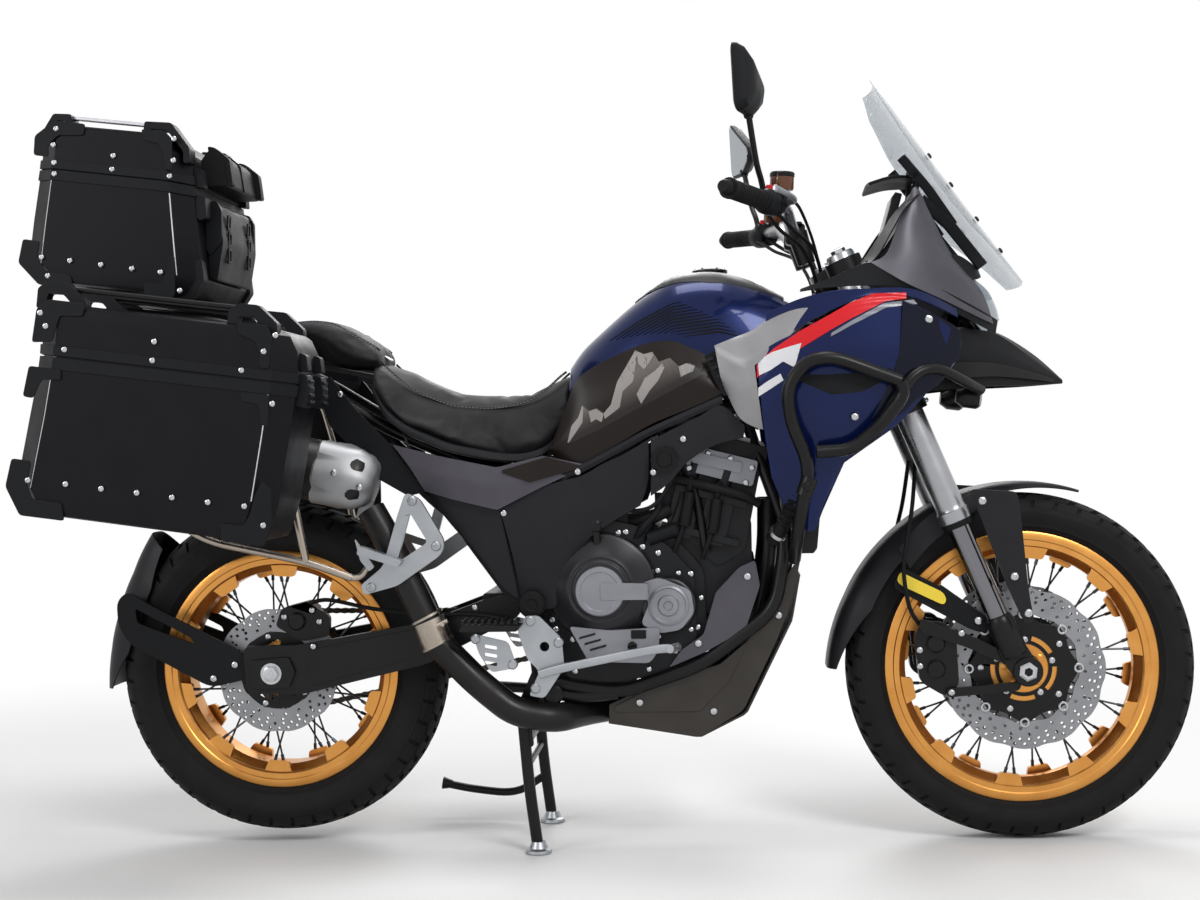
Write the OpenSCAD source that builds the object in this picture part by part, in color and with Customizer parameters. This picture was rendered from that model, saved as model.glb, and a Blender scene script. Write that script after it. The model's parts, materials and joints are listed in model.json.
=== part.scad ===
// Adventure motorcycle with aluminium cases, parked on its centre stand.
// +X is forward, +Y is the rider's left, +Z is up. The origin is on the floor, below the
// middle of the machine. Inside each module X is measured from the rear axle.

/* [Stance] */
// Distance between the two axles
wheelbase = 1420; // [1400:5:1440]
// Height of the rear axle above the floor, with the tyre held clear by the stand
rear_axle_z = 341; // [336:1:346]
// Angle of the steering axis from the vertical, in degrees
rake = 22.4; // [22:0.1:23]
// How far the top case reaches behind the rear axle
rear_overhang = 440; // [438:1:445]

/* [Wheels] */
// Outer diameter of the front tyre
front_tyre_d = 658; // [650:1:664]
// Width of the front tyre
front_tyre_w = 110; // [104:1:112]
// Outer radius of the front rim's edge
front_rim_r = 256; // [254:1:258]
// Outer diameter of the rear tyre
rear_tyre_d = 642; // [636:1:650]
// Width of the rear tyre
rear_tyre_w = 150; // [140:1:152]
// Outer radius of the rear rim's edge
rear_rim_r = 230; // [228:1:232]
// Radius of both axles
axle_r = 12; // [11:0.5:13]
// Spokes in each wheel
spoke_count = 40; // [32:4:40]

/* [Fork] */
// Distance of each fork leg from the centre plane
fork_y = 105; // [103:1:108]
// Radius of the outer fork tubes
fork_outer_r = 27; // [26:0.5:28]
// Radius of the inner fork tubes
fork_inner_r = 20.5; // [20:0.5:21.5]
// How far the fork legs sit behind the front axle, square to the rake
leg_back = 9; // [8:1:10]
// How far the steering axis sits behind the fork legs
stem_back = 35; // [33:1:37]

/* [Cases] */
// Distance of a side case's outer wall from the centre plane
case_outer_y = 480; // [470:1:485]
// Distance of a side case's inner wall from the centre plane
case_inner_y = 245; // [242:1:255]
// Half of the top case's width
top_case_half = 205; // [195:1:212]
// Wall thickness of the aluminium cases
case_wall = 3; // [2:0.5:4]

/* [Stands] */
// Distance of each centre stand leg from the centre plane
stand_y = 135; // [133:1:138]
// Radius of the centre stand's leg tubes
stand_r = 11; // [9:0.5:12]

/* [Hidden] */

$fn = 48;
front_axle_z = front_tyre_d / 2;
rear_axle_x = (rear_overhang - wheelbase - front_tyre_d / 2) / 2;
stem_x = -leg_back - stem_back;
run_gap = 0.05;
stand_pivot = [478, 278];
side_stand_pivot = [590, 183, 262];
side_stand_splay = 16;
inch = 25.4;

// ---------- curves and solids used by several pieces ----------

// Point at f (0..1) between b and c on a smooth curve through a, b, c, d
function between(a, b, c, d, f) =
    0.5 * (2 * b + (c - a) * f + (2 * a - 5 * b + 4 * c - d) * f * f
    + (3 * b - a - 3 * c + d) * f * f * f);

// Point at t (0..1) along the smooth curve through the list p
function along(p, t) =
    let (n = len(p) - 1, s = min(t * n, n - 0.0001), i = floor(s))
    between(p[max(i - 1, 0)], p[i], p[i + 1], p[min(i + 2, n)], s - i);

function curve(p, n) = [for (i = [0 : n]) along(p, i / n)];

function signed_pow(v, e) = sign(v) * pow(abs(v), e);

// Closed section across X: s = [x, half width low, half width high, low z, high z]
function section(s, e, m) = [for (k = [0 : m - 1])
    let (a = 360 * k / m, v = (signed_pow(sin(a), e) + 1) / 2)
    [s[0], signed_pow(cos(a), e) * (s[1] + (s[2] - s[1]) * v), s[3] + (s[4] - s[3]) * v]];

module bike() translate([rear_axle_x, 0, 0]) children();

module both_sides() {
    children();
    mirror([0, 1, 0]) children();
}

// Frame of the fork: origin at the axle, +Z up along the legs
module fork_frame() translate([wheelbase, 0, front_axle_z]) rotate([0, -rake, 0]) children();

// Outline in X and Z, given thickness in Y from y0 towards +Y
module plate(points, y0, t, round_r = 0) translate([0, y0 + t, 0]) rotate([90, 0, 0])
    linear_extrude(t) offset(r = round_r) offset(delta = -round_r) polygon(points);

module rod(a, b, r) {
    d = b - a;
    translate(a) rotate([0, acos(d.z / norm(d)), atan2(d.y, d.x)]) cylinder(h = norm(d), r = r);
}

// Path p with each inner corner rounded by a short curve that starts cut away from it
function bends(p, cut) = let (last = len(p) - 1) concat([p[0]],
    [for (i = [1 : 1 : last - 1])
        let (a = p[i - 1] - p[i], b = p[i + 1] - p[i],
            u = p[i] + a * min(cut / norm(a), 0.45), v = p[i] + b * min(cut / norm(b), 0.45))
        each [u, (u + 2 * p[i] + v) / 4, v]],
    [p[last]]);

function unit(v) = v / norm(v);
function across(v, s) = unit(s - (s * v) * v);

// Directions square to the path at each point, carried along it without twist
function sides(p, i, s) = let (
        last = len(p) - 1,
        v = unit(p[min(i + 1, last)] - p[max(i - 1, 0)]),
        w = across(v, s))
    i == last ? [[w, cross(v, w)]] : concat([[w, cross(v, w)]], sides(p, i + 1, w));

// Bent tube through the points of p, as a ring of flats swept along the path
module tube(p, r, cut = 40, m = 8) {
    path = bends(p, cut);
    d = unit(path[1] - path[0]);
    first = abs(d.z) < 0.8 ? [0, 0, 1] : [0, 1, 0];
    frames = sides(path, 0, first);
    n = len(path) - 1;
    ring_r = r / cos(90 / m);
    id = function (i, j) i * m + (j % m);
    polyhedron(
        points = [for (i = [0 : n], j = [0 : m - 1])
            path[i] + ring_r * (cos(360 * j / m) * frames[i][0] + sin(360 * j / m) * frames[i][1])],
        faces = concat(
            [[for (j = [0 : m - 1]) j]],
            [[for (j = [m - 1 : -1 : 0]) n * m + j]],
            [for (i = [0 : n - 1], j = [0 : m - 1]) each [
                [id(i, j), id(i + 1, j), id(i + 1, j + 1)],
                [id(i, j), id(i + 1, j + 1), id(i, j + 1)]]]));
}

// Drum along Y between y0 and y1
module drum(x, z, y0, y1, r) translate([x, y1, z]) rotate([90, 0, 0]) cylinder(h = y1 - y0, r = r);

// Closed solid between two grids of points, outer on the -Y side, rows upwards, columns forwards
module slab(outer, inner) {
    r = len(outer) - 1;
    c = len(outer[0]);
    n = (r + 1) * c;
    o = function (i, j) i * c + j;
    u = function (i, j) n + i * c + j;
    quads = concat(
        [for (i = [0 : r - 1], j = [0 : c - 2]) [o(i, j), o(i + 1, j), o(i + 1, j + 1), o(i, j + 1)]],
        [for (i = [0 : r - 1], j = [0 : c - 2]) [u(i, j), u(i, j + 1), u(i + 1, j + 1), u(i + 1, j)]],
        [for (j = [0 : c - 2]) [o(0, j), o(0, j + 1), u(0, j + 1), u(0, j)]],
        [for (j = [0 : c - 2]) [o(r, j + 1), o(r, j), u(r, j), u(r, j + 1)]],
        [for (i = [0 : r - 1]) [o(i + 1, 0), o(i, 0), u(i, 0), u(i + 1, 0)]],
        [for (i = [0 : r - 1]) [o(i, c - 1), o(i + 1, c - 1), u(i + 1, c - 1), u(i, c - 1)]]);
    polyhedron(
        points = concat([for (row = outer) each row], [for (row = inner) each row]),
        faces = [for (q = quads) each [[q[0], q[1], q[2]], [q[0], q[2], q[3]]]]);
}

// Body panel on the right side: a ruled sheet from curve low to curve high, crowned outwards
module panel(low, high, crown, t, n = 10, m = 4) {
    a = curve(low, n);
    b = curve(high, n);
    grid = [for (i = [0 : m]) [for (j = [0 : n])
        a[j] + (b[j] - a[j]) * i / m - [0, 4 * crown * (i / m) * (1 - i / m), 0]]];
    slab(grid, [for (row = grid) [for (p = row) p + [0, t, 0]]]);
}

// Solid lofted along X through the sections of s
module loft(s, e, n, m) {
    rings = [for (row = curve(s, n)) section(row, e, m)];
    id = function (i, j) i * m + (j % m);
    polyhedron(
        points = [for (ring = rings) each ring],
        faces = concat(
            [[for (j = [0 : m - 1]) j]],
            [[for (j = [m - 1 : -1 : 0]) n * m + j]],
            [for (i = [0 : n - 1], j = [0 : m - 1]) each [
                [id(i, j), id(i + 1, j), id(i + 1, j + 1)],
                [id(i, j), id(i + 1, j + 1), id(i, j + 1)]]]));
}

// ---------- wheels ----------

// Tyre section: rounded crown, sidewalls drawn in to the rim's edges
module tyre(d, w, edge_r, bead_r, bead_half) {
    shape = [[0, 0.76], [0.2, 0.94], [0.48, 1], [0.75, 0.87], [0.93, 0.5], [1, 0]];
    half = [for (p = curve(shape, 10)) [edge_r + 1 + (d / 2 - edge_r - 1) * p[0], p[1] * w / 2]];
    other = [for (i = [len(half) - 2 : -1 : 0]) [half[i][0], -half[i][1]]];
    rotate([90, 0, 0]) rotate_extrude($fn = 96)
        polygon(concat([[bead_r, bead_half], [edge_r + 1, bead_half]], half, other,
            [[edge_r + 1, -bead_half], [bead_r, -bead_half]]));
}

// Rim section: two raised edges, bead seats and a dropped centre
module rim(edge_r, bead_r, bead_half) {
    half = [
        [edge_r, bead_half + 6], [edge_r, bead_half + 1], [bead_r - 1, bead_half + 0.5],
        [bead_r - 4, bead_half - 12], [bead_r - 18, bead_half - 24]];
    low = [
        [bead_r - 24, bead_half - 22], [bead_r - 10, bead_half - 8], [bead_r - 8, bead_half + 6]];
    flip = function (p) [p[0], -p[1]];
    rotate([90, 0, 0]) rotate_extrude($fn = 96) polygon(concat(
        half, [for (i = [4 : -1 : 0]) flip(half[i])],
        [for (i = [2 : -1 : 0]) flip(low[i])], low));
}

// Hub with two flanges, and the spokes that run from them to the edges of the rim
module hub(half_len, flange_y, flange_r, end_r, end_y) {
    step = 720 / spoke_count;
    lean = 38;
    difference() {
        union() {
            drum(0, 0, -half_len, half_len, 30);
            for (s = [-1, 1]) drum(0, 0, s * flange_y - 4, s * flange_y + 4, flange_r);
        }
        drum(0, 0, -half_len - 1, half_len + 1, axle_r + run_gap);
    }
    for (s = [-1, 1], k = [0 : spoke_count / 2 - 1]) {
        a = k * step + (s + 1) * step / 4;
        b = a + (k % 2 == 0 ? lean : -lean);
        rod([(flange_r - 3) * cos(a), s * flange_y, (flange_r - 3) * sin(a)],
            [end_r * cos(b), s * end_y, end_r * sin(b)], 2.1);
    }
}

// Brake disc with its spider: a ring on six arms round a bolted centre
module disc(y0, t, outer_r, band_r, bore_r) difference() {
    drum(0, 0, y0, y0 + t, outer_r);
    drum(0, 0, y0 - 1, y0 + t + 1, bore_r);
    for (k = [0 : 5]) rotate([0, 60 * k, 0])
        drum((band_r + bore_r) / 2 + 4, 0, y0 - 1, y0 + t + 1, (band_r - bore_r) / 3);
}

module at_front_wheel() bike() translate([wheelbase, 0, front_axle_z]) children();
module at_rear_wheel() bike() translate([0, 0, rear_axle_z]) children();

front_bead_r = 19 * inch / 2;
rear_bead_r = 17 * inch / 2;

module front_tyre() color("#1b1b1c") at_front_wheel()
    tyre(front_tyre_d, front_tyre_w, front_rim_r, front_bead_r, 36);

module front_rim() color("#c98a2b") at_front_wheel() rim(front_rim_r, front_bead_r, 36);

module front_hub_and_discs() color("#c98a2b") at_front_wheel() {
    hub(61, 40, 46, front_bead_r - 10, 38);
    both_sides() disc(62, 5, 152, 112, 34);
}

module rear_tyre() color("#1b1b1c") at_rear_wheel()
    tyre(rear_tyre_d, rear_tyre_w, rear_rim_r, rear_bead_r, 52);

module rear_rim() color("#c98a2b") at_rear_wheel() rim(rear_rim_r, rear_bead_r, 52);

module rear_hub_and_disc() color("#c98a2b") at_rear_wheel() {
    hub(72, 46, 54, rear_bead_r - 10, 54);
    difference() {
        drum(0, 0, 73, 79, 60);
        drum(0, 0, 72, 80, axle_r + run_gap);
    }
    difference() {
        drum(0, 0, 79, 87, 92);
        drum(0, 0, 78, 88, axle_r + run_gap);
        for (k = [0 : 5]) rotate([0, 60 * k, 0]) drum(64, 0, 78, 88, 14);
    }
    disc(-79, 5, 120, 84, 34);
}

// ---------- fork body ----------

stem_low_z = 528;
stem_high_z = 812;
clamp_t = 34;

module clamp_outline(ring_r) {
    difference() {
        union() {
            for (s = [-1, 1]) translate([-leg_back, s * fork_y]) circle(ring_r);
            translate([stem_x, 0]) circle(30);
            polygon([[stem_x - 26, -30], [-leg_back - 22, -fork_y], [-leg_back + 16, -fork_y],
                [-leg_back + 6, 0], [-leg_back + 16, fork_y], [-leg_back - 22, fork_y],
                [stem_x - 26, 30]]);
        }
        for (s = [-1, 1]) translate([-leg_back, s * fork_y]) circle(fork_outer_r + run_gap);
    }
}

module fork_clamps() color("#1d1e20") bike() fork_frame() {
    translate([0, 0, stem_low_z]) linear_extrude(clamp_t) clamp_outline(36);
    translate([0, 0, stem_high_z]) linear_extrude(24) clamp_outline(34);
    translate([stem_x, 0, stem_low_z + 10]) cylinder(h = stem_high_z - stem_low_z, r = 14);
    for (s = [-1, 1]) translate([stem_x - 12, s * 45, stem_high_z + 20]) cylinder(h = 34, r = 15);
}

module fork_legs() color("#a9abad") bike() fork_frame() both_sides() {
    difference() {
        union() {
            translate([-leg_back, -fork_y, 306]) cylinder(h = 545, r = fork_outer_r);
            translate([-leg_back, -fork_y, 40]) cylinder(h = 270, r = fork_inner_r);
            translate([-leg_back, -fork_y, 20]) cylinder(h = 96, r = 26);
            translate([0, -fork_y + 15, 0]) rotate([90, 0, 0]) cylinder(h = 34, r = 27);
            translate([-leg_back - 24, -fork_y - 16, 0]) cube([46, 30, 60]);
        }
        translate([0, 0, 0]) rotate([90, 0, 0]) cylinder(h = 200, r = axle_r - 3.5);
    }
    difference() {
        rotate([90, 0, 0]) cylinder(h = fork_y - 14, r = axle_r);
        rotate([90, 0, 0]) cylinder(h = 200, r = axle_r - 3.5);
    }
}

bar_path = [[1004, -62, 1156], [985, -190, 1196], [950, -282, 1190]];
bar_r = 11;
grip_end = [882, -409, 1199];

module bar_half() tube(concat([[1012, 0, 1153]], bar_path), bar_r);

module handlebar() color("#b5b3ae") bike() both_sides() {
    bar_half();
    // Grip, switch housing, lever and fluid cup
    a = bar_path[2];
    rod(a + (grip_end - a) * 0.05, grip_end, 17);
    rod([968, -236, 1193], [954, -274, 1190.5], 23);
    tube([[982, -262, 1192], [998, -300, 1188], [962, -405, 1196]], 6);
    translate([978, -250, 1216]) cylinder(h = 30, r = 22);
    translate([978, -250, 1200]) cylinder(h = 17, r = 8);
}

module mirrors() color("#1a1a1b") bike() both_sides() {
    tube([[948, -262, 1219], [940, -300, 1244], [922, -352, 1336]], 5.5);
    plate([[908, 1332], [926, 1340], [944, 1382], [914, 1447], [900, 1440], [890, 1380]],
        -427, 140, 4);
}

// Arched guard over a wheel: a ring sector at the right radius, from angle a0 to a1
module arch(r, t, half_w, a0, a1) rotate([90, 0, 0]) rotate([0, 0, a0])
    translate([0, 0, -half_w]) rotate_extrude(angle = a1 - a0, $fn = 96)
    translate([r, 0]) square([t, 2 * half_w]);

module front_mudguard() color("#1a1b1c") bike() translate([wheelbase, 0, front_axle_z]) {
    arch(348, 4, 74, 72, 178);
    both_sides() {
        plate([[-98, 342], [-22, 342], [0, 152], [10, 98], [-36, 160]], -76, 4, 4);
        plate([[-250, 244], [-138, 143], [-66, 90], [-90, 78], [-258, 160]], -76, 4, 4);
    }
}

module front_brake_calipers() color("#151516") bike() translate([wheelbase, 0, front_axle_z])
    both_sides() difference() {
        plate([[-196, 84], [-116, 62], [-110, -28], [-150, -46], [-196, 4]], -98, 46, 12);
        drum(0, 0, -70, -59, 157);
    }

// ---------- frame body ----------

module main_frame() color("#1c1c1e") bike() {
    // Steering head between the fork clamps
    fork_frame() translate([stem_x, 0, stem_low_z + clamp_t + 2]) difference() {
        cylinder(h = stem_high_z - stem_low_z - clamp_t - 4, r = 26);
        translate([0, 0, -1]) cylinder(h = 400, r = 14 + run_gap);
    }
    both_sides() {
        // Upper spar from the head, beside the airbox, down to the swingarm pivot
        tube([[1060, -24, 905], [960, -60, 850], [740, -108, 800], [560, -112, 690],
            [500, -112, 560], [498, -112, 470], [512, -112, 330]], 16);
        // Cradle tube under the engine
        tube([[1074, -22, 880], [985, -60, 790], [975, -110, 680], [975, -132, 560],
            [955, -138, 452], [816, -138, 350], [665, -138, 300], [532, -134, 318]], 13);
    }
    tube([[505, -112, 470], [505, 112, 470]], 18);
    // Lugs that carry the centre stand
    both_sides() difference() {
        plate([[462, 262], [496, 262], [540, 330], [500, 345]], -121, 7, 5);
        drum(stand_pivot[0], stand_pivot[1], -140, 0, 7 + run_gap);
    }
    // Bracket and tilted bolt of the side stand
    at_side_pivot() {
        translate([0, 0, -46]) cylinder(h = 60, r = 6);
        translate([0, 0, -46]) cylinder(h = 26, r = 18);
    }
    // Tail that carries the seats and the racks
    both_sides() {
        tube([[530, -80, 697], [400, -96, 725], [230, -100, 800], [60, -100, 905],
            [-60, -96, 950], [-250, -90, 985]], 11);
        tube([[505, -142, 545], [330, -120, 650], [200, -100, 780]], 10);
    }
    tube([[-60, -96, 950], [-60, 96, 950]], 9);
    // Underside of the tail, over the rear wheel
    translate([-150, -86, 914]) cube([330, 172, 6]);
}

module crankcase() difference() {
    plate([[540, 400], [540, 551], [562, 622], [634, 645], [716, 628], [824, 528], [826, 398],
        [795, 335], [700, 300], [566, 305]], -118, 236, 14);
    translate([500, 76, 330]) cube([140, 24, 150]);
}

module cylinders() plate([[736, 644], [792, 768], [806, 786],
    [950, 746], [933, 700], [901, 552], [852, 528]], -115, 230, 10);

module engine_block() color("#2a2b2d") bike() {
    crankcase();
    cylinders();
}

module engine_covers() color("#3a3b3d") bike() {
    drum(633, 494, -186, -119, 78);
    drum(758, 464, -172, -119, 52);
    plate([[575, 425], [745, 425], [742, 372], [722, 352], [610, 362]], -168, 49, 8);
    drum(770, 452, 119, 168, 74);
    plate([[540, 470], [640, 470], [640, 350], [548, 345]], 119, 30, 14);
}

module radiator() color("#1b1b1c") bike()
    plate([[1002, 560], [1030, 560], [1052, 790], [1024, 790]], -150, 300, 4);

module exhaust() color("#202022") bike() {
    tube([[202, -170, 640], [240, -178, 590], [292, -182, 479], [328, -182, 404], [402, -182, 328],
        [470, -182, 270], [545, -172, 258], [600, -90, 260], [650, -50, 262]], 23);
    tube([[640, -50, 262], [790, -50, 264], [880, -50, 320], [925, -50, 440], [946, -50, 560],
        [948, -50, 655]], 19);
    tube([[640, -50, 262], [720, 30, 262], [790, 50, 264], [880, 50, 320], [925, 50, 440],
        [946, 50, 560], [948, 50, 655]], 19);
    // Muffler beside the rear wheel
    rod([196, -164, 706], [-190, -164, 790], 58);
    rod([228, -164, 699], [196, -164, 706], 42);
    rod([-190, -164, 790], [-225, -164, 798], 30);
}

tank_rows = [
    [574, 92, 40, 850, 916], [610, 122, 66, 826, 958], [660, 146, 96, 822, 1004],
    [720, 160, 114, 832, 1050], [780, 166, 120, 846, 1086], [850, 167, 120, 858, 1092],
    [920, 164, 114, 872, 1074], [1000, 150, 94, 900, 1030]];

module fuel_tank() color("#15224f") bike() loft(tank_rows, 0.62, 14, 20);

seat_rows = [
    [214, 132, 92, 850, 950], [240, 156, 100, 822, 914], [313, 160, 108, 776, 868],
    [392, 150, 108, 750, 850], [471, 130, 92, 738, 855], [530, 108, 68, 752, 882],
    [566, 92, 46, 800, 914]];

pillion_rows = [
    [-10, 70, 56, 962, 1006], [40, 112, 88, 962, 1012], [88, 124, 96, 962, 1018],
    [138, 126, 96, 940, 1004], [208, 120, 84, 925, 966]];

module seats() color("#1a1a1b") bike() {
    loft(seat_rows, 0.6, 12, 20);
    loft(pillion_rows, 0.6, 8, 20);
}

// Brown-black panel beside the tank's foot
module side_panels() color("#2b2624") bike() both_sides() panel(
    [[536, -140, 745], [581, -160, 710], [660, -172, 730], [730, -178, 753], [823, -184, 806],
        [846, -186, 850]],
    [[540, -140, 760], [585, -160, 840], [640, -172, 890], [714, -178, 915], [800, -184, 935],
        [846, -186, 940]], 4, 4);

// Grey side cover under the seat
module side_covers() color("#4a4a4d") bike() both_sides() panel(
    [[176, -150, 818], [240, -166, 776], [312, -172, 694], [444, -172, 655], [540, -172, 690],
        [594, -172, 712]],
    [[180, -150, 905], [228, -166, 818], [312, -172, 768], [400, -172, 742], [500, -172, 732],
        [594, -172, 722]], 3, 4);

// Dark cover over the frame above the swingarm pivot
module lower_covers() color("#2c2d2f") bike() both_sides() panel(
    [[440, -150, 640], [466, -158, 530], [505, -160, 458], [540, -158, 458], [552, -158, 530],
        [585, -158, 590], [690, -158, 650], [822, -162, 742]],
    [[446, -156, 652], [480, -160, 664], [520, -160, 678], [560, -164, 692], [600, -166, 704],
        [640, -166, 716], [730, -168, 744], [830, -170, 790]], 2, 4, 14);

module fairing_panels() color("#15224f") bike() both_sides() {
    panel(
        [[955, -215, 705], [1006, -238, 625], [1066, -242, 590], [1105, -244, 690],
            [1164, -246, 760], [1240, -240, 830], [1296, -215, 905]],
        [[965, -222, 985], [1020, -240, 1018], [1070, -246, 1032], [1130, -246, 1034],
            [1190, -240, 1012], [1240, -228, 980], [1300, -212, 940]], 8, 4);
    // Silver insert between the tank and the blue panel
    panel([[846, -190, 925], [860, -196, 850], [890, -202, 780], [945, -212, 700]],
        [[860, -190, 960], [890, -198, 976], [925, -208, 985], [958, -216, 990]], 5, 4, 6, 6);
}

module front_cowl() color("#26272a") bike() both_sides() {
    panel(
        [[1008, -225, 1036], [1090, -228, 1040], [1170, -222, 1032], [1250, -205, 998],
            [1330, -160, 968], [1372, -110, 962]],
        [[1010, -222, 1044], [1090, -222, 1075], [1170, -212, 1110], [1220, -198, 1222],
            [1290, -160, 1105], [1350, -110, 1050]], 4, 4);
}

module headlight() color("#c4cbd2") bike() {
    plate([[1240, 1000], [1312, 1088], [1330, 1084], [1372, 1045], [1388, 976], [1300, 968]],
        -92, 184, 6);
}

module beak() color("#17181a") bike() {
    both_sides() panel(
        [[1200, -205, 846], [1316, -160, 850], [1420, -90, 868], [1513, -4, 862]],
        [[1240, -205, 930], [1330, -150, 945], [1420, -80, 916], [1513, -4, 869]], 0, 4);
    plate([[1330, 955], [1400, 945], [1513, 869], [1513, 862], [1400, 925], [1330, 935]],
        -70, 140, 1);
}

module windscreen() color("#c9d6dc", 0.35) bike() {
    n = 8;
    bow = function (z, y) [1442 - (z - 1050) * 0.71 - pow(y / 160, 2) * 42, y, z];
    rows = [for (z = [1050 : 48.75 : 1440]) [for (k = [0 : n])
        let (w = z < 1150 ? 90 + (z - 1050) * 0.75 : 165 - (z - 1150) * 0.18)
        bow(z, w * (2 * k / n - 1))]];
    slab([for (row = rows) [for (p = row) p + [3, 0, 2]]], rows);
}

module instrument_panel() color("#151617") bike() {
    plate([[1146, 1246], [1146, 1257], [1236, 1260], [1262, 1140], [1230, 1135], [1222, 1242]],
        -82, 164, 3);
    translate([1190, -60, 1120]) cube([34, 120, 90]);
}

module crash_bars() color("#1a1a1c") bike() both_sides() {
    tube([[992, -164, 548], [994, -236, 588], [1004, -272, 655], [1018, -274, 720], [985, -282, 800],
        [980, -284, 860], [1012, -286, 905], [1060, -288, 914], [1180, -276, 868]], 12);
    tube([[1180, -276, 868], [1188, -270, 845], [1140, -268, 785], [1092, -270, 748],
        [1030, -274, 745]], 12);
}

module skid_plate() color("#3b3835") bike() {
    plate([[640, 240], [646, 232], [812, 212], [900, 256], [988, 430], [1004, 515], [998, 518],
        [982, 432], [894, 262], [810, 218]], -122, 244, 1);
    both_sides() plate([[640, 240], [812, 214], [896, 260], [985, 430], [1002, 515], [975, 500],
        [930, 400], [860, 318], [800, 290], [650, 266]], -122, 4, 2);
}

module footpegs_and_pedals() color("#9fa1a3") bike() {
    both_sides() {
        // Rider's peg and its bracket
        plate([[378, 428], [488, 428], [498, 440], [388, 444]], -262, 60, 3);
        plate([[498, 345], [560, 357], [560, 410], [500, 452], [480, 440]], -200, 8, 6);
        // Pillion's hanger and peg
        plate([[286, 678], [300, 660], [345, 585], [268, 519], [208, 505], [204, 520], [255, 545],
            [290, 590], [270, 640]], -218, 10, 6);
        plate([[190, 575], [268, 548], [276, 560], [196, 590]], -242, 25, 3);
    }
    // Brake pedal on the right and gear lever on the left
    tube([[524, -214, 352], [652, -226, 374], [776, -232, 390]], 7);
    tube([[560, 214, 360], [680, 222, 372], [776, 230, 396]], 6);
}

module luggage_rack() color("#2a2a2c") bike() {
    difference() {
        plate([[-376, 1074], [-376, 1080], [-20, 1030], [-20, 1022]], -150, 300, 1);
        for (s = [-1, 1]) translate([-300, s * 75 - 18, 1000]) cube([190, 36, 120]);
    }
    both_sides() {
        plate([[-300, 1052], [-250, 1045], [-200, 996], [-230, 996]], -104, 6, 2);
        plate([[-60, 1022], [-20, 1016], [-10, 962], [-40, 962]], -112, 6, 2);
        tube([[-190, -232, 960], [-150, -232, 640], [-87, -232, 600], [96, -232, 560],
            [180, -226, 528]], 7);
    }
}

// ---------- cases ----------

module side_body_outline(t) offset(delta = -t)
    polygon([[-360, 716], [-337, 670], [80, 608], [101, 676], [138, 878], [-311, 940]]);

module side_lid_outline(t) offset(delta = -t)
    polygon([[-311, 941], [-301, 1008], [-280, 1030], [118, 974], [141, 930], [138, 879]]);

module side_extrude(y0, y1) translate([0, y1, 0]) rotate([90, 0, 0]) linear_extrude(y1 - y0)
    children();

module side_case_body() difference() {
    side_extrude(-case_outer_y, -case_inner_y) side_body_outline(0);
    side_extrude(-case_outer_y + case_wall, -case_inner_y - case_wall)
        union() {
            side_body_outline(case_wall);
            polygon([[-306, 934], [-311, 990], [130, 990], [133, 874]]);
        }
}

module side_case_lid() difference() {
    side_extrude(-case_outer_y, -case_inner_y) side_lid_outline(0);
    side_extrude(-case_outer_y + case_wall, -case_inner_y - case_wall)
        union() {
            side_lid_outline(case_wall);
            polygon([[-306, 945], [-306, 900], [133, 860], [134, 884]]);
        }
}

module side_cases() color("#1d1d1f") bike() both_sides() side_case_body();
module side_case_right_lid() color("#1d1d1f") bike() translate([0, 0, 0.4]) side_case_lid();
module side_case_left_lid() color("#1d1d1f") bike() translate([0, 0, 0.4])
    mirror([0, 1, 0]) side_case_lid();

module top_body_outline(t) offset(delta = -t)
    polygon([[-440, 1128], [-402, 1089], [-130, 1053], [-106, 1090], [-118, 1265], [-412, 1304]]);

module top_lid_outline(t) offset(delta = -t)
    polygon([[-412, 1305], [-404, 1360], [-367, 1385], [-160, 1360], [-121, 1324], [-118, 1266]]);

module top_case() color("#1d1d1f") bike() {
    difference() {
        side_extrude(-top_case_half, top_case_half) top_body_outline(0);
        side_extrude(-top_case_half + case_wall, top_case_half - case_wall) union() {
            top_body_outline(case_wall);
            polygon([[-408, 1296], [-408, 1330], [-122, 1330], [-122, 1254]]);
        }
    }
    side_extrude(-120, 120) polygon([[-105, 1100], [-92, 1084], [-78, 1165], [-86, 1238], [-112, 1248]]);
}

module top_case_lid() color("#1d1d1f") bike() translate([0, 0, 0.4]) {
    difference() {
        side_extrude(-top_case_half, top_case_half) top_lid_outline(0);
        side_extrude(-top_case_half + case_wall, top_case_half - case_wall) union() {
            top_lid_outline(case_wall);
            polygon([[-408, 1330], [-408, 1260], [-122, 1243], [-122, 1293]]);
        }
    }
    side_extrude(-130, 130) polygon([[-120, 1325], [-100, 1346], [-72, 1325], [-66, 1270], [-115, 1270]]);
}

module tail_light() color("#8c1d1d") bike() {
    translate([-292, -45, 950]) cube([24, 90, 34]);
    both_sides() rod([-280, -46, 967], [-280, -150, 967], 9);
}

// ---------- rear end ----------

module swingarm() color("#1e1f21") bike() {
    both_sides() difference() {
        plate([[-52, 386], [50, 388], [300, 432], [420, 486], [470, 486], [470, 440], [300, 352],
            [45, 302], [-45, 308]], -126, 24, 10);
        drum(0, rear_axle_z, -130, 0, axle_r + run_gap);
    }
    difference() {
        translate([404, -102, 450]) cube([66, 204, 34]);
        drum(505, 470, -110, 110, 20);
    }
    // Fixed axle with its nuts
    drum(0, rear_axle_z, -126, 126, axle_r);
    both_sides() drum(0, rear_axle_z, -140, -126, 22);
}

module rear_shock() color("#7d2020") bike() {
    rod([441, 0, 491], [470, 0, 640], 26);
    rod([470, 0, 640], [475, 0, 690], 16);
}

chain_y = 83;

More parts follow.
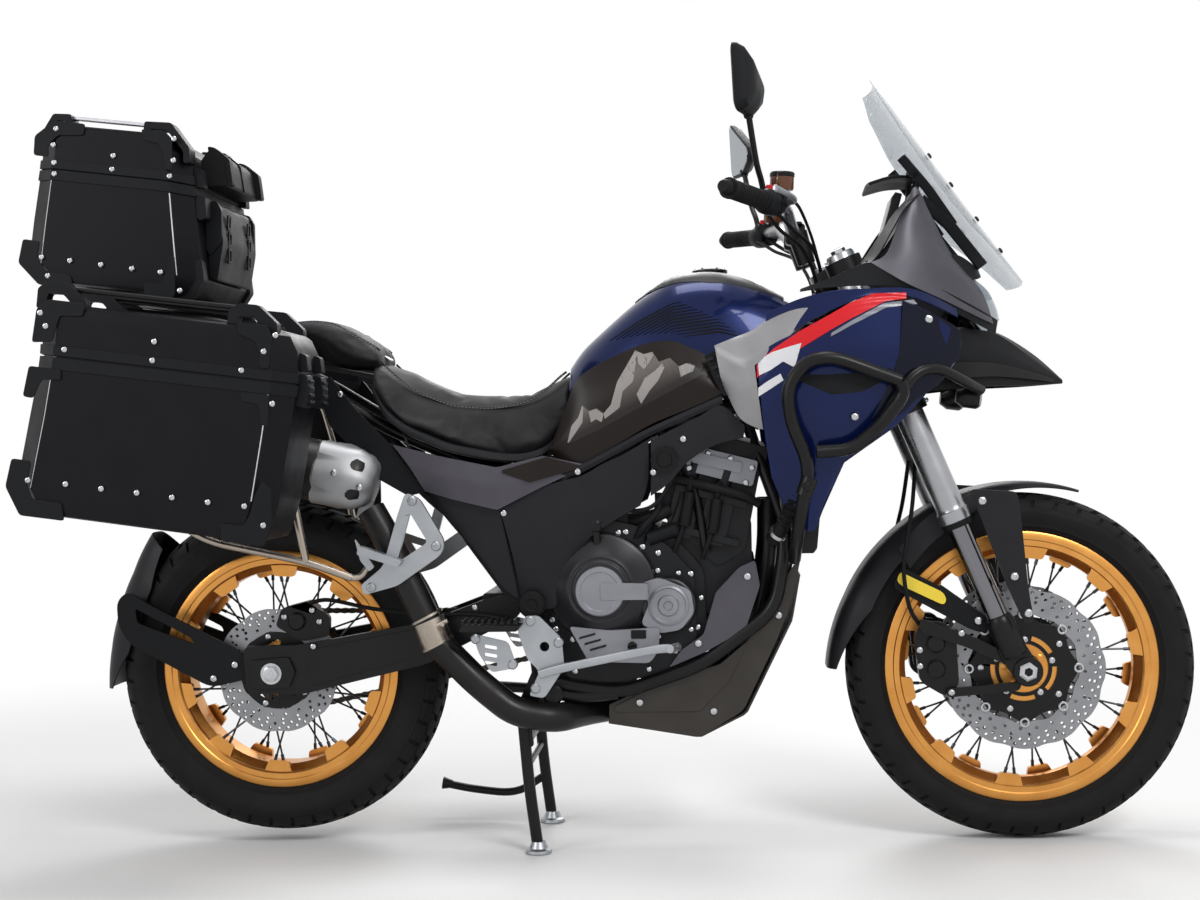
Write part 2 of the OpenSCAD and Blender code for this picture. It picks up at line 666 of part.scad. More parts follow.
module drive_chain() color("#3c3a36") bike() translate([0, chain_y + 7, 0]) rotate([90, 0, 0])
    linear_extrude(6) difference() {
        hull() {
            translate([0, rear_axle_z]) circle(104);
            translate([600, 400]) circle(38);
        }
        hull() {
            translate([0, rear_axle_z]) circle(93);
            translate([600, 400]) circle(28);
        }
    }

module rear_mudguard() color("#17181a") bike() {
    translate([0, 0, rear_axle_z]) arch(338, 4, 74, 134, 184);
    both_sides() plate([[-320, 500], [-268, 470], [-60, 372], [-56, 330], [-130, 318], [-310, 408],
        [-338, 440]], -99, 5, 10);
    for (s = [-1, 1]) translate([-334, s * 84 - 16, 430]) cube([8, 32, 40]);
}

module rear_brake_caliper() color("#151516") bike() difference() {
    plate([[2, 428], [14, 462], [64, 474], [108, 446], [106, 408], [52, 398]], -98, 40, 8);
    drum(0, rear_axle_z, -82, -71, 126);
}

// ---------- stands ----------

module centre_stand() color("#1b1b1c") bike() {
    both_sides() {
        tube([[478, -stand_y, 278], [490, -stand_y, 120], [503, -stand_y, 16]], stand_r);
        drum(stand_pivot[0], stand_pivot[1], -stand_y, -100, 7);
        translate([505, -stand_y, 0]) scale([1, 1, 1]) cylinder(h = 8, r = 24);
        rod([504, -stand_y, 6], [503, -stand_y, 24], stand_r + 2);
    }
    tube([[484, -stand_y, 205], [484, stand_y, 205]], 9);
    tube([[492, stand_y, 95], [430, stand_y + 24, 52], [337, stand_y + 36, 60],
        [280, stand_y + 36, 72]], 8);
}

module at_side_pivot() translate(side_stand_pivot) rotate([side_stand_splay - 90, 0, 0]) children();

module side_stand() color("#1b1b1c") bike() {
    difference() {
        union() {
            tube([[585, 183, 262], [480, 192, 262], [372, 198, 268]], 11);
            at_side_pivot() translate([0, 0, -14]) cylinder(h = 28, r = 16);
        }
        at_side_pivot() translate([0, 0, -40]) cylinder(h = 80, r = 6 + run_gap);
    }
    translate([350, 186, 264]) cube([30, 26, 8]);
}

main_frame();
engine_block();
engine_covers();
radiator();
exhaust();
fuel_tank();
seats();
side_panels();
side_covers();
lower_covers();
fairing_panels();
front_cowl();
headlight();
beak();
windscreen();
instrument_panel();
crash_bars();
skid_plate();
footpegs_and_pedals();
luggage_rack();
side_cases();
top_case();
tail_light();
swingarm();
rear_shock();
drive_chain();
rear_mudguard();
rear_brake_caliper();
side_case_right_lid();
side_case_left_lid();
top_case_lid();
centre_stand();
side_stand();
fork_clamps();
fork_legs();
handlebar();
mirrors();
front_mudguard();
front_brake_calipers();
front_tyre();
front_rim();
front_hub_and_discs();
rear_tyre();
rear_rim();
rear_hub_and_disc();
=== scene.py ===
"""Adventure motorcycle on its centre stand: the finish of every surface, around the CAD frame."""

import json
import math

import bmesh
import bpy
import numpy as np
from bpy.props import FloatProperty, IntProperty, PointerProperty
from mathutils import Matrix, Vector
from mathutils.geometry import delaunay_2d_cdt, tessellate_polygon


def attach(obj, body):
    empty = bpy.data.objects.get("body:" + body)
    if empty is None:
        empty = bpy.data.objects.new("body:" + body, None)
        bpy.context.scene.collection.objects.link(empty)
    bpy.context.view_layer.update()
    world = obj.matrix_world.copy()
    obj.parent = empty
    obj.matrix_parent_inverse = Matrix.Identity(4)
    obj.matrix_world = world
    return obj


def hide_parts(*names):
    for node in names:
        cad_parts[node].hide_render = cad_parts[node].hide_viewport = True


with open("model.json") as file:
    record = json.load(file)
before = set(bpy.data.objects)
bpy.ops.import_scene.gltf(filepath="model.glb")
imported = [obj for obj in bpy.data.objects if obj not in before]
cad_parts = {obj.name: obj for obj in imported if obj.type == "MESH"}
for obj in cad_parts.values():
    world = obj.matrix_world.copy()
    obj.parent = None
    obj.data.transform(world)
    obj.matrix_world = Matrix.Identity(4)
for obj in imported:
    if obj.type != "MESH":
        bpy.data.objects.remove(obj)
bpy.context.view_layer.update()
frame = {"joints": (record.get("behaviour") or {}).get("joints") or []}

bl_info = {
    "name": "Adventure motorcycle",
    "version": (1, 0, 0),
    "blender": (4, 5, 0),
    "location": "View3D > Sidebar > Motorcycle",
    "description": "Builds the finished surfaces of an adventure motorcycle around its frame",
    "category": "Object",
}

JOINTS = {j["name"]: j for j in frame["joints"]}

# ---------- places taken from the frame, in metres ----------

REAR_AXLE = np.array(JOINTS["rear_wheel_spin"]["pos_m"])
FRONT_AXLE = np.array(JOINTS["front_wheel_spin"]["pos_m"])
STEER_AXIS = np.array(JOINTS["steering"]["axis"])
LEG_DIR = STEER_AXIS / np.linalg.norm(STEER_AXIS)
FORE_DIR = np.array([LEG_DIR[2], 0.0, -LEG_DIR[0]])
MM = 0.001
WELD_DISTANCE = 1e-6
# Wheel centres in the scale of bike(): X and Z, mm
FRONT_HUB = (1420, 329)
REAR_HUB = (0, 341)
RIGHT, LEFT = -1, 1


def bike(points):
    """Millimetres, with X measured from the rear axle, as metres in the frame."""
    return np.asarray(points, float) * MM + [REAR_AXLE[0], 0.0, 0.0]


def forked(points):
    """Millimetres in the fork's own axes (forward, left, up the legs) as metres in the frame."""
    p = np.asarray(points, float) * MM
    across = np.array([0.0, 1.0, 0.0])
    return FRONT_AXLE + p[..., :1] * FORE_DIR + p[..., 1:2] * across + p[..., 2:3] * LEG_DIR


# ---------- curves ----------


def smooth(points, n):
    """Catmull-Rom curve through the points, sampled at n+1 even steps of its parameter."""
    p = np.asarray(points, float)
    q = np.vstack([p[:1], p, p[-1:]])
    s = np.linspace(0, len(p) - 1 - 1e-9, n + 1)
    i = s.astype(int)
    f = (s - i)[:, None]
    a, b, c, d = q[i], q[i + 1], q[i + 2], q[i + 3]
    return 0.5 * (2 * b + (c - a) * f + (2 * a - 5 * b + 4 * c - d) * f**2 + (3 * b - a - 3 * c + d) * f**3)


def bends(points, cut, k=6):
    """Polyline with each inner corner replaced by a quadratic curve that starts cut before it."""
    p = np.asarray(points, float)
    out = [p[:1]]
    t = np.linspace(0, 1, k + 1)[:, None]
    for a, b, c in zip(p[:-2], p[1:-1], p[2:]):
        u = b + (a - b) * min(cut / np.linalg.norm(a - b), 0.45)
        v = b + (c - b) * min(cut / np.linalg.norm(c - b), 0.45)
        out.append((1 - t) ** 2 * u + 2 * t * (1 - t) * b + t**2 * v)
    out.append(p[-1:])
    return np.vstack(out)


def evenly(points, n):
    """n+1 points at even distances along a polyline."""
    p = np.asarray(points, float)
    s = np.concatenate([[0], np.cumsum(np.linalg.norm(np.diff(p, axis=0), axis=1))])
    at = np.linspace(0, s[-1], n + 1)
    return np.stack([np.interp(at, s, p[:, k]) for k in range(p.shape[1])], 1)


def unit(v):
    """Vectors scaled to length 1."""
    v = np.asarray(v, float)
    return v / np.maximum(np.linalg.norm(v, axis=-1, keepdims=True), 1e-12)


# ---------- shapes: (vertices, quads, triangles) as arrays ----------

NO_TRI = np.zeros((0, 3), int)


def grid(P, wrap_u=False, wrap_v=False, cap_u=False):
    """Surface through a grid of points P[u, v]; wrapped ways close on themselves, caps close the ends of u."""
    nu, nv = P.shape[:2]
    i = np.arange(nu if wrap_u else nu - 1)[:, None]
    j = np.arange(nv if wrap_v else nv - 1)[None, :]
    a, b = i * nv + j, ((i + 1) % nu) * nv + j
    c, d = ((i + 1) % nu) * nv + (j + 1) % nv, i * nv + (j + 1) % nv
    quads = np.stack([a, b, c, d], -1).reshape(-1, 4)
    verts = P.reshape(-1, 3)
    if not cap_u:
        return verts, quads, NO_TRI
    ends = np.stack([P[0].mean(0), P[-1].mean(0)])
    k = np.arange(nv)
    k1 = (k + 1) % nv
    first = np.stack([np.full(nv, len(verts)), k, k1], 1)
    base = (nu - 1) * nv
    last = np.stack([np.full(nv, len(verts) + 1), base + k1, base + k], 1)
    return np.vstack([verts, ends]), quads, np.vstack([first, last])


def join(*shapes):
    """Several shapes as one, with their indices moved on."""
    verts, quads, tris, n = [], [], [], 0
    for v, q, t in shapes:
        verts.append(v)
        quads.append(q + n)
        tris.append(t + n)
        n += len(v)
    return np.vstack(verts), np.vstack(quads), np.vstack(tris)


def flipped(shape):
    """The same shape with its faces turned inside out."""
    v, q, t = shape
    return v, q[:, ::-1], t[:, ::-1]


def mirrored(shape):
    """The shape's image across the centre plane, with its faces turned so that they still point out."""
    v, q, t = shape
    return flipped((v * [1, -1, 1], q, t))


def both(shape):
    """A right-hand shape together with its left-hand image."""
    return join(shape, mirrored(shape))


def stamped(shape, matrices):
    """Copies of a shape at each 4x4 matrix, as one shape."""
    v, q, t = shape
    m = np.asarray(matrices)
    verts = np.einsum("kij,nj->kni", m[:, :3, :3], v) + m[:, None, :3, 3]
    step = (np.arange(len(m)) * len(v))[:, None, None]
    return verts.reshape(-1, 3), (q[None] + step).reshape(-1, 4), (t[None] + step).reshape(-1, 3)


def pose(at, z_dir=(0, 0, 1), x_hint=(1, 0, 0), size=1.0):
    """4x4 matrix that puts a shape's +Z along z_dir and its origin at a point."""
    z = unit(z_dir)
    x = np.asarray(x_hint, float)
    x = x - z * (x @ z)
    if np.linalg.norm(x) < 1e-6:
        x = np.array([0.0, 1.0, 0.0]) - z * z[1]
    x = unit(x)
    m = np.eye(4)
    m[:3, 0], m[:3, 1], m[:3, 2], m[:3, 3] = x * size, np.cross(z, x) * size, z * size, at
    return m


def revolve(profile, at=(0, 0, 0), axis=(0, 0, 1), n=48, closed=False, x_hint=(1, 0, 0)):
    """Profile of (radius, height) pairs turned about an axis; a closed profile is a ring."""
    p = np.asarray(profile, float)
    a = np.linspace(0, 2 * math.pi, n, endpoint=False)
    ring = np.stack([np.cos(a), np.sin(a)], -1)
    P = np.concatenate([p[:, None, :1] * ring[None], np.broadcast_to(p[:, None, 1:], (len(p), n, 1))], -1)
    shape = grid(P, wrap_u=closed, wrap_v=True, cap_u=not closed)
    return stamped(flipped(shape), [pose(at, axis, x_hint)])


def sweep(path, radius, n=16, flat=1.0, side=None):
    """Tube along a path: rings square to it, carried along without twist. radius may vary."""
    p = np.asarray(path, float)
    r = np.broadcast_to(np.asarray(radius, float), len(p))
    tangent = unit(np.gradient(p, axis=0))
    hint = side if side is not None else ([0, 1, 0] if abs(tangent[0][1]) < 0.8 else [0, 0, 1])
    w = np.asarray(hint, float)
    frames = []
    for t in tangent:
        w = unit(w - t * (w @ t))
        frames.append(w)
    w = np.array(frames)
    b = np.cross(tangent, w)
    a = np.linspace(0, 2 * math.pi, n, endpoint=False)
    P = p[:, None] + r[:, None, None] * (
        np.cos(a)[None, :, None] * w[:, None] + flat * np.sin(a)[None, :, None] * b[:, None])
    return flipped(grid(P, wrap_v=True, cap_u=True))


def ribbon(path, outline, side=(0, 1, 0)):
    """Bar of a given cross-section carried along a path; outline is (sideways, up) pairs."""
    p = np.asarray(path, float)
    o = np.asarray(outline, float)
    t = unit(np.gradient(p, axis=0))
    w = unit(np.asarray(side, float) - t * (t @ np.asarray(side, float))[:, None])
    b = np.cross(t, w)
    P = p[:, None] + o[None, :, :1] * w[:, None] + o[None, :, 1:] * b[:, None]
    return flipped(grid(P, wrap_v=True, cap_u=True))


def circle(r, n=32, centre=(0, 0), turn=0.0):
    """Points of a circle in its own plane."""
    a = np.linspace(0, 2 * math.pi, n, endpoint=False) + turn
    return np.stack([centre[0] + r * np.cos(a), centre[1] + r * np.sin(a)], -1)


def rounded(points, r, k=4):
    """Closed outline with each corner replaced by a quadratic curve of reach r (one or one per corner)."""
    p = np.asarray(points, float)
    rr = np.broadcast_to(np.asarray(r, float), len(p))
    t = np.linspace(0, 1, k + 1)[:, None]
    out = []
    for i in range(len(p)):
        a, b, c = p[i - 1], p[i], p[(i + 1) % len(p)]
        u = b + (a - b) * min(rr[i] / max(np.linalg.norm(a - b), 1e-9), 0.48)
        v = b + (c - b) * min(rr[i] / max(np.linalg.norm(c - b), 1e-9), 0.48)
        out.append((1 - t) ** 2 * u + 2 * t * (1 - t) * b + t**2 * v)
    return np.vstack(out)


def slab(outline, y0, y1, holes=(), tris=None):
    """Flat plate: a closed outline in X and Z, with holes, between two places across."""
    loops = [np.asarray(o, float) for o in (outline, *holes)]
    if tris is None:
        tris = np.array(tessellate_polygon([[Vector((x, z, 0)) for x, z in o] for o in loops]))
    flat = np.vstack(loops)
    a, b, c = (flat[tris[:, k]] for k in range(3))
    area = (b[:, 0] - a[:, 0]) * (c[:, 1] - a[:, 1]) - (b[:, 1] - a[:, 1]) * (c[:, 0] - a[:, 0])
    tris[area < 0] = tris[area < 0][:, ::-1]
    tris = tris[np.abs(area) > 1e-14]
    n = len(flat)
    near = np.stack([flat[:, 0], np.full(n, y0), flat[:, 1]], 1)
    far = near + [0, y1 - y0, 0]
    quads, start = [], 0
    for k, o in enumerate(loops):
        m = len(o)
        j = np.arange(m)
        j1 = (j + 1) % m
        turn = np.sum(o[:, 0] * np.roll(o[:, 1], -1) - np.roll(o[:, 0], -1) * o[:, 1])
        q = np.stack([start + j, start + j1, n + start + j1, n + start + j], 1)
        quads.append(q[:, ::-1] if (turn > 0) == (k == 0) else q)
        start += m
    quads = np.vstack(quads)[:, ::-1]
    return np.vstack([near, far]), quads, np.vstack([tris, tris[:, ::-1] + n])


def rounded_slab(points, r, k, *across):
    """Flat plate with rounded corners; its two places across and any holes come last."""
    return slab(rounded(points, r, k), *across)


def turned(shape, at, z_dir, x_hint=(1, 0, 0)):
    """A shape carried to one spot, with its Z along z_dir."""
    return stamped(shape, [pose(at, z_dir, x_hint)])


def upright(shape):
    """A slab drawn in X and Z, laid so that its thickness runs along +Z instead."""
    v, q, t = shape
    return v[:, [0, 2, 1]], q[:, ::-1], t[:, ::-1]


# ---------- putting a shape in the scene ----------


def part(name, shape, finish, body="frame", replaces=(), to=bike, bevel=0.0, segments=2, crease=32, weld=False):
    """Makes the mesh object from a shape in millimetres, in the named finish and on its body, with the names
    of the CAD nodes that it stands for."""
    v, q, t = shape
    v = to(v)
    material = FINISH[finish]
    mesh = bpy.data.meshes.new(name)
    loops = np.concatenate([q.ravel(), t.ravel()]).astype(np.int32)
    sizes = np.concatenate([np.full(len(q), 4), np.full(len(t), 3)]).astype(np.int32)
    mesh.vertices.add(len(v))
    mesh.vertices.foreach_set("co", np.ascontiguousarray(v, np.float32).ravel())
    mesh.loops.add(len(loops))
    mesh.loops.foreach_set("vertex_index", loops)
    mesh.polygons.add(len(sizes))
    mesh.polygons.foreach_set("loop_start", np.concatenate([[0], np.cumsum(sizes)[:-1]]).astype(np.int32))
    mesh.update(calc_edges=True)
    mesh.validate()
    if weld:
        bm = bmesh.new()
        bm.from_mesh(mesh)
        bmesh.ops.remove_doubles(bm, verts=bm.verts, dist=WELD_DISTANCE)
        bmesh.ops.recalc_face_normals(bm, faces=bm.faces)
        bm.to_mesh(mesh)
        bm.free()
    mesh.shade_smooth()
    mesh.set_sharp_from_angle(angle=math.radians(crease))
    obj = bpy.data.objects.new(name, mesh)
    bpy.context.scene.collection.objects.link(obj)
    mesh.materials.append(material)
    if bevel:
        m = obj.modifiers.new("Edges", "BEVEL")
        m.width = bevel
        m.segments = segments
        m.limit_method = "ANGLE"
        m.angle_limit = math.radians(crease)
        m.harden_normals = True
    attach(obj, body)
    if replaces:
        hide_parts(*replaces)
    return obj


def welded(*args, **how):
    """Part whose coincident vertices are merged and whose faces are all turned outward."""
    return part(*args, weld=True, **how)


# ---------- materials ----------


def linear(hex_colour):
    """sRGB hex as linear RGBA."""
    c = np.array([int(hex_colour.lstrip("#")[k:k + 2], 16) for k in (0, 2, 4)]) / 255
    c = np.where(c <= 0.04045, c / 12.92, ((c + 0.055) / 1.055) ** 2.4)
    return (*c, 1.0)


def add(tree, kind, settings=(), links=()):
    """Adds one node, sets its properties and sockets, and links its inputs: (input, from node, output)."""
    node = tree.nodes.new(kind)
    for key, value in dict(settings).items():
        if isinstance(key, str) and hasattr(node, key):
            setattr(node, key, value)
        else:
            node.inputs[key].default_value = value
    for target, source, output in links:
        tree.links.new(source.outputs[output], node.inputs[target])
    return node


def base(name, colour, roughness, metallic=0.0, **more):
    """New material with one Principled shader; further sockets are set by their names."""
    mat = bpy.data.materials.new(name)
    mat.use_nodes = True
    tree = mat.node_tree
    bsdf = tree.nodes["Principled BSDF"]
    bsdf.inputs["Base Color"].default_value = linear(colour)
    bsdf.inputs["Roughness"].default_value = roughness
    bsdf.inputs["Metallic"].default_value = metallic
    for key, value in more.items():
        bsdf.inputs[key.replace("_", " ")].default_value = value
    return mat, tree, bsdf


BROAD_SCALE = 22.0  # noise cells per metre that vary the roughness and the tint


def grain(tree, bsdf, size_mm, depth_mm, detail=4.0, roughness=None, spread=0.08, colour=None):
    """Surface grain: noise of a real size drives the bump and a little of the roughness and colour."""
    place = add(tree, "ShaderNodeTexCoord")
    noise = add(tree, "ShaderNodeTexNoise", {"Scale": 1000.0 / size_mm, "Detail": detail, "Roughness": 0.6},
                [("Vector", place, "Object")])
    bump = add(tree, "ShaderNodeBump", {"Strength": 1.0, "Distance": depth_mm * MM}, [("Height", noise, "Fac")])
    tree.links.new(bump.outputs["Normal"], bsdf.inputs["Normal"])
    if roughness is not None:
        broad = add(tree, "ShaderNodeTexNoise", {"Scale": BROAD_SCALE, "Detail": 5.0}, [("Vector", place, "Object")])
        span = add(tree, "ShaderNodeMapRange",
                   {"From Min": 0.3, "From Max": 0.7, "To Min": roughness - spread, "To Max": roughness + spread},
                   [("Value", broad, "Fac")])
        tree.links.new(span.outputs["Result"], bsdf.inputs["Roughness"])
        if colour:
            low, high = colour
            ramp = add(tree, "ShaderNodeMix", {"data_type": "RGBA"}, [("Factor", broad, "Fac")])
            ramp.inputs[6].default_value = linear(low)
            ramp.inputs[7].default_value = linear(high)
            tree.links.new(ramp.outputs[2], bsdf.inputs["Base Color"])
    return place, bump


# ---------- finishes ----------


# Name: (what it gives the eye, colour, roughness, metallic, grain in mm, depth in mm, roughness spread,
#        darkest and lightest tint, other sockets)
TABLE = {
    "tyre_rubber": ("Cured rubber: near black, matt, with a faint grey bloom.",
                    "#111112", 0.7, 0, 1.2, 0.08, 0.1, ("#0d0d0e", "#171718"), {"Specular_IOR_Level": 0.18}),
    "anodised_gold": ("Gold anodised turned aluminium: warm metal with a soft sheen.",
                      "#cf9149", 0.33, 1, 0.6, 0.01, 0.06, ("#c2803a", "#dca25a"), {}),
    "dark_spoke_steel": ("Blackened drawn wire: dark metal with a bright line of gloss.",
                         "#3a3a3c", 0.32, 1, 0.4, 0.01, 0, None, {}),
    "ground_disc_steel": ("Stainless steel ground in rings: light grey with fine scoring.",
                          "#8a8b8e", 0.44, 1, 0.7, 0.02, 0.07, ("#7c7d80", "#98999c"), {}),
    "powder_black": ("Black powder coat on steel tube: satin with fine orange peel.",
                     "#0e0e10", 0.34, 0, 1.4, 0.03, 0.06, ("#0b0b0d", "#121214"), {"Specular_IOR_Level": 0.22}),
    "moulded_black": ("Polypropylene with a spark-eroded grain: matt black, grey in the light.",
                      "#101114", 0.5, 0, 0.9, 0.06, 0.06, ("#0d0e10", "#151619"), {"Specular_IOR_Level": 0.14}),
    "gloss_black": ("Lacquered black plastic: deep, with sharp lights.",
                    "#08080a", 0.2, 0, 14, 0.01, 0.03, None, {"Specular_IOR_Level": 0.22}),
    "night_lacquer": ("Blue-black lacquer: nearly black, blue where it catches the light.",
                      "#070b1e", 0.2, 0.2, 14, 0.01, 0.03, None, {"Specular_IOR_Level": 0.22}),
    "silver_lacquer": ("Satin silver paint on plastic: fine metal grain, soft highlights.",
                       "#8b8a8c", 0.4, 0.6, 0.5, 0.01, 0.05, ("#807f81", "#969597"), {"Specular_IOR_Level": 0.2}),
    "brown_black": ("Satin brown-black panel: warm and dark, with a soft sheen.",
                    "#181210", 0.34, 0, 1.1, 0.02, 0.05, ("#130e0c", "#1d1613"), {"Specular_IOR_Level": 0.2}),
    "grey_satin": ("Satin grey painted plastic with a cool cast.",
                   "#4d4b52", 0.36, 0.25, 0.8, 0.02, 0.05, ("#47454c", "#545259"), {"Specular_IOR_Level": 0.2}),
    "slate_plastic": ("Dark slate moulded plastic, half matt.",
                      "#1b1b1f", 0.42, 0, 0.9, 0.04, 0.05, ("#17171b", "#202024"), {"Specular_IOR_Level": 0.18}),
    "seat_thread": ("Grey polyester thread.", "#77777a", 0.7, 0, 0.8, 0.1, 0, None, {}),
    "case_black": ("Powder-coated sheet aluminium: fine pebbled black with a low sheen.",
                   "#0c0c10", 0.42, 0, 1.0, 0.09, 0.05, ("#09090d", "#111115"), {"Specular_IOR_Level": 0.13}),
    # bare_aluminium also makes the bright strips on the cases' folds, which are painted highlights
    "bare_aluminium": ("Milled aluminium: bright edges, rails and rivets.",
                       "#b9babd", 0.28, 1, 0.5, 0.01, 0.06, None, {}),
    "cast_aluminium": ("Blasted casting: pale grey, finely rough.",
                       "#a2a5a9", 0.38, 0.9, 0.7, 0.06, 0.07, ("#8f9296", "#b0b3b7"), {}),
    "satin_muffler": ("Satin aluminium end cap.", "#9a9b9d", 0.5, 0.9, 1.0, 0.03, 0.06, ("#8b8c8e", "#a8a9ab"), {}),
    "brushed_steel": ("Brushed stainless tube: fine streaks and a warm tint.",
                      "#a1978c", 0.3, 1, 0.5, 0.02, 0.07, ("#93897e", "#afa59a"), {}),
    "pipe_black": ("Heatproof black on pipe, a little burnt to brown.",
                   "#151414", 0.38, 0.3, 2.0, 0.04, 0.1, ("#100f0f", "#1e1b1a"), {"Specular_IOR_Level": 0.35}),
    "engine_black": ("Painted sand casting: black, rough and slightly glossy.",
                     "#131416", 0.4, 0.2, 1.3, 0.15, 0.08, ("#0f1012", "#1a1b1e"), {"Specular_IOR_Level": 0.25}),
    "cover_grey": ("Dark grey painted die casting.", "#232326", 0.34, 0.45, 0.8, 0.04, 0.05,
                   ("#1e1e21", "#2a2a2d"), {}),
    "cap_grey": ("Light grey painted casting.", "#818289", 0.36, 0.5, 0.8, 0.05, 0.06, ("#74757b", "#8d8e95"), {}),
    "hard_chrome": ("Hard chrome on sliding tubes: a dark mirror.", "#77777b", 0.14, 1, 0.6, 0.005, 0.03, None, {}),
    "fork_silver": ("Turned, clear anodised aluminium: soft grey with fine rings.",
                    "#a0a1a4", 0.3, 0.95, 0.6, 0.02, 0.05, ("#949598", "#abacaf"), {}),
    "lamp_lens": ("Clear moulded lamp lens with a bright rim.",
                  "#aeb6bd", 0.08, 0.3, 8, 0.2, 0, None, {"Transmission_Weight": 0.3}),
    "lamp_white": ("White light guide.", "#e8eaee", 0.25, 0, 3, 0.02, 0, None, {}),
    "red_lens": ("Red lamp lens with moulded prisms.", "#8c1212", 0.18, 0, 4, 0.2, 0, None, {}),
    "red_paint": ("Signal red stripe under lacquer.",
                  "#cf1420", 0.28, 0, 20, 0.01, 0.03, None, {"Specular_IOR_Level": 0.35}),
    "white_paint": ("White stripe under lacquer.",
                    "#d8d8dc", 0.28, 0, 20, 0.01, 0.03, None, {"Specular_IOR_Level": 0.35}),
    "stripe_grey": ("Pale grey stripe under lacquer.", "#7d7f88", 0.28, 0, 20, 0.01, 0.03, None, {}),
    "soft_rubber": ("Black rubber of grips and hoses: matt with a fine bloom.",
                    "#0f0f10", 0.6, 0, 0.8, 0.08, 0.06, None, {"Specular_IOR_Level": 0.16}),
    "mirror_glass": ("Silvered glass, faintly tinted.", "#8d9296", 0.02, 1, 80, 0.005, 0, None, {}),
    "smoked_cup": ("Smoked cup with brown fluid inside.", "#5a3014", 0.12, 0, 10, 0.02, 0, None, {}),
    "spring_red": ("Red powder-coated spring wire.", "#6e1616", 0.35, 0, 1.4, 0.03, 0, None, {}),
    "chain_steel": ("Oiled chain plates: dark steel with a little brown.",
                    "#46413b", 0.4, 0.9, 1.5, 0.05, 0.1, ("#36322d", "#544e47"), {}),
    "skid_grey": ("Grey-brown textured paint on pressed aluminium.",
                  "#3a3734", 0.4, 0.3, 1.2, 0.1, 0.06, ("#302d2a", "#403d3a"), {"Specular_IOR_Level": 0.22}),
    "pale_print": ("Pale warm grey printed film.",
                   "#8d8885", 0.4, 0, 3, 0.01, 0.04, ("#827d7a", "#989390"), {"Specular_IOR_Level": 0.3}),
    "amber_reflector": ("Yellow prism reflector under a smooth face.",
                        "#e6c81c", 0.22, 0, 2.6, 0.4, 0, None, {"Coat_Weight": 0.6}),
}
# Every finish's material, kept by name
FINISH = {}


def table_finish(name, row):
    """Finish from one row of the table, with noise in its colour, roughness and surface."""
    _, colour, rough, metal, size, depth, spread, tints, more = row
    mat, tree, bsdf = base(name, colour, rough, metal, **more)
    grain(tree, bsdf, size, depth, roughness=rough if spread else None, spread=spread, colour=tints)
    return mat


def navy_lacquer():
    """Navy base coat with fine blue mica under clear lacquer: dark at a glance, bright blue in the light."""
    mat, tree, bsdf = base("navy_lacquer", "#081645", 0.24, 0.45, Specular_IOR_Level=0.15, Coat_Weight=0.25,
                           Coat_Roughness=0.04)
    place = add(tree, "ShaderNodeTexCoord")
    flake = add(tree, "ShaderNodeTexVoronoi", {"Scale": 1400.0}, [("Vector", place, "Object")])
    tint = add(tree, "ShaderNodeMix", {"data_type": "RGBA"}, [("Factor", flake, "Distance")])
    tint.inputs[6].default_value = linear("#050c2b")
    tint.inputs[7].default_value = linear("#0b1f56")
    tree.links.new(tint.outputs[2], bsdf.inputs["Base Color"])
    return mat


FILM_X, FILM_Z = 0.577, 0.770  # where the printed film's foot starts: X from the rear axle and Z, m


def pale_decal():
    """Printed film: pale warm grey at the peaks, fading into the brown panel at their feet."""
    mat, tree, bsdf = base("pale_decal", "#7d7875", 0.4, Specular_IOR_Level=0.35)
    place = add(tree, "ShaderNodeTexCoord")
    climb = add(tree, "ShaderNodeVectorMath", {"operation": "DOT_PRODUCT"}, [(0, place, "Object")])
    climb.inputs[1].default_value = (-0.5, 0.0, 1.0)
    low = FILM_Z + 0.5 * (-REAR_AXLE[0] - FILM_X)
    fade = add(tree, "ShaderNodeMapRange", {"From Min": low + 0.004, "From Max": low + 0.06},
               [("Value", climb, "Value")])
    tint = add(tree, "ShaderNodeMix", {"data_type": "RGBA"}, [("Factor", fade, "Result")])
    tint.inputs[6].default_value = linear("#181210")
    tint.inputs[7].default_value = linear("#5f5956")
    tree.links.new(tint.outputs[2], bsdf.inputs["Base Color"])
    return mat


def seat_vinyl():
    """Black seat vinyl with a pressed leather grain: soft, matt, pale where it catches the light."""
    mat, tree, bsdf = base("seat_vinyl", "#151517", 0.6, Sheen_Weight=0.05, Specular_IOR_Level=0.2)
    place, bump = grain(tree, bsdf, 2.2, 0.12, roughness=0.58, spread=0.06, colour=("#121214", "#19191c"))
    cell = add(tree, "ShaderNodeTexVoronoi", {"feature": "DISTANCE_TO_EDGE", "Scale": 620.0},
               [("Vector", place, "Object")])
    crease = add(tree, "ShaderNodeBump", {"Strength": 0.5, "Distance": 0.15 * MM},
                 [("Height", cell, "Distance"), ("Normal", bump, "Normal")])
    tree.links.new(crease.outputs["Normal"], bsdf.inputs["Normal"])
    return mat


def clear_screen():
    """Clear polycarbonate with a faint smoke tint."""
    mat, tree, bsdf = base("clear_screen", "#9aa6b0", 0.03, IOR=1.2, Transmission_Weight=0.75, Alpha=0.62)
    grain(tree, bsdf, 60.0, 0.01)
    return mat


def make_finishes():
    """Every finish, kept by name."""
    for name, row in TABLE.items():
        FINISH[name] = table_finish(name, row)
    for maker in (navy_lacquer, pale_decal, seat_vinyl, clear_screen):
        FINISH[maker.__name__] = maker()


# ---------- small fittings that many pieces carry ----------


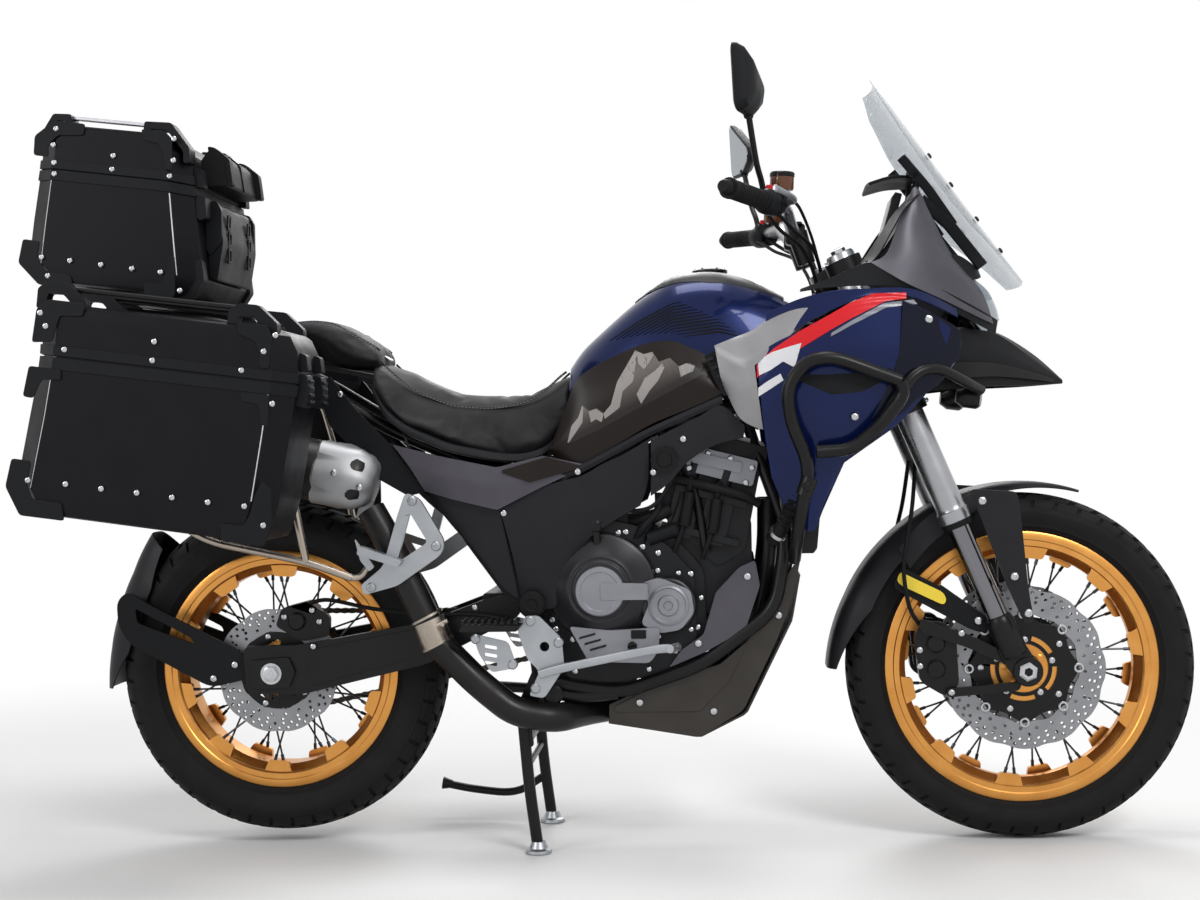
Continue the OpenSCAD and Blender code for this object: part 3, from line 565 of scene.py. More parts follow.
def screw(r=5.0, h=3.5, n=10):
    """Button-head screw standing on Z = 0: a domed profile turned round, with a socket sunk in its top."""
    return revolve([[r, 0], [r, 0.5 * h], [0.82 * r, 0.85 * h], [0.5 * r, h], [0.48 * r, 0.45 * h]], n=n)


def nut(r=7.0, h=6.0):
    """Hexagon nut with a washer under it and a stud through it."""
    return join(revolve([[1.35 * r, 0], [1.35 * r, 1.2]], n=20), revolve([[r, 1.2], [r, h], [0.9 * r, h + 0.6]], n=6),
                revolve([[0.5 * r, h], [0.5 * r, h + 2.2]], n=12))


def placed(shape, spots, z_dir):
    """Copies of a shape, standing on the given spots along one direction."""
    return stamped(shape, [pose(s, z_dir) for s in np.asarray(spots, float)])


def side_screws(spots, *size):
    """Screws of one size that face right, on the given spots."""
    return placed(screw(*size), spots, (0, -1, 0))


# ---------- wheels ----------


def at_axle(centre):
    """Millimetres from a wheel's centre as metres in the frame."""
    return lambda p: np.asarray(p, float) * MM + centre


TYRE_HALF = [[0, 0.76], [0.1, 0.87], [0.2, 0.94], [0.48, 1], [0.75, 0.87], [0.93, 0.5], [1, 0]]


def tyre_shape(outer_r, width, edge_r, bead_r, bead_half, pitches, depth):
    """Carcass turned from a closed section, and tread blocks that stand on it between slanted grooves."""
    half = smooth(TYRE_HALF, 60)
    r = edge_r + 1 + (outer_r - edge_r - 1) * half[:, 0]
    y = half[:, 1] * width / 2
    sunk = np.interp(half[:, 0], [0.62, 0.7], [0, depth])
    lip = 1.4 * np.exp(-((half[:, 0] - 0.13) / 0.025) ** 2) + 0.6 * np.exp(-((half[:, 0] - 0.5) / 0.012) ** 2)
    rc, yc = r - sunk, y + lip
    yc = yc * np.where(sunk > 0, 1 - 0.012 * sunk / depth, 1)
    right = np.stack([rc, -yc], 1)
    left = np.stack([rc, yc], 1)[::-1]
    section = np.vstack([[[bead_r, -bead_half], [edge_r - 6, -bead_half]], right, left[1:],
                         [[edge_r - 6, bead_half], [bead_r, bead_half]]])
    carcass = revolve(section, axis=(0, 1, 0), n=144, closed=True)
    # the tread surface by distance across it: 0 at the crown, out to the shoulder at both sides
    crown_first = np.stack([r, y], 1)[::-1]
    run = np.concatenate([[0], np.cumsum(np.linalg.norm(np.diff(crown_first, axis=0), axis=1))])
    reach = np.interp(0.66, half[:, 0], run[::-1])

    def surface(theta, s, height):
        """Point at an angle and a signed distance across the tread, sunk by height."""
        rr = np.interp(np.abs(s), run, crown_first[:, 0]) - height
        yy = np.interp(np.abs(s), run, crown_first[:, 1]) * np.sign(s)
        return np.stack([rr * np.cos(theta), yy, rr * np.sin(theta)], -1)

    blocks = []
    step = 2 * math.pi / pitches
    rows = [(0.03, 0.30, 0.10, 0.86, 0.55, 0.0), (0.36, 0.66, 0.08, 0.80, 0.75, 0.42),
            (0.71, 1.0, 0.05, 0.88, 0.32, 0.2)]
    k = np.arange(pitches)[:, None, None]
    for side in (-1, 1):
        for s0, s1, t0, t1, slant, shift in rows:
            u = np.linspace(t0, t1, 4)[None, :, None]
            w = np.linspace(s0, s1, 4)
            ring = np.concatenate([w, w[::-1]])[None, None, :]
            height = np.concatenate([np.zeros(4), np.full(4, depth + 1.5)])[None, None, :]
            theta = (k + u + shift + slant * ring + (0.5 if side > 0 else 0)) * step
            P = surface(theta, side * ring * reach + 0 * theta, height + 0 * theta)
            blocks += [grid(p, wrap_v=True, cap_u=True) for p in P]
    return carcass, join(*blocks)


def rim_shape(edge_r, bead_r, bead_half):
    """Rim turned from a closed section with rolled edges, bead seats, a dropped centre and two side rings."""
    half = np.array([[bead_r - 27, 0], [bead_r - 26, bead_half - 26], [bead_r - 14, bead_half - 12],
                     [bead_r - 15, bead_half + 3], [bead_r - 12, bead_half + 6], [bead_r - 2, bead_half + 6],
                     [bead_r, bead_half + 7.5], [edge_r - 3, bead_half + 8], [edge_r, bead_half + 6.5],
                     [edge_r, bead_half + 3.5], [edge_r - 3, bead_half + 1], [bead_r - 1, bead_half + 0.5],
                     [bead_r - 4, bead_half - 10], [bead_r - 18, bead_half - 22], [bead_r - 19, 0]])
    loop = np.vstack([half, (half * [1, -1])[::-1][1:-1]])
    return revolve(loop[::-1], axis=(0, 1, 0), n=128, closed=True)


def rim_tabs(root_r, y, count, first):
    """Spoke tabs: a trapezoid on the inside of the rim, repeated round one side of it."""
    tab = rounded_slab([[-27, 5], [-19, -17], [19, -17], [27, 5]], [1, 5, 5, 1], 3, -6, 6)
    v, q, t = tab
    v = v + [0, y, root_r]
    turns = [Matrix.Rotation(first + k * 2 * math.pi / count, 4, "Y") for k in range(count)]
    return stamped((v, q, t), [np.array(m) for m in turns])


def spokes(flange_r, flange_y, end_r, end_y, count, side, first):
    """Crossed spokes of one side: two leave each tab, each to the far side of the flange, as thin rods."""
    out = []
    tab_angle = first + np.arange(count) * 2 * math.pi / count
    for lean in (-1, 1):
        b = tab_angle + lean * 0.05
        a = tab_angle - lean * 0.60
        start = np.stack([flange_r * np.sin(a), np.full(count, side * (flange_y + lean * 2.2)), flange_r * np.cos(a)],
                         1)
        end = np.stack([end_r * np.sin(b), np.full(count, side * (end_y + lean * 1.5)), end_r * np.cos(b)], 1)
        for p, e in zip(start, end):
            d = unit(p - e)
            out.append(sweep([p, e + d * 16], 1.9, 8))
            out.append(sweep([e + d * 18, e - d * 2], [3.4, 3.0], 6))
    return join(*out)


def drilled(loops):
    """Triangles that fill an outline less its many holes: of a triangulation of all the loops together,
    those that lie in the outline and in no hole."""
    starts = np.cumsum([0, *(len(o) for o in loops)])
    faces = [list(range(a, b)) for a, b in zip(starts[:-1], starts[1:])]
    _, _, tris, source, _, inside = delaunay_2d_cdt([Vector(p) for o in loops for p in o], [], faces, 1, 1e-6)
    return np.array([o[0] for o in source])[np.array([t for t, faces in zip(tris, inside) if list(faces) == [0]])]


def wave_disc(outer_r, inner_r, y0, y1, waves, depth, rows):
    """Petal brake disc: both edges follow a cosine, with rows of drilled holes between them."""
    a = np.linspace(0, 2 * math.pi, waves * 16, endpoint=False)
    edge = outer_r - depth * (0.5 - 0.5 * np.cos(waves * a)) ** 2
    bore = inner_r - depth * (0.5 - 0.5 * np.cos(waves * a + 1.0))
    outline = np.stack([edge * np.cos(a), edge * np.sin(a)], 1)
    inner = np.stack([bore * np.cos(a), bore * np.sin(a)], 1)
    holes = []
    for r, count, shift, hole_r in rows:
        for k in range(count):
            b = (k + shift) * 2 * math.pi / count
            holes.append(circle(hole_r, 8, (r * math.cos(b), r * math.sin(b))))
    return slab(outline, y0, y1, [inner, *holes], drilled([outline, inner, *holes]))


def arc_slot(r0, r1, a0, a1, n=7):
    """Curved slot as a closed outline."""
    a = np.linspace(a0, a1, n)
    return np.vstack([np.stack([r1 * np.cos(a), r1 * np.sin(a)], 1),
                      np.stack([r0 * np.cos(a[::-1]), r0 * np.sin(a[::-1])], 1)])


def make_front_wheel(settings):
    """Front tyre, rim, spokes, hub and the two brake discs."""
    to = at_axle(FRONT_AXLE)
    carcass, blocks = tyre_shape(329, 110, 256, 241.3, 36, settings.tread_pitches, settings.tread_depth * 1000)
    part("front_tyre_carcass", carcass, "tyre_rubber", "front_wheel", ["front_tyre"], to=to, crease=50)
    part("front_tyre_tread", blocks, "tyre_rubber", "front_wheel", to=to, crease=35)
    gold = [rim_shape(256, 241.3, 36)]
    wires = []
    for side, first in ((RIGHT, 0.12), (LEFT, 0.12 + math.pi / 10)):
        gold.append(rim_tabs(222, side * 34, 10, first))
        wires.append(spokes(43, 40, 212, 34, 10, side, first))
    part("front_rim_gold", join(*gold), "anodised_gold", "front_wheel", ["front_rim"], to=to, crease=30)
    part("front_spokes", join(*wires), "dark_spoke_steel", "front_wheel", to=to)
    barrel = revolve([[24, -61], [30, -60], [30, -48], [46, -45], [46, -36], [40, -34], [26, -24], [24, 0],
                      [26, 24], [40, 34], [46, 36], [46, 45], [30, 48], [30, 60], [24, 61]], axis=(0, 1, 0), n=64)
    rings = [slab(circle(66, 60), s * 64 - 1.5, s * 64 + 1.5, [circle(30, 40)]) for s in (RIGHT, LEFT)]
    bosses = [placed(revolve([[9, -3], [9, 4], [7, 5]], n=20), [[34 * math.cos(a), s * 62, 34 * math.sin(a)]
                                                                for a in np.arange(5) * 1.2566 + 0.5], (0, s, 0))
              for s in (RIGHT, LEFT)]
    part("front_hub_gold", join(barrel, *rings, *bosses), "anodised_gold", "front_wheel", ["front_hub_and_discs"],
         to=to, crease=30)
    rows = [(143, 48, 0.0, 3.1), (134, 48, 0.5, 3.1), (125, 24, 0.25, 3.1), (114, 24, 0.75, 3.1)]
    discs = both(wave_disc(152, 104, -67, -62, 12, 4, rows))
    part("front_disc_rings", discs, "ground_disc_steel", "front_wheel", ["front_hub_and_discs"], to=to, bevel=0.0004,
         segments=1)
    slots = [arc_slot(53, 62, k * 1.2566 + 0.5, k * 1.2566 + 1.3) for k in range(5)]
    a = np.linspace(0, 2 * math.pi, 128, endpoint=False)
    edge = 96 + 5 * np.cos(8 * a)
    star = np.stack([edge * np.cos(a), edge * np.sin(a)], 1)
    carrier = both(slab(star, -68.5, -64.5, [circle(46, 40), *slots]))
    part("front_disc_carriers", carrier, "powder_black", "front_wheel", to=to, bevel=0.0008)
    bobbins = [[102 * math.cos(k * math.pi / 4), -69, 102 * math.sin(k * math.pi / 4)] for k in range(8)]
    bolts = [[54 * math.cos(k * 1.2566 + 0.27), -68.5, 54 * math.sin(k * 1.2566 + 0.27)] for k in range(5)]
    far = [[80 * math.cos(k * 1.2566 + 0.6), -68.5, 80 * math.sin(k * 1.2566 + 0.6)] for k in range(5)]
    ring = revolve([[5.0, -2], [9.5, -2], [9.5, 2.0], [8.5, 3.0], [6.0, 3.0], [5.0, 2.0]][::1], n=20, closed=True)
    metal = join(placed(ring, bobbins, (0, -1, 0)), side_screws(bolts + far, 6.5, 4.5, 14))
    part("front_disc_fixings", both(metal), "bare_aluminium", "front_wheel", to=to)


def make_rear_wheel(settings):
    """Rear tyre, rim, spokes, hub, sprocket and brake disc."""
    to = at_axle(REAR_AXLE)
    carcass, blocks = tyre_shape(321, 150, 230, 215.9, 52, settings.tread_pitches, settings.tread_depth * 1000)
    part("rear_tyre_carcass", carcass, "tyre_rubber", "rear_wheel", ["rear_tyre"], to=to, crease=50)
    part("rear_tyre_tread", blocks, "tyre_rubber", "rear_wheel", to=to, crease=35)
    gold, wires = [rim_shape(230, 215.9, 52)], []
    for side, first in ((RIGHT, 0.05), (LEFT, 0.05 + math.pi / 10)):
        gold.append(rim_tabs(196, side * 48, 10, first))
        wires.append(spokes(50, 46, 186, 48, 10, side, first))
    part("rear_rim_gold", join(*gold), "anodised_gold", "rear_wheel", ["rear_rim"], to=to, crease=30)
    part("rear_spokes", join(*wires), "dark_spoke_steel", "rear_wheel", to=to)
    barrel = revolve([[24, -72], [31, -71], [31, -54], [54, -51], [54, -41], [46, -39], [32, -26], [30, 0],
                      [32, 26], [46, 39], [54, 41], [54, 51], [58, 58], [58, 74], [30, 76]], axis=(0, 1, 0), n=64)
    part("rear_hub_gold", barrel, "anodised_gold", "rear_wheel", ["rear_hub_and_disc"], to=to, crease=30)
    rows = [(112, 40, 0.0, 3.0), (103, 40, 0.5, 3.0), (95, 20, 0.25, 3.0)]
    rows.append((86, 20, 0.5, 3.0))
    disc = wave_disc(120, 76, -79, -74, 10, 3, rows)
    part("rear_disc_ring", disc, "ground_disc_steel", "rear_wheel", ["rear_hub_and_disc"], to=to, bevel=0.0004,
         segments=1)
    holes = [rounded(arc_slot(44, 60, k * 1.2566 + 0.2, k * 1.2566 + 0.95, 6), 4, 2) for k in range(5)]
    part("rear_disc_carrier", slab(circle(74, 80), -80.5, -76, [circle(32, 32), *holes]), "powder_black",
         "rear_wheel", to=to, bevel=0.0008)
    bolts = [[67 * math.cos(k * 1.2566 + 0.57), -80.5, 67 * math.sin(k * 1.2566 + 0.57)] for k in range(5)]
    inner = [[40 * math.cos(k * 1.2566 + 0.57), -80.5, 40 * math.sin(k * 1.2566 + 0.57)] for k in range(5)]
    part("rear_disc_fixings", side_screws(bolts + inner, 6, 4, 14), "bare_aluminium", "rear_wheel", to=to)
    teeth = 38
    a = np.linspace(0, 2 * math.pi, teeth * 6, endpoint=False)
    edge = 95.5 + 2.8 * np.clip(np.cos(teeth * a) * 1.6, -1, 1)
    holes = [circle(13, 18, (68 * math.cos(k * math.pi / 3), 68 * math.sin(k * math.pi / 3))) for k in range(6)]
    plate = slab(np.stack([edge * np.cos(a), edge * np.sin(a)], 1), 85.4, 88.4, [circle(26, 32), *holes])
    part("rear_sprocket", plate, "dark_spoke_steel", "rear_wheel", to=to, bevel=0.0004, segments=1)
    nuts = [[46 * math.cos(k * math.pi / 3 + 0.5), 88.4, 46 * math.sin(k * math.pi / 3 + 0.5)] for k in range(6)]
    carrier = revolve([[30, 72], [56, 73], [56, 84], [50, 85.4], [30, 85.4]], axis=(0, 1, 0), n=48)
    part("rear_sprocket_carrier", join(carrier, placed(nut(6, 5), nuts, (0, 1, 0))), "cast_aluminium", "rear_wheel",
         to=to)


def make_chain():
    """Roller chain: outer and inner links by turns round the outer tangents of two sprockets, at even pitch."""
    big, small, gap = 98.5, 33.0, np.array([600.0, 59.0])
    d, lean = np.linalg.norm(gap), math.atan2(gap[1], gap[0])
    beta = math.acos((big - small) / d)
    a = np.linspace(lean + beta, lean - beta + 2 * math.pi, 200)
    b = np.linspace(lean - beta, lean + beta, 80)
    path = np.vstack([np.stack([big * np.cos(a), big * np.sin(a)], 1), gap + np.stack([small * np.cos(b),
            small * np.sin(b)], 1), [[big * math.cos(a[0]), big * math.sin(a[0])]]])
    total = np.linalg.norm(np.diff(path, axis=0), axis=1).sum()
    n = int(round(total / 15.875 / 2)) * 2
    p = evenly(path, n)
    pitch = np.linalg.norm(p[1] - p[0])
    t = np.linspace(0, math.pi, 5)
    end = np.stack([pitch / 2 + 5.6 * np.sin(t), 5.6 * np.cos(t)], 1)
    waist = [[0, -4.2]], [[0, 4.2]]
    link = np.vstack([end, waist[0], -end, waist[1]])
    shapes = []
    for k in range(n):
        mid = (p[k] + p[k + 1]) / 2
        m = np.array(Matrix.Rotation(-math.atan2(*(p[k + 1] - p[k])[::-1]), 4, "Y"))
        m[:3, 3] = [mid[0], 0, mid[1] + 341]
        out = 1.5 if k % 2 else 0.0
        for y in (83.6 - out, 88.9 + out):
            shapes.append(stamped(slab(link, y, y + 1.5), [m]))
        m2 = m.copy()
        m2[:3, 3] = [p[k][0], 0, p[k][1] + 341]
        shapes.append(stamped(revolve([[4.4, 84.9], [4.4, 89]], axis=(0, 1, 0), n=10), [m2]))
        shapes.append(stamped(revolve([[2.2, 81.6], [2.2, 92.2]], axis=(0, 1, 0), n=8), [m2]))
    part("drive_chain_links", join(*shapes), "chain_steel", "frame", ["drive_chain"])


# ---------- sheets, panels and padded pieces ----------


def through(rows, n):
    """Catmull-Rom curves across a stack of rows, n steps in all."""
    flat = np.asarray(rows).reshape(len(rows), -1)
    return smooth(flat, n).reshape(n + 1, *np.asarray(rows).shape[1:])


def lofted(rows, nu=44, nv=8, fold=False, curve=True):
    """Sheet through rows of points: each row is resampled evenly, then joined straight (folds) or smoothly."""
    lines = np.stack([evenly(smooth(r, 80) if curve else np.asarray(r, float), nu) for r in rows])
    k = len(lines)
    if not fold and k > 2:
        return through(lines, (k - 1) * nv)
    s = np.linspace(0, k - 1, (k - 1) * nv + 1)
    i = np.minimum(s.astype(int), k - 2)
    f = (s - i)[:, None, None]
    return lines[i] * (1 - f) + lines[i + 1] * f


def thick(P, t, inward=(0, 1, 0)):
    """Closed sheet: the grid, its copy moved by t towards the inward side along its normals, and a rim."""
    n = unit(np.cross(np.gradient(P, axis=0), np.gradient(P, axis=1)))
    n = n * (1 if (n @ np.asarray(inward, float)).mean() > 0 else -1)
    nu, nv = P.shape[:2]
    v1, q1, _ = grid(P)
    v2, q2, _ = grid(P + n * t)
    idx = np.arange(nu * nv).reshape(nu, nv)
    ring = np.concatenate([idx[:, 0], idx[-1, 1:], idx[-2::-1, -1], idx[0, -2:0:-1]])
    nxt = np.roll(ring, -1)
    m = nu * nv
    return np.vstack([v1, v2]), np.vstack([q1, q2[:, ::-1] + m, np.stack([nxt, ring, ring + m, nxt + m], 1)]), NO_TRI


def panel(name, rows, finish, body="frame", t=3.0, replaces=(), sides=2, inward=(0, 1, 0), bevel=0.0006, **how):
    """Moulded panel of the right side from rows in bike millimetres, and its mirror image on the left."""
    shape = thick(lofted(rows, **how), t, inward)
    shape = both(shape) if sides == 2 else shape
    return welded(name, shape, finish, body, replaces, bevel=bevel, crease=28)


def section_loft(rows, power, nu, nv, grow=0.0):
    """Closed body along X: superellipse sections whose half width changes from low to high, smoothly between rows."""
    r = smooth(rows, nu)
    a = np.linspace(0, 2 * math.pi, nv, endpoint=False)
    up = np.sign(np.sin(a)) * np.abs(np.sin(a)) ** power
    out = np.sign(np.cos(a)) * np.abs(np.cos(a)) ** power
    v = (up + 1) / 2
    y = out[None] * (r[:, 1:2] + (r[:, 2:3] - r[:, 1:2]) * v[None] + grow)
    z = r[:, 3:4] - grow + (r[:, 4:5] - r[:, 3:4] + 2 * grow) * v[None]
    return grid(np.stack([np.broadcast_to(r[:, :1], y.shape), y, z], -1), wrap_v=True, cap_u=True)


TANK_ROWS = [[574, 88, 34, 850, 914], [600, 118, 56, 832, 948], [640, 140, 84, 824, 984], [690, 154, 104, 826, 1026],
             [735, 162, 114, 834, 1058], [780, 166, 119, 846, 1082], [850, 167, 120, 858, 1088],
             [905, 165, 114, 870, 1076], [955, 160, 104, 886, 1054], [1000, 150, 94, 900, 1028]]


def tank_side(x, z, lift=1.0):
    """Point on the tank's right side at a given X and Z, a little proud of it."""
    r = smooth(TANK_ROWS, 200)
    low, high = (np.interp(x, r[:, 0], r[:, k]) for k in (3, 4))
    wl, wh = (np.interp(x, r[:, 0], r[:, k]) for k in (1, 2))
    v = np.clip((z - low) / (high - low), 0.001, 0.999)
    up = 2 * v - 1
    sine = np.abs(up) ** (1 / 0.62)
    out = np.sqrt(np.clip(1 - sine**2, 0, 1)) ** 0.62
    return np.stack([x, -(out * (wl + (wh - wl) * v)) - lift, z + 0 * x], -1)


def make_tank():
    """Fuel tank with its ridge trim, louvres and filler."""
    part("fuel_tank_shell", section_loft(TANK_ROWS, 0.62, 60, 72), "navy_lacquer", "frame", ["fuel_tank"], crease=50)
    # glossy black trim along the tank's ridge, from the filler to the cowl
    x = np.linspace(700, 985, 40)
    half = np.interp(x, [700, 760, 850, 930, 985], [30, 88, 104, 92, 66])
    s = np.linspace(-1, 1, 33)
    Y = s[None] * half[:, None]
    v = np.linspace(0.5, 1, 80)
    crest = []
    for k, row in enumerate(smooth(TANK_ROWS, 200)[np.searchsorted(smooth(TANK_ROWS, 200)[:, 0], x)]):
        out = np.clip(1 - (2 * v - 1) ** (2 / 0.62), 0, 1) ** 0.31 * (row[1] + (row[2] - row[1]) * v)
        crest.append(np.interp(np.abs(Y[k]), out[::-1], (row[3] + (row[4] - row[3]) * v)[::-1]))
    P = np.stack([np.broadcast_to(x[:, None], Y.shape), Y, np.stack(crest) + 3.5 - 2.5 * s[None] ** 8], -1)
    welded("tank_top_trim", thick(P, 5, (0, 0, -1)), "slate_plastic", bevel=0.001)
    cap = revolve([[34, 0], [34, 5], [31, 7], [24, 7.5], [23, 6], [21, 6], [20, 8], [8, 8.5]], n=48)
    screws = stamped(screw(2.2, 1.6, 8), [pose([28 * math.cos(a), 28 * math.sin(a), 7.4])
                                          for a in np.arange(6) * 1.047])
    part("tank_filler_cap", stamped(join(cap, screws), [pose([845, 0, 1091], (0.0, 0, 1))]), "powder_black")
    # louvre strips down each flank
    strips = []
    for k in range(12):
        x0 = 654 + k * 13.0
        x = np.linspace(x0, x0 + 138 - k * 3, 30)
        z = np.interp(x, [640, 715, 775, 860, 940], [950, 994, 1024, 1034, 1016]) + 2 - k * 6.0
        centre = tank_side(x, z, 0.2)
        w = 1.8 * np.sin(np.linspace(0.12, math.pi - 0.12, len(x)))[:, None]
        ring = np.array([[-1, -0.3], [1, -0.3], [1, 1.1], [-1, 1.1]])
        P = centre[:, None] + np.stack([0 * w * ring[None, :, 0], -ring[None, :, 1] + 0 * w, w * ring[None, :, 0]],
                                       -1)
        strips.append(grid(P, wrap_v=True, cap_u=True))
    welded("tank_louvres", both(join(*strips)), "moulded_black")


BROWN_LOW = [[540, -146, 750], [572, -160, 735], [602, -166, 730], [666, -174, 762], [733, -181, 800],
             [800, -187, 826], [866, -190, 853]]
BROWN_HIGH = [[545, -148, 768], [568, -152, 820], [592, -154, 880], [620, -156, 905], [666, -158, 928],
              [718, -162, 948], [771, -166, 954], [806, -170, 941], [838, -176, 924], [854, -182, 894],
              [871, -188, 860]]
BROWN_MID = [[543, -152, 759], [575, -166, 780], [606, -174, 808], [666, -182, 850], [733, -188, 878],
             [800, -192, 882], [868, -192, 857]]


def brown_rows():
    """The three lines that the brown side panel is lofted through."""
    return [BROWN_LOW, BROWN_MID, BROWN_HIGH]


def on_sheet(P, x, z, lift):
    """Points of a sheet nearest to given X and Z, lifted off its right side: inverse-distance mean of its Y."""
    flat = P.reshape(-1, 3)
    d = (flat[None, :, 0] - np.asarray(x).reshape(-1, 1)) ** 2 + (flat[None, :, 2] - np.asarray(z).reshape(-1,
            1)) ** 2
    w = 1 / (d + 4.0) ** 2
    y = (w * flat[None, :, 1]).sum(1) / w.sum(1)
    return np.stack([np.ravel(x), y - lift, np.ravel(z)], 1).reshape(np.shape(x) + (3,))


def film(P, low, high, lift=0.7, n=40, m=6):
    """Printed film on a sheet: the strip between two lines in X and Z, laid on it with a hair of thickness."""
    a, b = evenly(low, n), evenly(high, n)
    s = np.linspace(0, 1, m + 1)[None, :, None]
    flat = a[:, None] * (1 - s) + b[:, None] * s
    return thick(on_sheet(P, flat[..., 0], flat[..., 1], lift), lift * 0.8)


RIDGE = [[577, 770], [585, 800], [598, 815], [606, 838], [618, 828], [634, 832], [648, 822], [660, 838],
         [672, 880], [690, 910], [706, 938], [722, 930], [738, 934], [750, 915], [770, 922], [786, 906],
         [806, 912], [822, 902], [842, 900]]
FOOT = [[577, 766], [640, 794], [706, 828], [770, 860], [842, 896]]
FACES = (([[580, 770], [596, 792], [606, 806], [608, 832]], [[577, 770], [585, 800], [598, 815], [606, 838]]),
         ([[648, 812], [676, 832], [682, 862], [702, 880], [709, 930]], [[646, 822], [660, 838], [672, 880],
        [690, 910], [706, 938]]), ([[712, 912], [722, 902], [732, 914], [740, 928]], [[708, 936], [722, 930],
        [738, 934]]), ([[716, 838], [732, 862], [748, 880], [760, 904]], [[708, 856], [724, 886], [742, 898],
        [756, 912]]), ([[622, 806], [632, 812], [642, 806]], [[618, 826], [632, 831], [646, 821]]),
         ([[790, 886], [802, 892], [812, 896]], [[786, 905], [800, 911], [816, 906]]))


def make_side_panels(settings):
    """Brown panels under the tank, their printed ridge film and the covers under the seat."""
    t = settings.panel_thickness * 1000
    P = lofted(brown_rows(), nu=60, nv=12)
    welded("tank_side_panels", both(thick(P, t)), "brown_black", "frame", ["side_panels"], bevel=0.0012)
    ridge = film(P, FOOT, RIDGE, 0.5, 120, 8)
    shade = join(*[film(P, low, high, 0.9, 24, 3) for high, low in FACES])
    welded("ridge_film_pale", both(ridge), "pale_decal")
    welded("ridge_film_shade", both(shade), "pale_print")
    bar = [[[488, -164, 686], [562, -170, 703], [602, -174, 713], [666, -180, 745], [732, -186, 779],
            [866, -192, 836]], [[488, -170, 694], [562, -176, 711], [602, -180, 721], [666, -186, 753],
                                [732, -192, 787], [866, -196, 843]], [[488, -165, 702], [562, -171, 719],
                                                                      [602, -175, 729], [666, -181, 761],
                                                                      [732, -187, 795], [864, -193, 851]]]
    panel("side_bars", bar, "slate_plastic", t=t, fold=True, nv=2)
    cover = [[[308, -168, 684], [360, -172, 668], [444, -176, 647], [520, -176, 684], [600, -172, 720]],
             [[282, -172, 728], [345, -182, 712], [445, -186, 690], [524, -182, 712], [602, -174, 724]],
             [[249, -166, 772], [341, -176, 748], [445, -180, 726], [531, -178, 746], [603, -172, 730]]]
    panel("side_cover_long", cover, "grey_satin", t=t, replaces=["side_covers"], fold=True, nv=5, curve=False)
    insert = [[[456, -187, 717], [506, -187, 697], [602, -178, 722]], [[456, -186, 721], [539, -184, 744],
            [602, -177, 727]]]
    panel("side_insert_brown", insert, "brown_black", t=t, fold=True, nv=2, curve=False)
    # dark panel under the seat's back, and the backing behind the joint of the lower covers
    tail = rounded_slab([[129, 905], [176, 842], [245, 769], [307, 682], [275, 675], [205, 716], [159, 778],
                         [127, 811], [110, 868]], 7, 3, -158, -148)
    back = rounded_slab([[330, 690], [446, 664], [510, 600], [506, 470], [462, 470], [376, 590]], 8, 2, -146, -140)
    welded("tail_side_panels", both(join(tail, back)), "moulded_black", bevel=0.002)
    lower = [[[484, -150, 478], [500, -152, 462], [545, -152, 462], [560, -154, 500], [604, -156, 580],
              [656, -158, 620], [710, -160, 650]], [[470, -162, 560], [506, -168, 570], [560, -172, 602],
                                                    [610, -172, 640], [660, -172, 668], [700, -172, 690],
                                                    [726, -170, 700]], [[446, -162, 652], [486, -166, 672],
            [540, -170, 692], [604, -174, 709], [640, -176, 728], [680, -178, 746], [728, -180, 772]]]
    panel("lower_cover_front", lower, "slate_plastic", t=t, replaces=["lower_covers"], nv=8)
    left = [[[262, -150, 800], [300, -158, 715], [330, -160, 694], [400, -162, 670], [446, -160, 650]],
            [[300, -150, 700], [340, -154, 640], [400, -156, 590], [440, -154, 560], [468, -150, 540]],
            [[352, -146, 640], [380, -148, 590], [420, -150, 540], [450, -150, 500], [478, -148, 478]]]
    panel("lower_cover_rear", left, "slate_plastic", t=t, nv=6)
    top = [[[730, -178, 668], [762, -180, 690], [800, -182, 730], [850, -186, 760], [902, -190, 772]],
           [[732, -186, 716], [770, -188, 740], [812, -190, 770], [860, -192, 790], [905, -192, 792]],
           [[732, -182, 770], [780, -186, 794], [820, -188, 812], [862, -192, 832], [900, -192, 800]]]
    panel("frame_side_covers", top, "slate_plastic", t=t, nv=5)
    cap = revolve([[25, 0], [25, 8], [22, 11], [12, 11.5], [10, 10]], n=40)
    teeth = np.linspace(0, 2 * math.pi, 96, endpoint=False)
    gear_r = 24 + 2.0 * np.clip(np.cos(12 * teeth) * 3, -1, 1)
    gear = turned(upright(slab(np.stack([gear_r * np.cos(teeth), gear_r * np.sin(teeth)], 1), 0, 9)), (0, 0, 0),
                  (0, 0, 1))
    caps = join(placed(cap, [[505, -168, 470]], (0, -1, 0)),
                placed(join(gear, revolve([[14, 9], [13, 12], [5, 12]], n=28)), [[757, -186, 735]], (0, -1, 0)))
    welded("side_caps", both(caps), "soft_rubber", bevel=0.0006)
    spots = [[150, -158, 868], [208, -158, 742], [736, -190, 712], [792, -193, 772], [300, -164, 712],
             [455, -163, 640], [486, -170, 700], [596, -178, 715]]
    part("side_screws", both(side_screws(spots, 6, 4, 16)), "bare_aluminium")


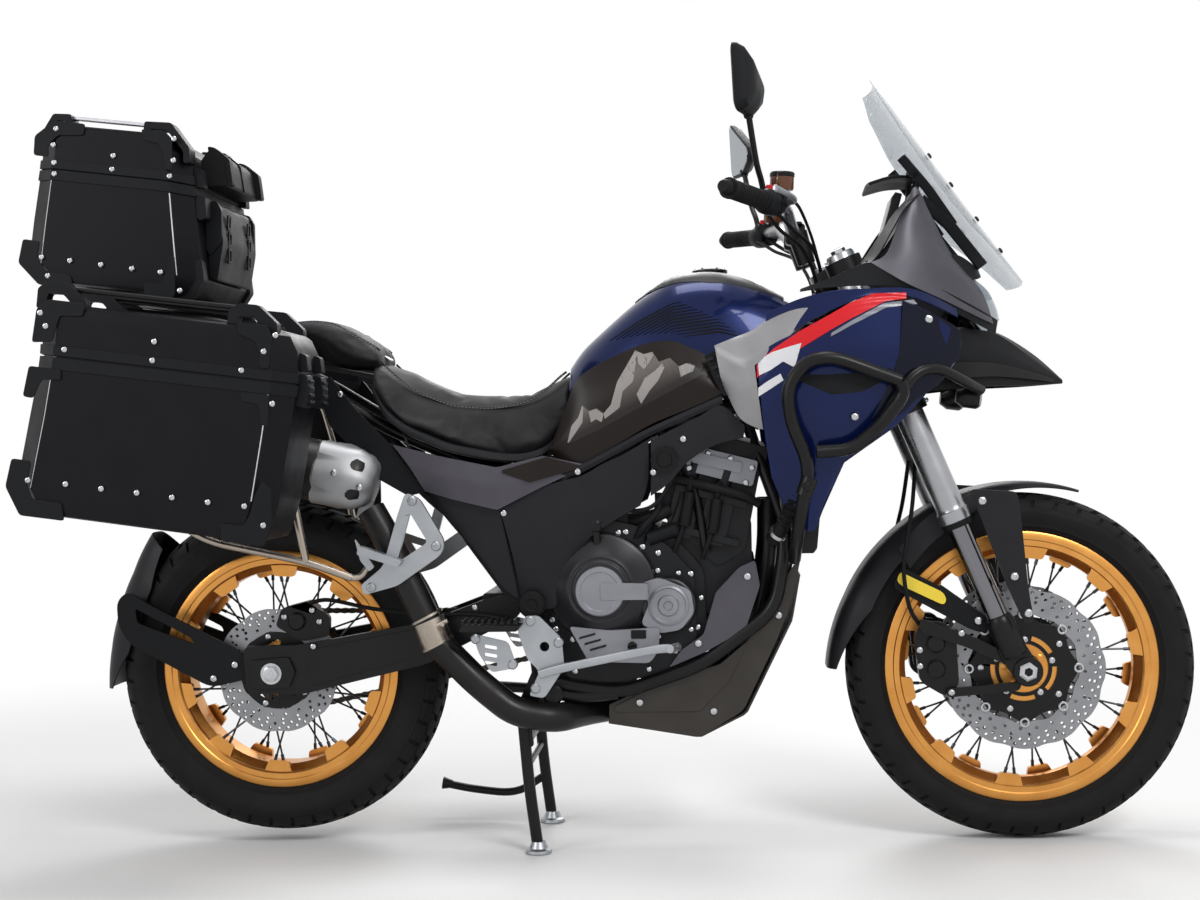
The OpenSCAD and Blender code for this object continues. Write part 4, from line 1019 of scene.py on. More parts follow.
BLUE_ROWS = [
    [[928, -232, 905], [948, -238, 934], [1006, -244, 962], [1062, -248, 985], [1108, -248, 1005], [1160, -244, 1010],
     [1196, -238, 1010], [1240, -230, 990], [1276, -222, 962]],
    [[932, -236, 870], [960, -246, 890], [1020, -254, 915], [1066, -258, 925], [1110, -258, 930], [1160, -254, 925],
     [1196, -248, 915], [1236, -236, 905], [1262, -226, 900]],
    [[936, -234, 815], [966, -248, 840], [1020, -256, 855], [1066, -260, 852], [1110, -258, 846], [1150, -252, 842],
     [1180, -244, 838], [1206, -236, 838], [1228, -228, 842]],
    [[942, -228, 762], [972, -240, 780], [1020, -248, 790], [1052, -252, 784], [1080, -250, 778], [1110, -246, 775],
     [1138, -240, 778], [1160, -234, 782], [1176, -228, 788]],
    [[951, -220, 700], [976, -228, 705], [1004, -236, 712], [1022, -240, 714], [1036, -241, 715], [1050, -240, 716],
     [1062, -238, 718], [1072, -234, 720], [1082, -230, 724]],
    [[980, -200, 628], [990, -208, 620], [1000, -214, 612], [1008, -218, 606], [1014, -220, 602], [1020, -220, 600],
     [1028, -220, 604], [1034, -218, 616], [1040, -214, 632]]]


def make_fairing(settings):
    """Blue fairing sides with their stripes, slots and front wings."""
    t = settings.panel_thickness * 1000
    P = lofted(BLUE_ROWS, nu=64, nv=7, fold=True)
    welded("fairing_blue", both(thick(P, t)), "navy_lacquer", "frame", ["fairing_panels"], bevel=0.001, crease=24)
    shoulder = [[[926, -226, 912], [1003, -240, 968], [1072, -246, 1002], [1131, -244, 1024], [1196, -236, 1022],
                 [1252, -224, 1002], [1292, -208, 982]],
                [[950, -206, 1000], [1010, -226, 1022], [1070, -234, 1034], [1131, -236, 1036], [1196, -228, 1036],
                 [1240, -216, 1024], [1290, -200, 998]]]
    panel("fairing_shoulder", shoulder, "navy_lacquer", t=t, nv=6, fold=True)
    S = lofted(shoulder, nu=60, nv=6, fold=True)
    PS = np.vstack([P.reshape(-1, 3), S.reshape(-1, 3)])[None]
    # front wing of the fairing: from the slot forward under the lamp
    wing = [[[1190, -244, 1012], [1240, -232, 990], [1290, -212, 962], [1297, -208, 935]],
            [[1176, -252, 900], [1214, -246, 884], [1256, -232, 872], [1290, -214, 905]],
            [[1130, -250, 800], [1176, -246, 806], [1214, -238, 838], [1250, -226, 880]]]
    panel("fairing_wing", wing, "night_lacquer", t=t, nv=6)
    red_low = [[928, 880], [942, 890], [1006, 930], [1060, 962], [1100, 983], [1160, 1012], [1197, 1016]]
    red_high = [[928, 912], [950, 926], [1006, 962], [1060, 990], [1096, 1010], [1137, 1026], [1197, 1027]]
    white_low = [[932, 884], [952, 893], [975, 908], [992, 898], [996, 899]]
    white_high = [[930, 910], [955, 925], [985, 934], [1008, 940], [1008, 940]]
    grey_low = [[1060, 950], [1100, 971], [1160, 1000], [1216, 1006]]
    grey_high = [[1062, 957], [1100, 979], [1156, 1008], [1210, 1014]]
    tail_low, tail_high = [[930, 846], [950, 858], [975, 874]], [[930, 862], [948, 874], [970, 886]]
    part("fairing_bolts", both(side_screws([[1236, -236, 978], [1100, -259, 806]], 7, 4, 16)), "bare_aluminium")
    welded("stripe_red", both(film(PS, red_low, red_high, 1.3, 60, 8)), "red_paint")
    welded("stripe_white", both(join(film(PS, white_low, white_high, 1.9, 30, 6), film(PS, tail_low, tail_high,
            1.5))), "white_paint")
    welded("stripe_grey", both(film(PS, grey_low, grey_high, 1.5)), "stripe_grey")
    slot = film(PS, [[1004, 872], [1060, 846], [1112, 850], [1150, 868], [1178, 879]], [[1008, 884], [1050, 882],
            [1100, 884], [1140, 890], [1164, 892]], 1.2, 40, 8)
    welded("fairing_vents", both(slot), "moulded_black")
    insert = [[[870, -206, 860], [893, -214, 812], [914, -220, 795], [938, -222, 786]],
              [[862, -214, 884], [896, -226, 862], [918, -234, 850], [931, -236, 838]],
              [[852, -212, 941], [884, -226, 918], [908, -236, 908], [924, -238, 902]],
              [[880, -212, 952], [920, -228, 940], [952, -238, 938], [978, -240, 944]],
              [[919, -208, 966], [960, -222, 988], [1000, -232, 1002], [1040, -236, 1004]],
              [[953, -204, 990], [992, -218, 1003], [1033, -228, 1008], [1072, -236, 1002]]]
    panel("fairing_silver", insert, "silver_lacquer", t=t, replaces=["fairing_panels"], fold=True, nv=4, nu=24)
    louvre = [[[833, -196, 923], [850, -198, 880], [868, -200, 848]], [[852, -204, 932], [868, -206, 890],
            [884, -208, 858]]]
    panel("silver_backing", louvre, "moulded_black", t=t, fold=True, nv=2)
    slots = [[[838 + 9 * k, -206, 914 - 15 * k], [850 + 9 * k, -208, 919 - 15 * k]] for k in range(4)]
    steps = [ribbon(np.linspace(a, b, 3), [[-3, -2.5], [3, -2.5], [3, 2.5], [-3, 2.5]]) for a, b in slots]
    welded("silver_slots", both(join(*steps)), "slate_plastic", bevel=0.0006)


def make_cowl(settings):
    """Front cowl, display, screen, headlight and beak."""
    t = settings.panel_thickness * 1000
    low = [[[1008, -222, 1036], [1060, -226, 1040], [1120, -226, 1042], [1200, -218, 1036], [1262, -204, 1004],
            [1330, -170, 972], [1370, -132, 955]],
           [[1010, -216, 1040], [1070, -222, 1060], [1135, -222, 1084], [1196, -222, 1062], [1262, -206, 1034],
            [1332, -172, 1000], [1374, -130, 980]]]
    panel("cowl_lower", low, "moulded_black", t=t, replaces=["front_cowl"], fold=True, nv=6)
    side = [[[1135, -223, 1084], [1196, -226, 1046], [1262, -208, 1016], [1330, -176, 985], [1364, -146, 972]],
            [[1165, -216, 1100], [1206, -216, 1100], [1262, -200, 1076], [1312, -172, 1050], [1346, -140, 1030]],
            [[1190, -202, 1160], [1214, -200, 1165], [1250, -190, 1130], [1284, -166, 1100], [1312, -138, 1072]],
            [[1201, -190, 1182], [1222, -188, 1222], [1246, -178, 1180], [1272, -160, 1130], [1298, -136, 1090]]]
    panel("cowl_grey", side, "grey_satin", t=t, nv=5)
    cockpit = [[[1130, -186, 1090], [1150, -186, 1096], [1196, -196, 1160], [1210, -186, 1200]],
               [[1150, -150, 1110], [1180, -150, 1150], [1206, -156, 1200], [1232, -160, 1211]]]
    panel("cockpit_cheeks", cockpit, "moulded_black", t=t, nv=6)
    blade = [[[1120, -152, 1088], [1134, -156, 1104], [1180, -164, 1172], [1207, -168, 1203]],
             [[1128, -200, 1082], [1150, -214, 1098], [1196, -212, 1176], [1228, -196, 1208]]]
    panel("deflectors", blade, "moulded_black", t=2.5, nv=5)
    # shelf over the display, and the display itself
    P = lofted([[[1146, -82, 1247], [1146, 0, 1252], [1146, 82, 1247]], [[1190, -86, 1258], [1190, 0, 1262],
            [1190, 86, 1258]], [[1236, -76, 1258], [1240, 0, 1262], [1236, 76, 1258]]], nu=30, nv=6)
    welded("display_shelf", thick(P, 6, (0, 0, -1)), "moulded_black", "frame", ["instrument_panel"], bevel=0.0015)
    screen = ribbon([[1178, 0, 1135], [1204, 0, 1228]], rounded([[-66, -7], [66, -7], [66, 7], [-66, 7]], 5, 4))
    welded("display_box", screen, "moulded_black", bevel=0.002)
    glass = ribbon([[1171, 0, 1142], [1195, 0, 1224]], rounded([[-58, -1.5], [58, -1.5], [58, 1.5], [-58, 1.5]], 1.2,
                                                               2))
    welded("display_glass", glass, "gloss_black")
    mast = join(*[sweep(smooth(p, 12), 7, 10) for p in (
        [[1216, s * 60, 1092], [1220, s * 62, 1140], [1232, s * 60, 1216], [1240, s * 58, 1258]] for s in (-1, 1))],
        *[sweep(smooth(p, 10), 5, 8) for p in ([[1232, -60, 1226], [1236, 0, 1232], [1232, 60, 1226]],
                                                 [[1216, -60, 1104], [1220, 0, 1108], [1216, 60, 1104]])])
    part("display_mast", mast, "powder_black")
    # screen: x falls as z rises and the sheet bows back to its sides
    z = np.linspace(1052, 1438, 40)[:, None]
    half = np.interp(z, [1050, 1100, 1150, 1230, 1330, 1400, 1438], [88, 118, 160, 168, 150, 122, 84])
    s = np.linspace(-1, 1, 33)[None]
    bow = np.interp(z, [1050, 1200, 1438], [34, 42, 40])
    Y = half * s
    X = 1440 - 0.71 * (z - 1050) - bow * (Y / 160) ** 2
    P = np.stack([X, Y, z + 0 * s], -1)
    welded("windscreen_sheet", thick(P, 3.2, (-1, 0, -0.3)), "clear_screen", "frame", ["windscreen"])
    arms = []
    for side in (-1, 1):
        arms.append(ribbon(evenly([[1240, side * 100, 1210], [1292, side * 104, 1160], [1352, side * 100, 1082]], 12),
                           rounded([[-5, -11], [5, -11], [5, 11], [-5, 11]], 3, 3)))
        arms.append(ribbon(evenly([[1206, side * 96, 1290], [1252, side * 100, 1232], [1300, side * 100, 1160]], 12),
                           rounded([[-4, -9], [4, -9], [4, 9], [-4, 9]], 3, 3)))
        arms.append(sweep([[1222, side * 72, 1262], [1232, side * 104, 1256]], 6, 12))
    welded("screen_arms", join(*arms), "moulded_black", bevel=0.001)
    spots = [[1441 - 0.71 * (zz - 1050) - 40 * (100 / 160) ** 2 + 2, s * 100, zz] for zz in (1110, 1170, 1235, 1290)
             for s in (-1, 1)]
    part("screen_screws", placed(screw(6, 4, 14), spots, (0.82, 0, 0.57)), "gloss_black")
    # headlight: dark housing, lens and light guides
    shell = [[[1306, -96, 1000], [1340, -80, 1052], [1346, 0, 1066]], [[1336, -112, 975], [1366, -76, 1028],
            [1374, 0, 1038]], [[1352, -100, 952], [1384, -64, 985], [1392, 0, 990]], [[1340, -60, 938],
            [1372, -40, 952], [1384, 0, 955]]]
    rows = [[*r, *[[x, -y, zz] for x, y, zz in r[-2::-1]]] for r in shell]
    P = lofted(rows, nu=48, nv=6)
    welded("headlight_lens", thick(P, 4, (-1, 0, 0)), "lamp_lens", "frame", ["headlight"], bevel=0.001)
    welded("headlight_bowl", thick(P - [9, 0, 0], 26, (-1, 0, 0)), "gloss_black")
    guides = []
    for side in (-1, 1):
        guides.append(sweep(smooth([[1318, side * 108, 1018], [1346, side * 106, 985], [1366, side * 84, 962],
                                    [1378, side * 50, 958]], 24) + [3, 0, 0], 3.5, 10))
        guides.append(sweep(smooth([[1336, side * 84, 1044], [1366, side * 72, 1008], [1384, side * 52, 985]],
                                   20) + [3, 0, 0], 3, 10))
    part("headlight_guides", join(*guides), "lamp_white")
    frame_rows = [[[1262, -190, 1090], [1300, -150, 1100], [1340, -100, 1082], [1352, 0, 1090]],
                  [[1300, -160, 1062], [1330, -124, 1056], [1350, -84, 1062], [1360, 0, 1072]]]
    rows = [[*r, *[[x, -y, zz] for x, y, zz in r[-2::-1]]] for r in frame_rows]
    panel("headlight_brow", rows, "moulded_black", t=t, sides=1, inward=(-1, 0, -1), nv=5, nu=50)
    # beak: two ridges meeting in a point, dark facets below
    upper = [[[1196, -206, 850], [1264, -190, 852], [1340, -140, 858], [1440, -64, 860], [1513, -5, 864]],
             [[1224, -206, 904], [1290, -178, 920], [1352, -128, 925], [1440, -58, 896], [1513, -4, 867]],
             [[1257, -190, 954], [1320, -150, 962], [1378, -96, 955], [1450, -40, 912], [1513, -3, 870]],
             [[1300, -60, 972], [1350, -40, 972], [1400, -26, 956], [1460, -12, 918], [1513, -1, 871]]]
    panel("beak_upper", upper, "moulded_black", t=t, replaces=["beak"], fold=True, nv=4)
    ridge = [[[1300, -62, 972], [1350, -42, 972], [1400, -27, 956], [1460, -13, 918], [1513, -1, 871]],
             [[1300, 62, 972], [1350, 42, 972], [1400, 27, 956], [1460, 13, 918], [1513, 1, 871]]]
    panel("beak_ridge", ridge, "moulded_black", t=t, sides=1, inward=(0, 0, -1), nv=8, fold=True)
    fins = [[[1200, -208, 862], [1290, -184, 872], [1380, -116, 876], [1494, -22, 866]],
            [[1226, -210, 898], [1300, -182, 902], [1384, -112, 898], [1494, -20, 872]]]
    panel("beak_facets", [[[x, y - 3, z] for x, y, z in r] for r in fins], "gloss_black", t=2, fold=True, nv=3)
    lamps = join(*[placed(revolve([[17, -30], [19, -4], [19, 0], [17, 2], [6, 4]], n=28), [[1340, s * 120, 838]],
                          (0.97, 0, -0.1)) for s in (-1, 1)])
    part("fog_lamps", lamps, "lamp_lens")
    pods = join(*[placed(revolve([[12, -44], [21, -30], [22, -6], [20, -2]], n=28), [[1340, s * 120, 838]],
                         (0.97, 0, -0.1)) for s in (-1, 1)])
    part("fog_lamp_pods", pods, "powder_black")


# ---------- seats ----------


SEAT_ROWS = [[206, 132, 96, 866, 944], [232, 156, 112, 826, 918], [270, 162, 116, 794, 886], [313, 163, 114, 774,
        864], [352, 160, 112, 758, 850], [392, 152, 108, 748, 845], [432, 142, 102, 740, 844], [471, 132, 94, 736,
        850], [504, 120, 82, 740, 862], [532, 108, 70, 752, 882], [554, 98, 58, 776, 902], [570, 90, 46, 806, 914]]
PILLION_ROWS = [[-14, 66, 52, 962, 1004], [10, 92, 70, 960, 1010], [40, 114, 90, 960, 1012], [88, 126, 98, 958, 1014],
                [128, 128, 98, 940, 1006], [164, 124, 94, 924, 984], [198, 116, 84, 916, 964], [214, 104, 74, 916,
        950]]


# Cloth of the seat pads: voxel of the remesh in metres, pressure inside, last frame, rounds of relaxing
PAD_VOXEL, PAD_PRESSURE, PAD_FRAMES, PAD_RELAX = 0.006, 4.0, 20, 4


def cushion(name, rows, shrink, cap, replaces):
    """Seat pad: a smooth body, remeshed and blown up as cloth within a cap, then subdivided once."""
    shape = section_loft(rows, 0.55, 60, 64, -shrink)
    obj = welded(name, shape, "seat_vinyl", "frame", replaces, crease=80)
    bpy.context.view_layer.objects.active = obj
    remesh = obj.modifiers.new("Voxels", "REMESH")
    remesh.mode = "VOXEL"
    remesh.voxel_size = PAD_VOXEL
    bpy.ops.object.modifier_apply(modifier="Voxels")
    start = np.zeros(len(obj.data.vertices) * 3)
    obj.data.vertices.foreach_get("co", start)
    cloth = obj.modifiers.new("Cloth", "CLOTH")
    cloth.settings.quality = 5
    cloth.settings.use_pressure = True
    cloth.settings.uniform_pressure_force = PAD_PRESSURE
    cloth.settings.effector_weights.gravity = 0.0
    cloth.settings.tension_stiffness = 25
    cloth.settings.shear_stiffness = 15
    cloth.point_cache.frame_start, cloth.point_cache.frame_end = 1, PAD_FRAMES
    for k in range(1, PAD_FRAMES + 1):
        bpy.context.scene.frame_set(k)
    bpy.ops.object.modifier_apply(modifier="Cloth")
    bpy.context.scene.frame_set(1)
    end = np.zeros(len(start))
    obj.data.vertices.foreach_get("co", end)
    move = (end - start).reshape(-1, 3)
    far = np.linalg.norm(move, axis=1, keepdims=True)
    move *= np.minimum(1, cap / np.maximum(far, 1e-9))
    obj.data.vertices.foreach_set("co", (start.reshape(-1, 3) + move).ravel())
    obj.data.shade_smooth()
    smoother = obj.modifiers.new("Relax", "SMOOTH")
    smoother.factor, smoother.iterations = 0.5, PAD_RELAX
    bpy.ops.object.modifier_apply(modifier="Relax")
    more = obj.modifiers.new("Finer", "SUBSURF")
    more.levels = more.render_levels = 1
    return obj


def seam_line(rows, level, lift, x0, x1, n=90, power=0.55):
    """Line round a pad's right side at one level of its sections, a little proud of it."""
    r = smooth(rows, 200)
    x = np.linspace(x0, x1, n)
    wl, wh, zl, zh = (np.interp(x, r[:, 0], r[:, k]) for k in (1, 2, 3, 4))
    a = math.radians(level)
    up, out = math.sin(a) ** power, math.cos(a) ** power
    v = (up + 1) / 2
    return np.stack([x, -(out * (wl + (wh - wl) * v)) - lift, zl + (zh - zl) * v], -1)


def stitches(line, pitch=7.0, r=0.9):
    """Thread along a line: short rounded stitches with gaps, from samples at even distances."""
    total = np.linalg.norm(np.diff(line, axis=0), axis=1).sum()
    n = int(total / pitch)
    p = evenly(line, n * 4)
    return join(*[sweep(p[4 * k:4 * k + 3 + 1], [0.5 * r, r, r, 0.5 * r], 6) for k in range(n)])


def make_seats():
    """Rider and pillion pads with their stitched seams."""
    cushion("rider_seat_pad", SEAT_ROWS, 5.0, 0.024, ["seats"])
    cushion("pillion_seat_pad", PILLION_ROWS, 5.0, 0.022, ["seats"])
    threads = []
    for level, lift in ((58, 2.6), (52, 2.6)):
        threads.append(stitches(seam_line(SEAT_ROWS, level, lift, 222, 562)))
        threads.append(stitches(seam_line(PILLION_ROWS, level, lift, 0, 204)))
    part("seat_stitching", both(join(*threads)), "seat_thread")
    welts = [sweep(seam_line(SEAT_ROWS, 55, 1.2, 214, 566), 2.2, 8), sweep(seam_line(PILLION_ROWS, 55, 1.2, -6, 208),
            2.2, 8)]
    part("seat_piping", both(join(*welts)), "seat_vinyl")
    base_rows = [[r[0], r[1] + 1, r[1] - 6, r[3] - 4, r[3] + 16] for r in SEAT_ROWS]
    part("seat_base", section_loft(base_rows, 0.4, 50, 40), "moulded_black")
    tab = [[[196, -60, 950], [212, -62, 934], [226, -60, 924]], [[196, 60, 950], [212, 62, 934], [226, 60, 924]]]
    panel("seat_tab", [[[x - 6, y * 0.3, z + 14] for x, y, z in r] for r in tab], "bare_aluminium", t=3, sides=1,
          inward=(0, 0, -1), nv=10)


# ---------- engine and exhaust ----------


def bolt_ring(cx, cz, r, y, count, first, size=6.0):
    """Screws on a circle that faces right."""
    a = first + np.arange(count) * 2 * math.pi / count
    spots = np.stack([cx + r * np.cos(a), np.full(count, y), cz + r * np.sin(a)], 1)
    return side_screws(spots, size, 5, 12)


def knob(profile, x, y, z, n=64, axis=(0, -1, 0)):
    """Turned boss that faces right."""
    return revolve(profile, (x, y, z), axis, n)


def make_engine():
    """Crankcase, cylinders, right-hand covers, hoses and radiator."""
    case = rounded([[516, 476], [536, 556], [562, 625], [634, 645], [712, 628], [768, 590], [824, 528], [828, 398],
                    [797, 320], [700, 300], [560, 300], [522, 360]], 18, 4)
    inner = rounded([[536, 470], [552, 548], [574, 606], [636, 626], [706, 610], [760, 572], [806, 520], [810, 406],
                     [782, 338], [700, 318], [574, 318], [540, 368]], 16, 4)
    body = join(slab(case, -112, 112), slab(inner, -128, 128))
    welded("crankcase_body", body, "engine_black", "frame", ["engine_block"], bevel=0.004, segments=3)
    walls = [rounded_slab([[736, 640], [792, 772], [812, 786], [948, 750], [930, 696], [902, 560], [850, 530]], 12, 3,
                          -104, 104), rounded_slab([[790, 770], [806, 792], [952, 752], [936, 706], [800, 742]], 8, 3,
                                                   -108, 108), rounded_slab([[740, 560], [784, 660], [915, 620],
            [915, 520], [880, 450], [824, 440]], 10, 3, -98, 98), rounded_slab([[752, 596], [778, 700], [826, 688],
            [802, 584]], 8, 3, -119, -100), rounded_slab([[812, 580], [838, 684], [888, 670], [862, 568]], 8, 3, -119,
                                                         -100), rounded_slab([[744, 606], [748, 618], [892, 580],
            [888, 568]], 3, 2, -122, -104), rounded_slab([[772, 676], [776, 688], [908, 652], [904, 640]], 3, 2, -122,
                                                         -104)]
    for k in range(2):
        x, z = 776 + 62 * k, 700 - 14 * k
        walls.append(sweep([[x - 10, -108, z - 110], [x + 36, -108, z + 30]], 15, 16))
    welded("cylinder_block", join(*walls), "engine_black", "frame", ["engine_block"], bevel=0.003)
    head = [rounded_slab([[776, 742], [786, 766], [930, 728], [918, 680], [790, 714]], 7, 3, -121, -104),
            rounded_slab([[800, 738], [806, 750], [900, 726], [896, 706], [806, 728]], 4, 3, -126, -120),
            rounded_slab([[802, 780], [810, 800], [940, 764], [946, 748]], 6, 3, -100, 100)]
    lugs = [[790, -121, 752], [836, -121, 745], [878, -121, 734], [918, -121, 716], [906, -121, 688],
            [800, -121, 718]]
    welded("head_cover", both(join(*head)), "cap_grey", bevel=0.0025)
    part("head_screws", both(side_screws(lugs, 6, 4, 12)), "bare_aluminium")
    pipes = []
    for k in range(2):
        x, z = 800 + 52 * k, 672 - 14 * k
        pipes.append(sweep(smooth([[x, -132, z], [x - 6, -134, z - 40], [x - 10, -132, z - 60]], 12), 11, 16))
        pipes.append(sweep(smooth([[x, -132, z + 6], [x + 2, -136, z + 18], [x + 4, -124, z + 28]], 8), 7, 12))
        pipes.append(sweep(smooth([[x - 12, -130, z - 62], [x - 22, -132, z - 90], [x - 30, -126, z - 110]], 10), 5,
                           10))
    pipes.append(sweep(smooth([[760, -126, 700], [830, -138, 684], [900, -138, 664], [930, -132, 648]], 30), 8, 16))
    pipes.append(sweep(smooth([[690, -110, 620], [730, -128, 628], [760, -120, 640]], 14), 13, 16))
    part("coolant_pipes", join(*pipes), "soft_rubber")
    # right-hand covers
    rim = knob([[107, -6], [107, 2], [103, 8], [98, 10]], 633, -119, 497)
    clutch = knob([[103, 0], [103, 16], [100, 22], [94, 24], [66, 52], [60, 56], [55, 54], [50, 58], [42, 58]], 633,
                  -122, 497, 96)
    ring = knob([[53, 0], [53, 26], [50, 34], [46, 36], [40, 34]], 758, -119, 464)
    ribs = join(rounded_slab([[600, 560], [668, 560], [700, 500], [700, 440], [600, 425], [565, 470], [565, 520]], 20,
                             3, -134, -119), rounded_slab([[690, 520], [760, 512], [800, 480], [800, 440], [760, 408],
                                                           [700, 425]], 18, 3, -140, -119))
    welded("clutch_cover", join(rim, clutch, ribs, ring), "cover_grey", "frame", ["engine_covers"], bevel=0.0015)
    shield = knob([[46, 0], [46, 6], [44, 9], [36, 9.5], [35, 8]], 633, -181, 494, 72)
    bar = rounded_slab([[634, 510], [722, 508], [722, 478], [634, 478]], 4, 2, -191, -178)
    disc = knob([[39, 0], [38, 8], [33, 11], [31, 9], [20, 10], [18, 14], [9, 15], [8, 11]], 758, -152, 464, 64)
    lower = rounded_slab([[572, 428], [650, 420], [742, 424], [738, 380], [722, 358], [608, 362]], 9, 3, -166, -156)
    arms = rounded_slab([[706, 506], [742, 516], [800, 492], [806, 450], [780, 418], [740, 412], [706, 430],
                         [722, 468]], 10, 3, -158, -132)
    welded("cover_caps", join(shield, bar, disc, lower, arms), "cap_grey", bevel=0.0015)
    nicks = join(*[slab([[592 + 10 * k, 408 - 11 * k], [622 + 10 * k, 416 - 11 * k], [621 + 10 * k, 412 - 11 * k],
                         [591 + 10 * k, 404 - 11 * k]], -168, -164) for k in range(3)], knob([[9, 0], [9, 3], [7, 4]],
            690, -165, 390, 24), rounded_slab([[688, 420], [716, 420], [716, 404], [688, 404]], 2, 2, -168, -164))
    welded("cover_marks", nicks, "gloss_black")
    filler = sweep([[628, -150, 552], [626, -152, 604]], [8, 8], 20)
    cap = join(sweep([[626, -152, 604], [626, -152, 622]], [12, 12], 14), sweep([[626, -152, 618], [626, -152, 626]],
            [15, 13], 14))
    welded("oil_filler", join(filler, cap), "powder_black", bevel=0.001)
    bolts = join(bolt_ring(633, 494, 110, -128, 13, 0.3), bolt_ring(758, 464, 62, -140, 6, 0.2, 5), bolt_ring(650,
            392, 84, -150, 3, 3.6, 5))
    spots = [[575, -128, 560], [600, -128, 610], [680, -128, 600], [740, -128, 560], [800, -128, 520],
             [812, -128, 420], [786, -128, 340], [700, -128, 322], [580, -128, 340], [545, -128, 420],
             [548, -128, 500]]
    part("engine_screws", join(bolts, side_screws(spots, 6, 6, 12)), "bare_aluminium")
    other = join(knob([[74, 0], [74, 30], [68, 44], [56, 49], [40, 48]], 770, 119, 452, 80, (0, 1, 0)),
                 rounded_slab([[536, 476], [650, 476], [652, 345], [545, 340]], 18, 3, 119, 148))
    welded("left_covers", join(other, placed(screw(6, 5, 12), [[555, 148, 460], [636, 148, 460], [636, 148, 362],
                                                               [560, 148, 356]], (0, 1, 0))), "cover_grey",
           bevel=0.002)
    # clutter between the cylinders and the frame
    bits = join(sweep(smooth([[700, -128, 590], [716, -140, 612], [740, -136, 640], [742, -130, 672]], 16), 7, 10),
                sweep(smooth([[600, -140, 628], [640, -150, 650], [700, -146, 640], [745, -150, 660],
                              [790, -150, 742], [800, -140, 790]], 30), 4, 8),
                sweep(smooth([[655, -128, 585], [672, -132, 560], [690, -134, 540]], 10), 10, 12),
                placed(revolve([[16, -20], [16, 24], [12, 28]], n=20), [[712, -118, 600]], (0.4, 0, 0.9)),
                placed(revolve([[14, -30], [14, 26], [11, 30]], n=20), [[750, -128, 596]], (0.9, 0, 0.3)))
    part("engine_fittings", bits, "moulded_black")
    # radiator: core, tanks and the hose down its side
    core = rounded_slab([[1000, 556], [1030, 556], [1054, 792], [1024, 792]], 4, 2, -146, 146)
    slats = join(*[ribbon([[1031 + 22 * k / 22, -140, 562 + 228 * k / 22], [1031 + 22 * k / 22, 140,
            562 + 228 * k / 22]], [[-1, -3], [1, -3], [1, 3], [-1, 3]], side=(1, 0, 0)) for k in range(23)])
    ends = both(rounded_slab([[996, 560], [1034, 560], [1058, 790], [1020, 790]], 8, 3, -152, -136))
    welded("radiator_core", join(core, slats, ends), "powder_black", "frame", ["radiator"], bevel=0.0015, segments=1)
    path = smooth([[1004, -190, 784], [1008, -204, 750], [1000, -208, 700], [990, -206, 650], [968, -196, 606],
                   [952, -176, 585]], 90)
    wave = 14 + 2.2 * np.sin(np.linspace(0, 46 * math.pi, len(path))) * (np.arange(len(path)) % 91 < 70)
    part("radiator_hose", both(sweep(path, wave, 18)), "soft_rubber")
    clips = join(*[sweep(path[k:k + 4], 17, 20) for k in (4, 76)])
    part("hose_clips", both(clips), "bare_aluminium")


def make_exhaust():
    """Header pipes, collector, clamp and muffler."""
    pipe = sweep(smooth(bends([[206, -168, 650], [240, -178, 592], [292, -182, 482], [328, -182, 404],
                               [402, -182, 328], [470, -182, 272], [545, -172, 258], [600, -90, 260],
                               [650, -50, 262]], 30), 160), 27, 28)
    heads = [sweep(smooth(bends([[640, y0, 262], [740, y1, 262], [800, y1, 264], [880, y1, 320], [925, y1, 440],
                                 [946, y1, 560], [948, y1, 655]], 40), 90), 19, 20) for y0, y1 in ((-50, -50),
            (-50, 50))]
    part("exhaust_tubes", join(pipe, *heads), "pipe_black", "frame", ["exhaust"])
    band = sweep([[312, -182, 444], [330, -182, 400]], 30.5, 32)
    lips = [sweep([[308 + 20 * k, -182, 452 - 50 * k], [310 + 20 * k, -182, 448 - 50 * k]], 32.5, 32) for k in (0, 1)]
    ear = join(sweep([[330, -204, 436], [352, -204, 446]], 5, 10), sweep([[344, -218, 440], [340, -190, 424]], 4, 10))
    welded("exhaust_clamp", join(band, *lips, ear), "brushed_steel")
    axis = unit([-386, 0, 84])
    base_at = [196, -164, 706]
    can = revolve([[44, -6], [52, 0], [58, 14], [58, 380], [54, 396], [34, 410], [30, 412]], base_at, axis, 64)
    outlet = revolve([[26, 404], [30, 430], [27, 432], [24, 428], [20, 400]], base_at, axis, 40)
    part("muffler_can", can, "pipe_black", "frame", ["exhaust"])
    part("muffler_outlet", outlet, "gloss_black")
    # cast end cap: six-sided cone that narrows to the pipe
    a = np.linspace(0, 2 * math.pi, 64, endpoint=False)
    hexed = 1 + 0.06 * np.cos(6 * a)
    profile = np.array([[58.5, 92], [61.5, 88], [62, 40], [59, 14], [50, -8], [38, -20], [30, -23], [24, -24]])
    u = unit(np.asarray(axis))
    m = pose(base_at, u, (0, 1, 0))
    ring = np.stack([np.cos(a), np.sin(a)], 1)
    P = np.stack([np.concatenate([ring * r * (hexed[:, None] if 30 < r < 62 else 1), np.full((64, 1), h)], 1) for r,
                  h in profile])
    welded("muffler_cap", stamped(grid(P, wrap_v=True, cap_u=True), [m]), "satin_muffler", bevel=0.001)
    screws = side_screws([[150, -226, 722], [196, -220, 694]], 6, 4, 16)
    part("muffler_fixings", screws, "bare_aluminium")


# ---------- frame, swingarm, stands and foot controls ----------


def bent(points, r, cut=40, n=16):
    """Tube of one radius with its corners rounded to a bend."""
    return sweep(bends(points, cut), r, n)


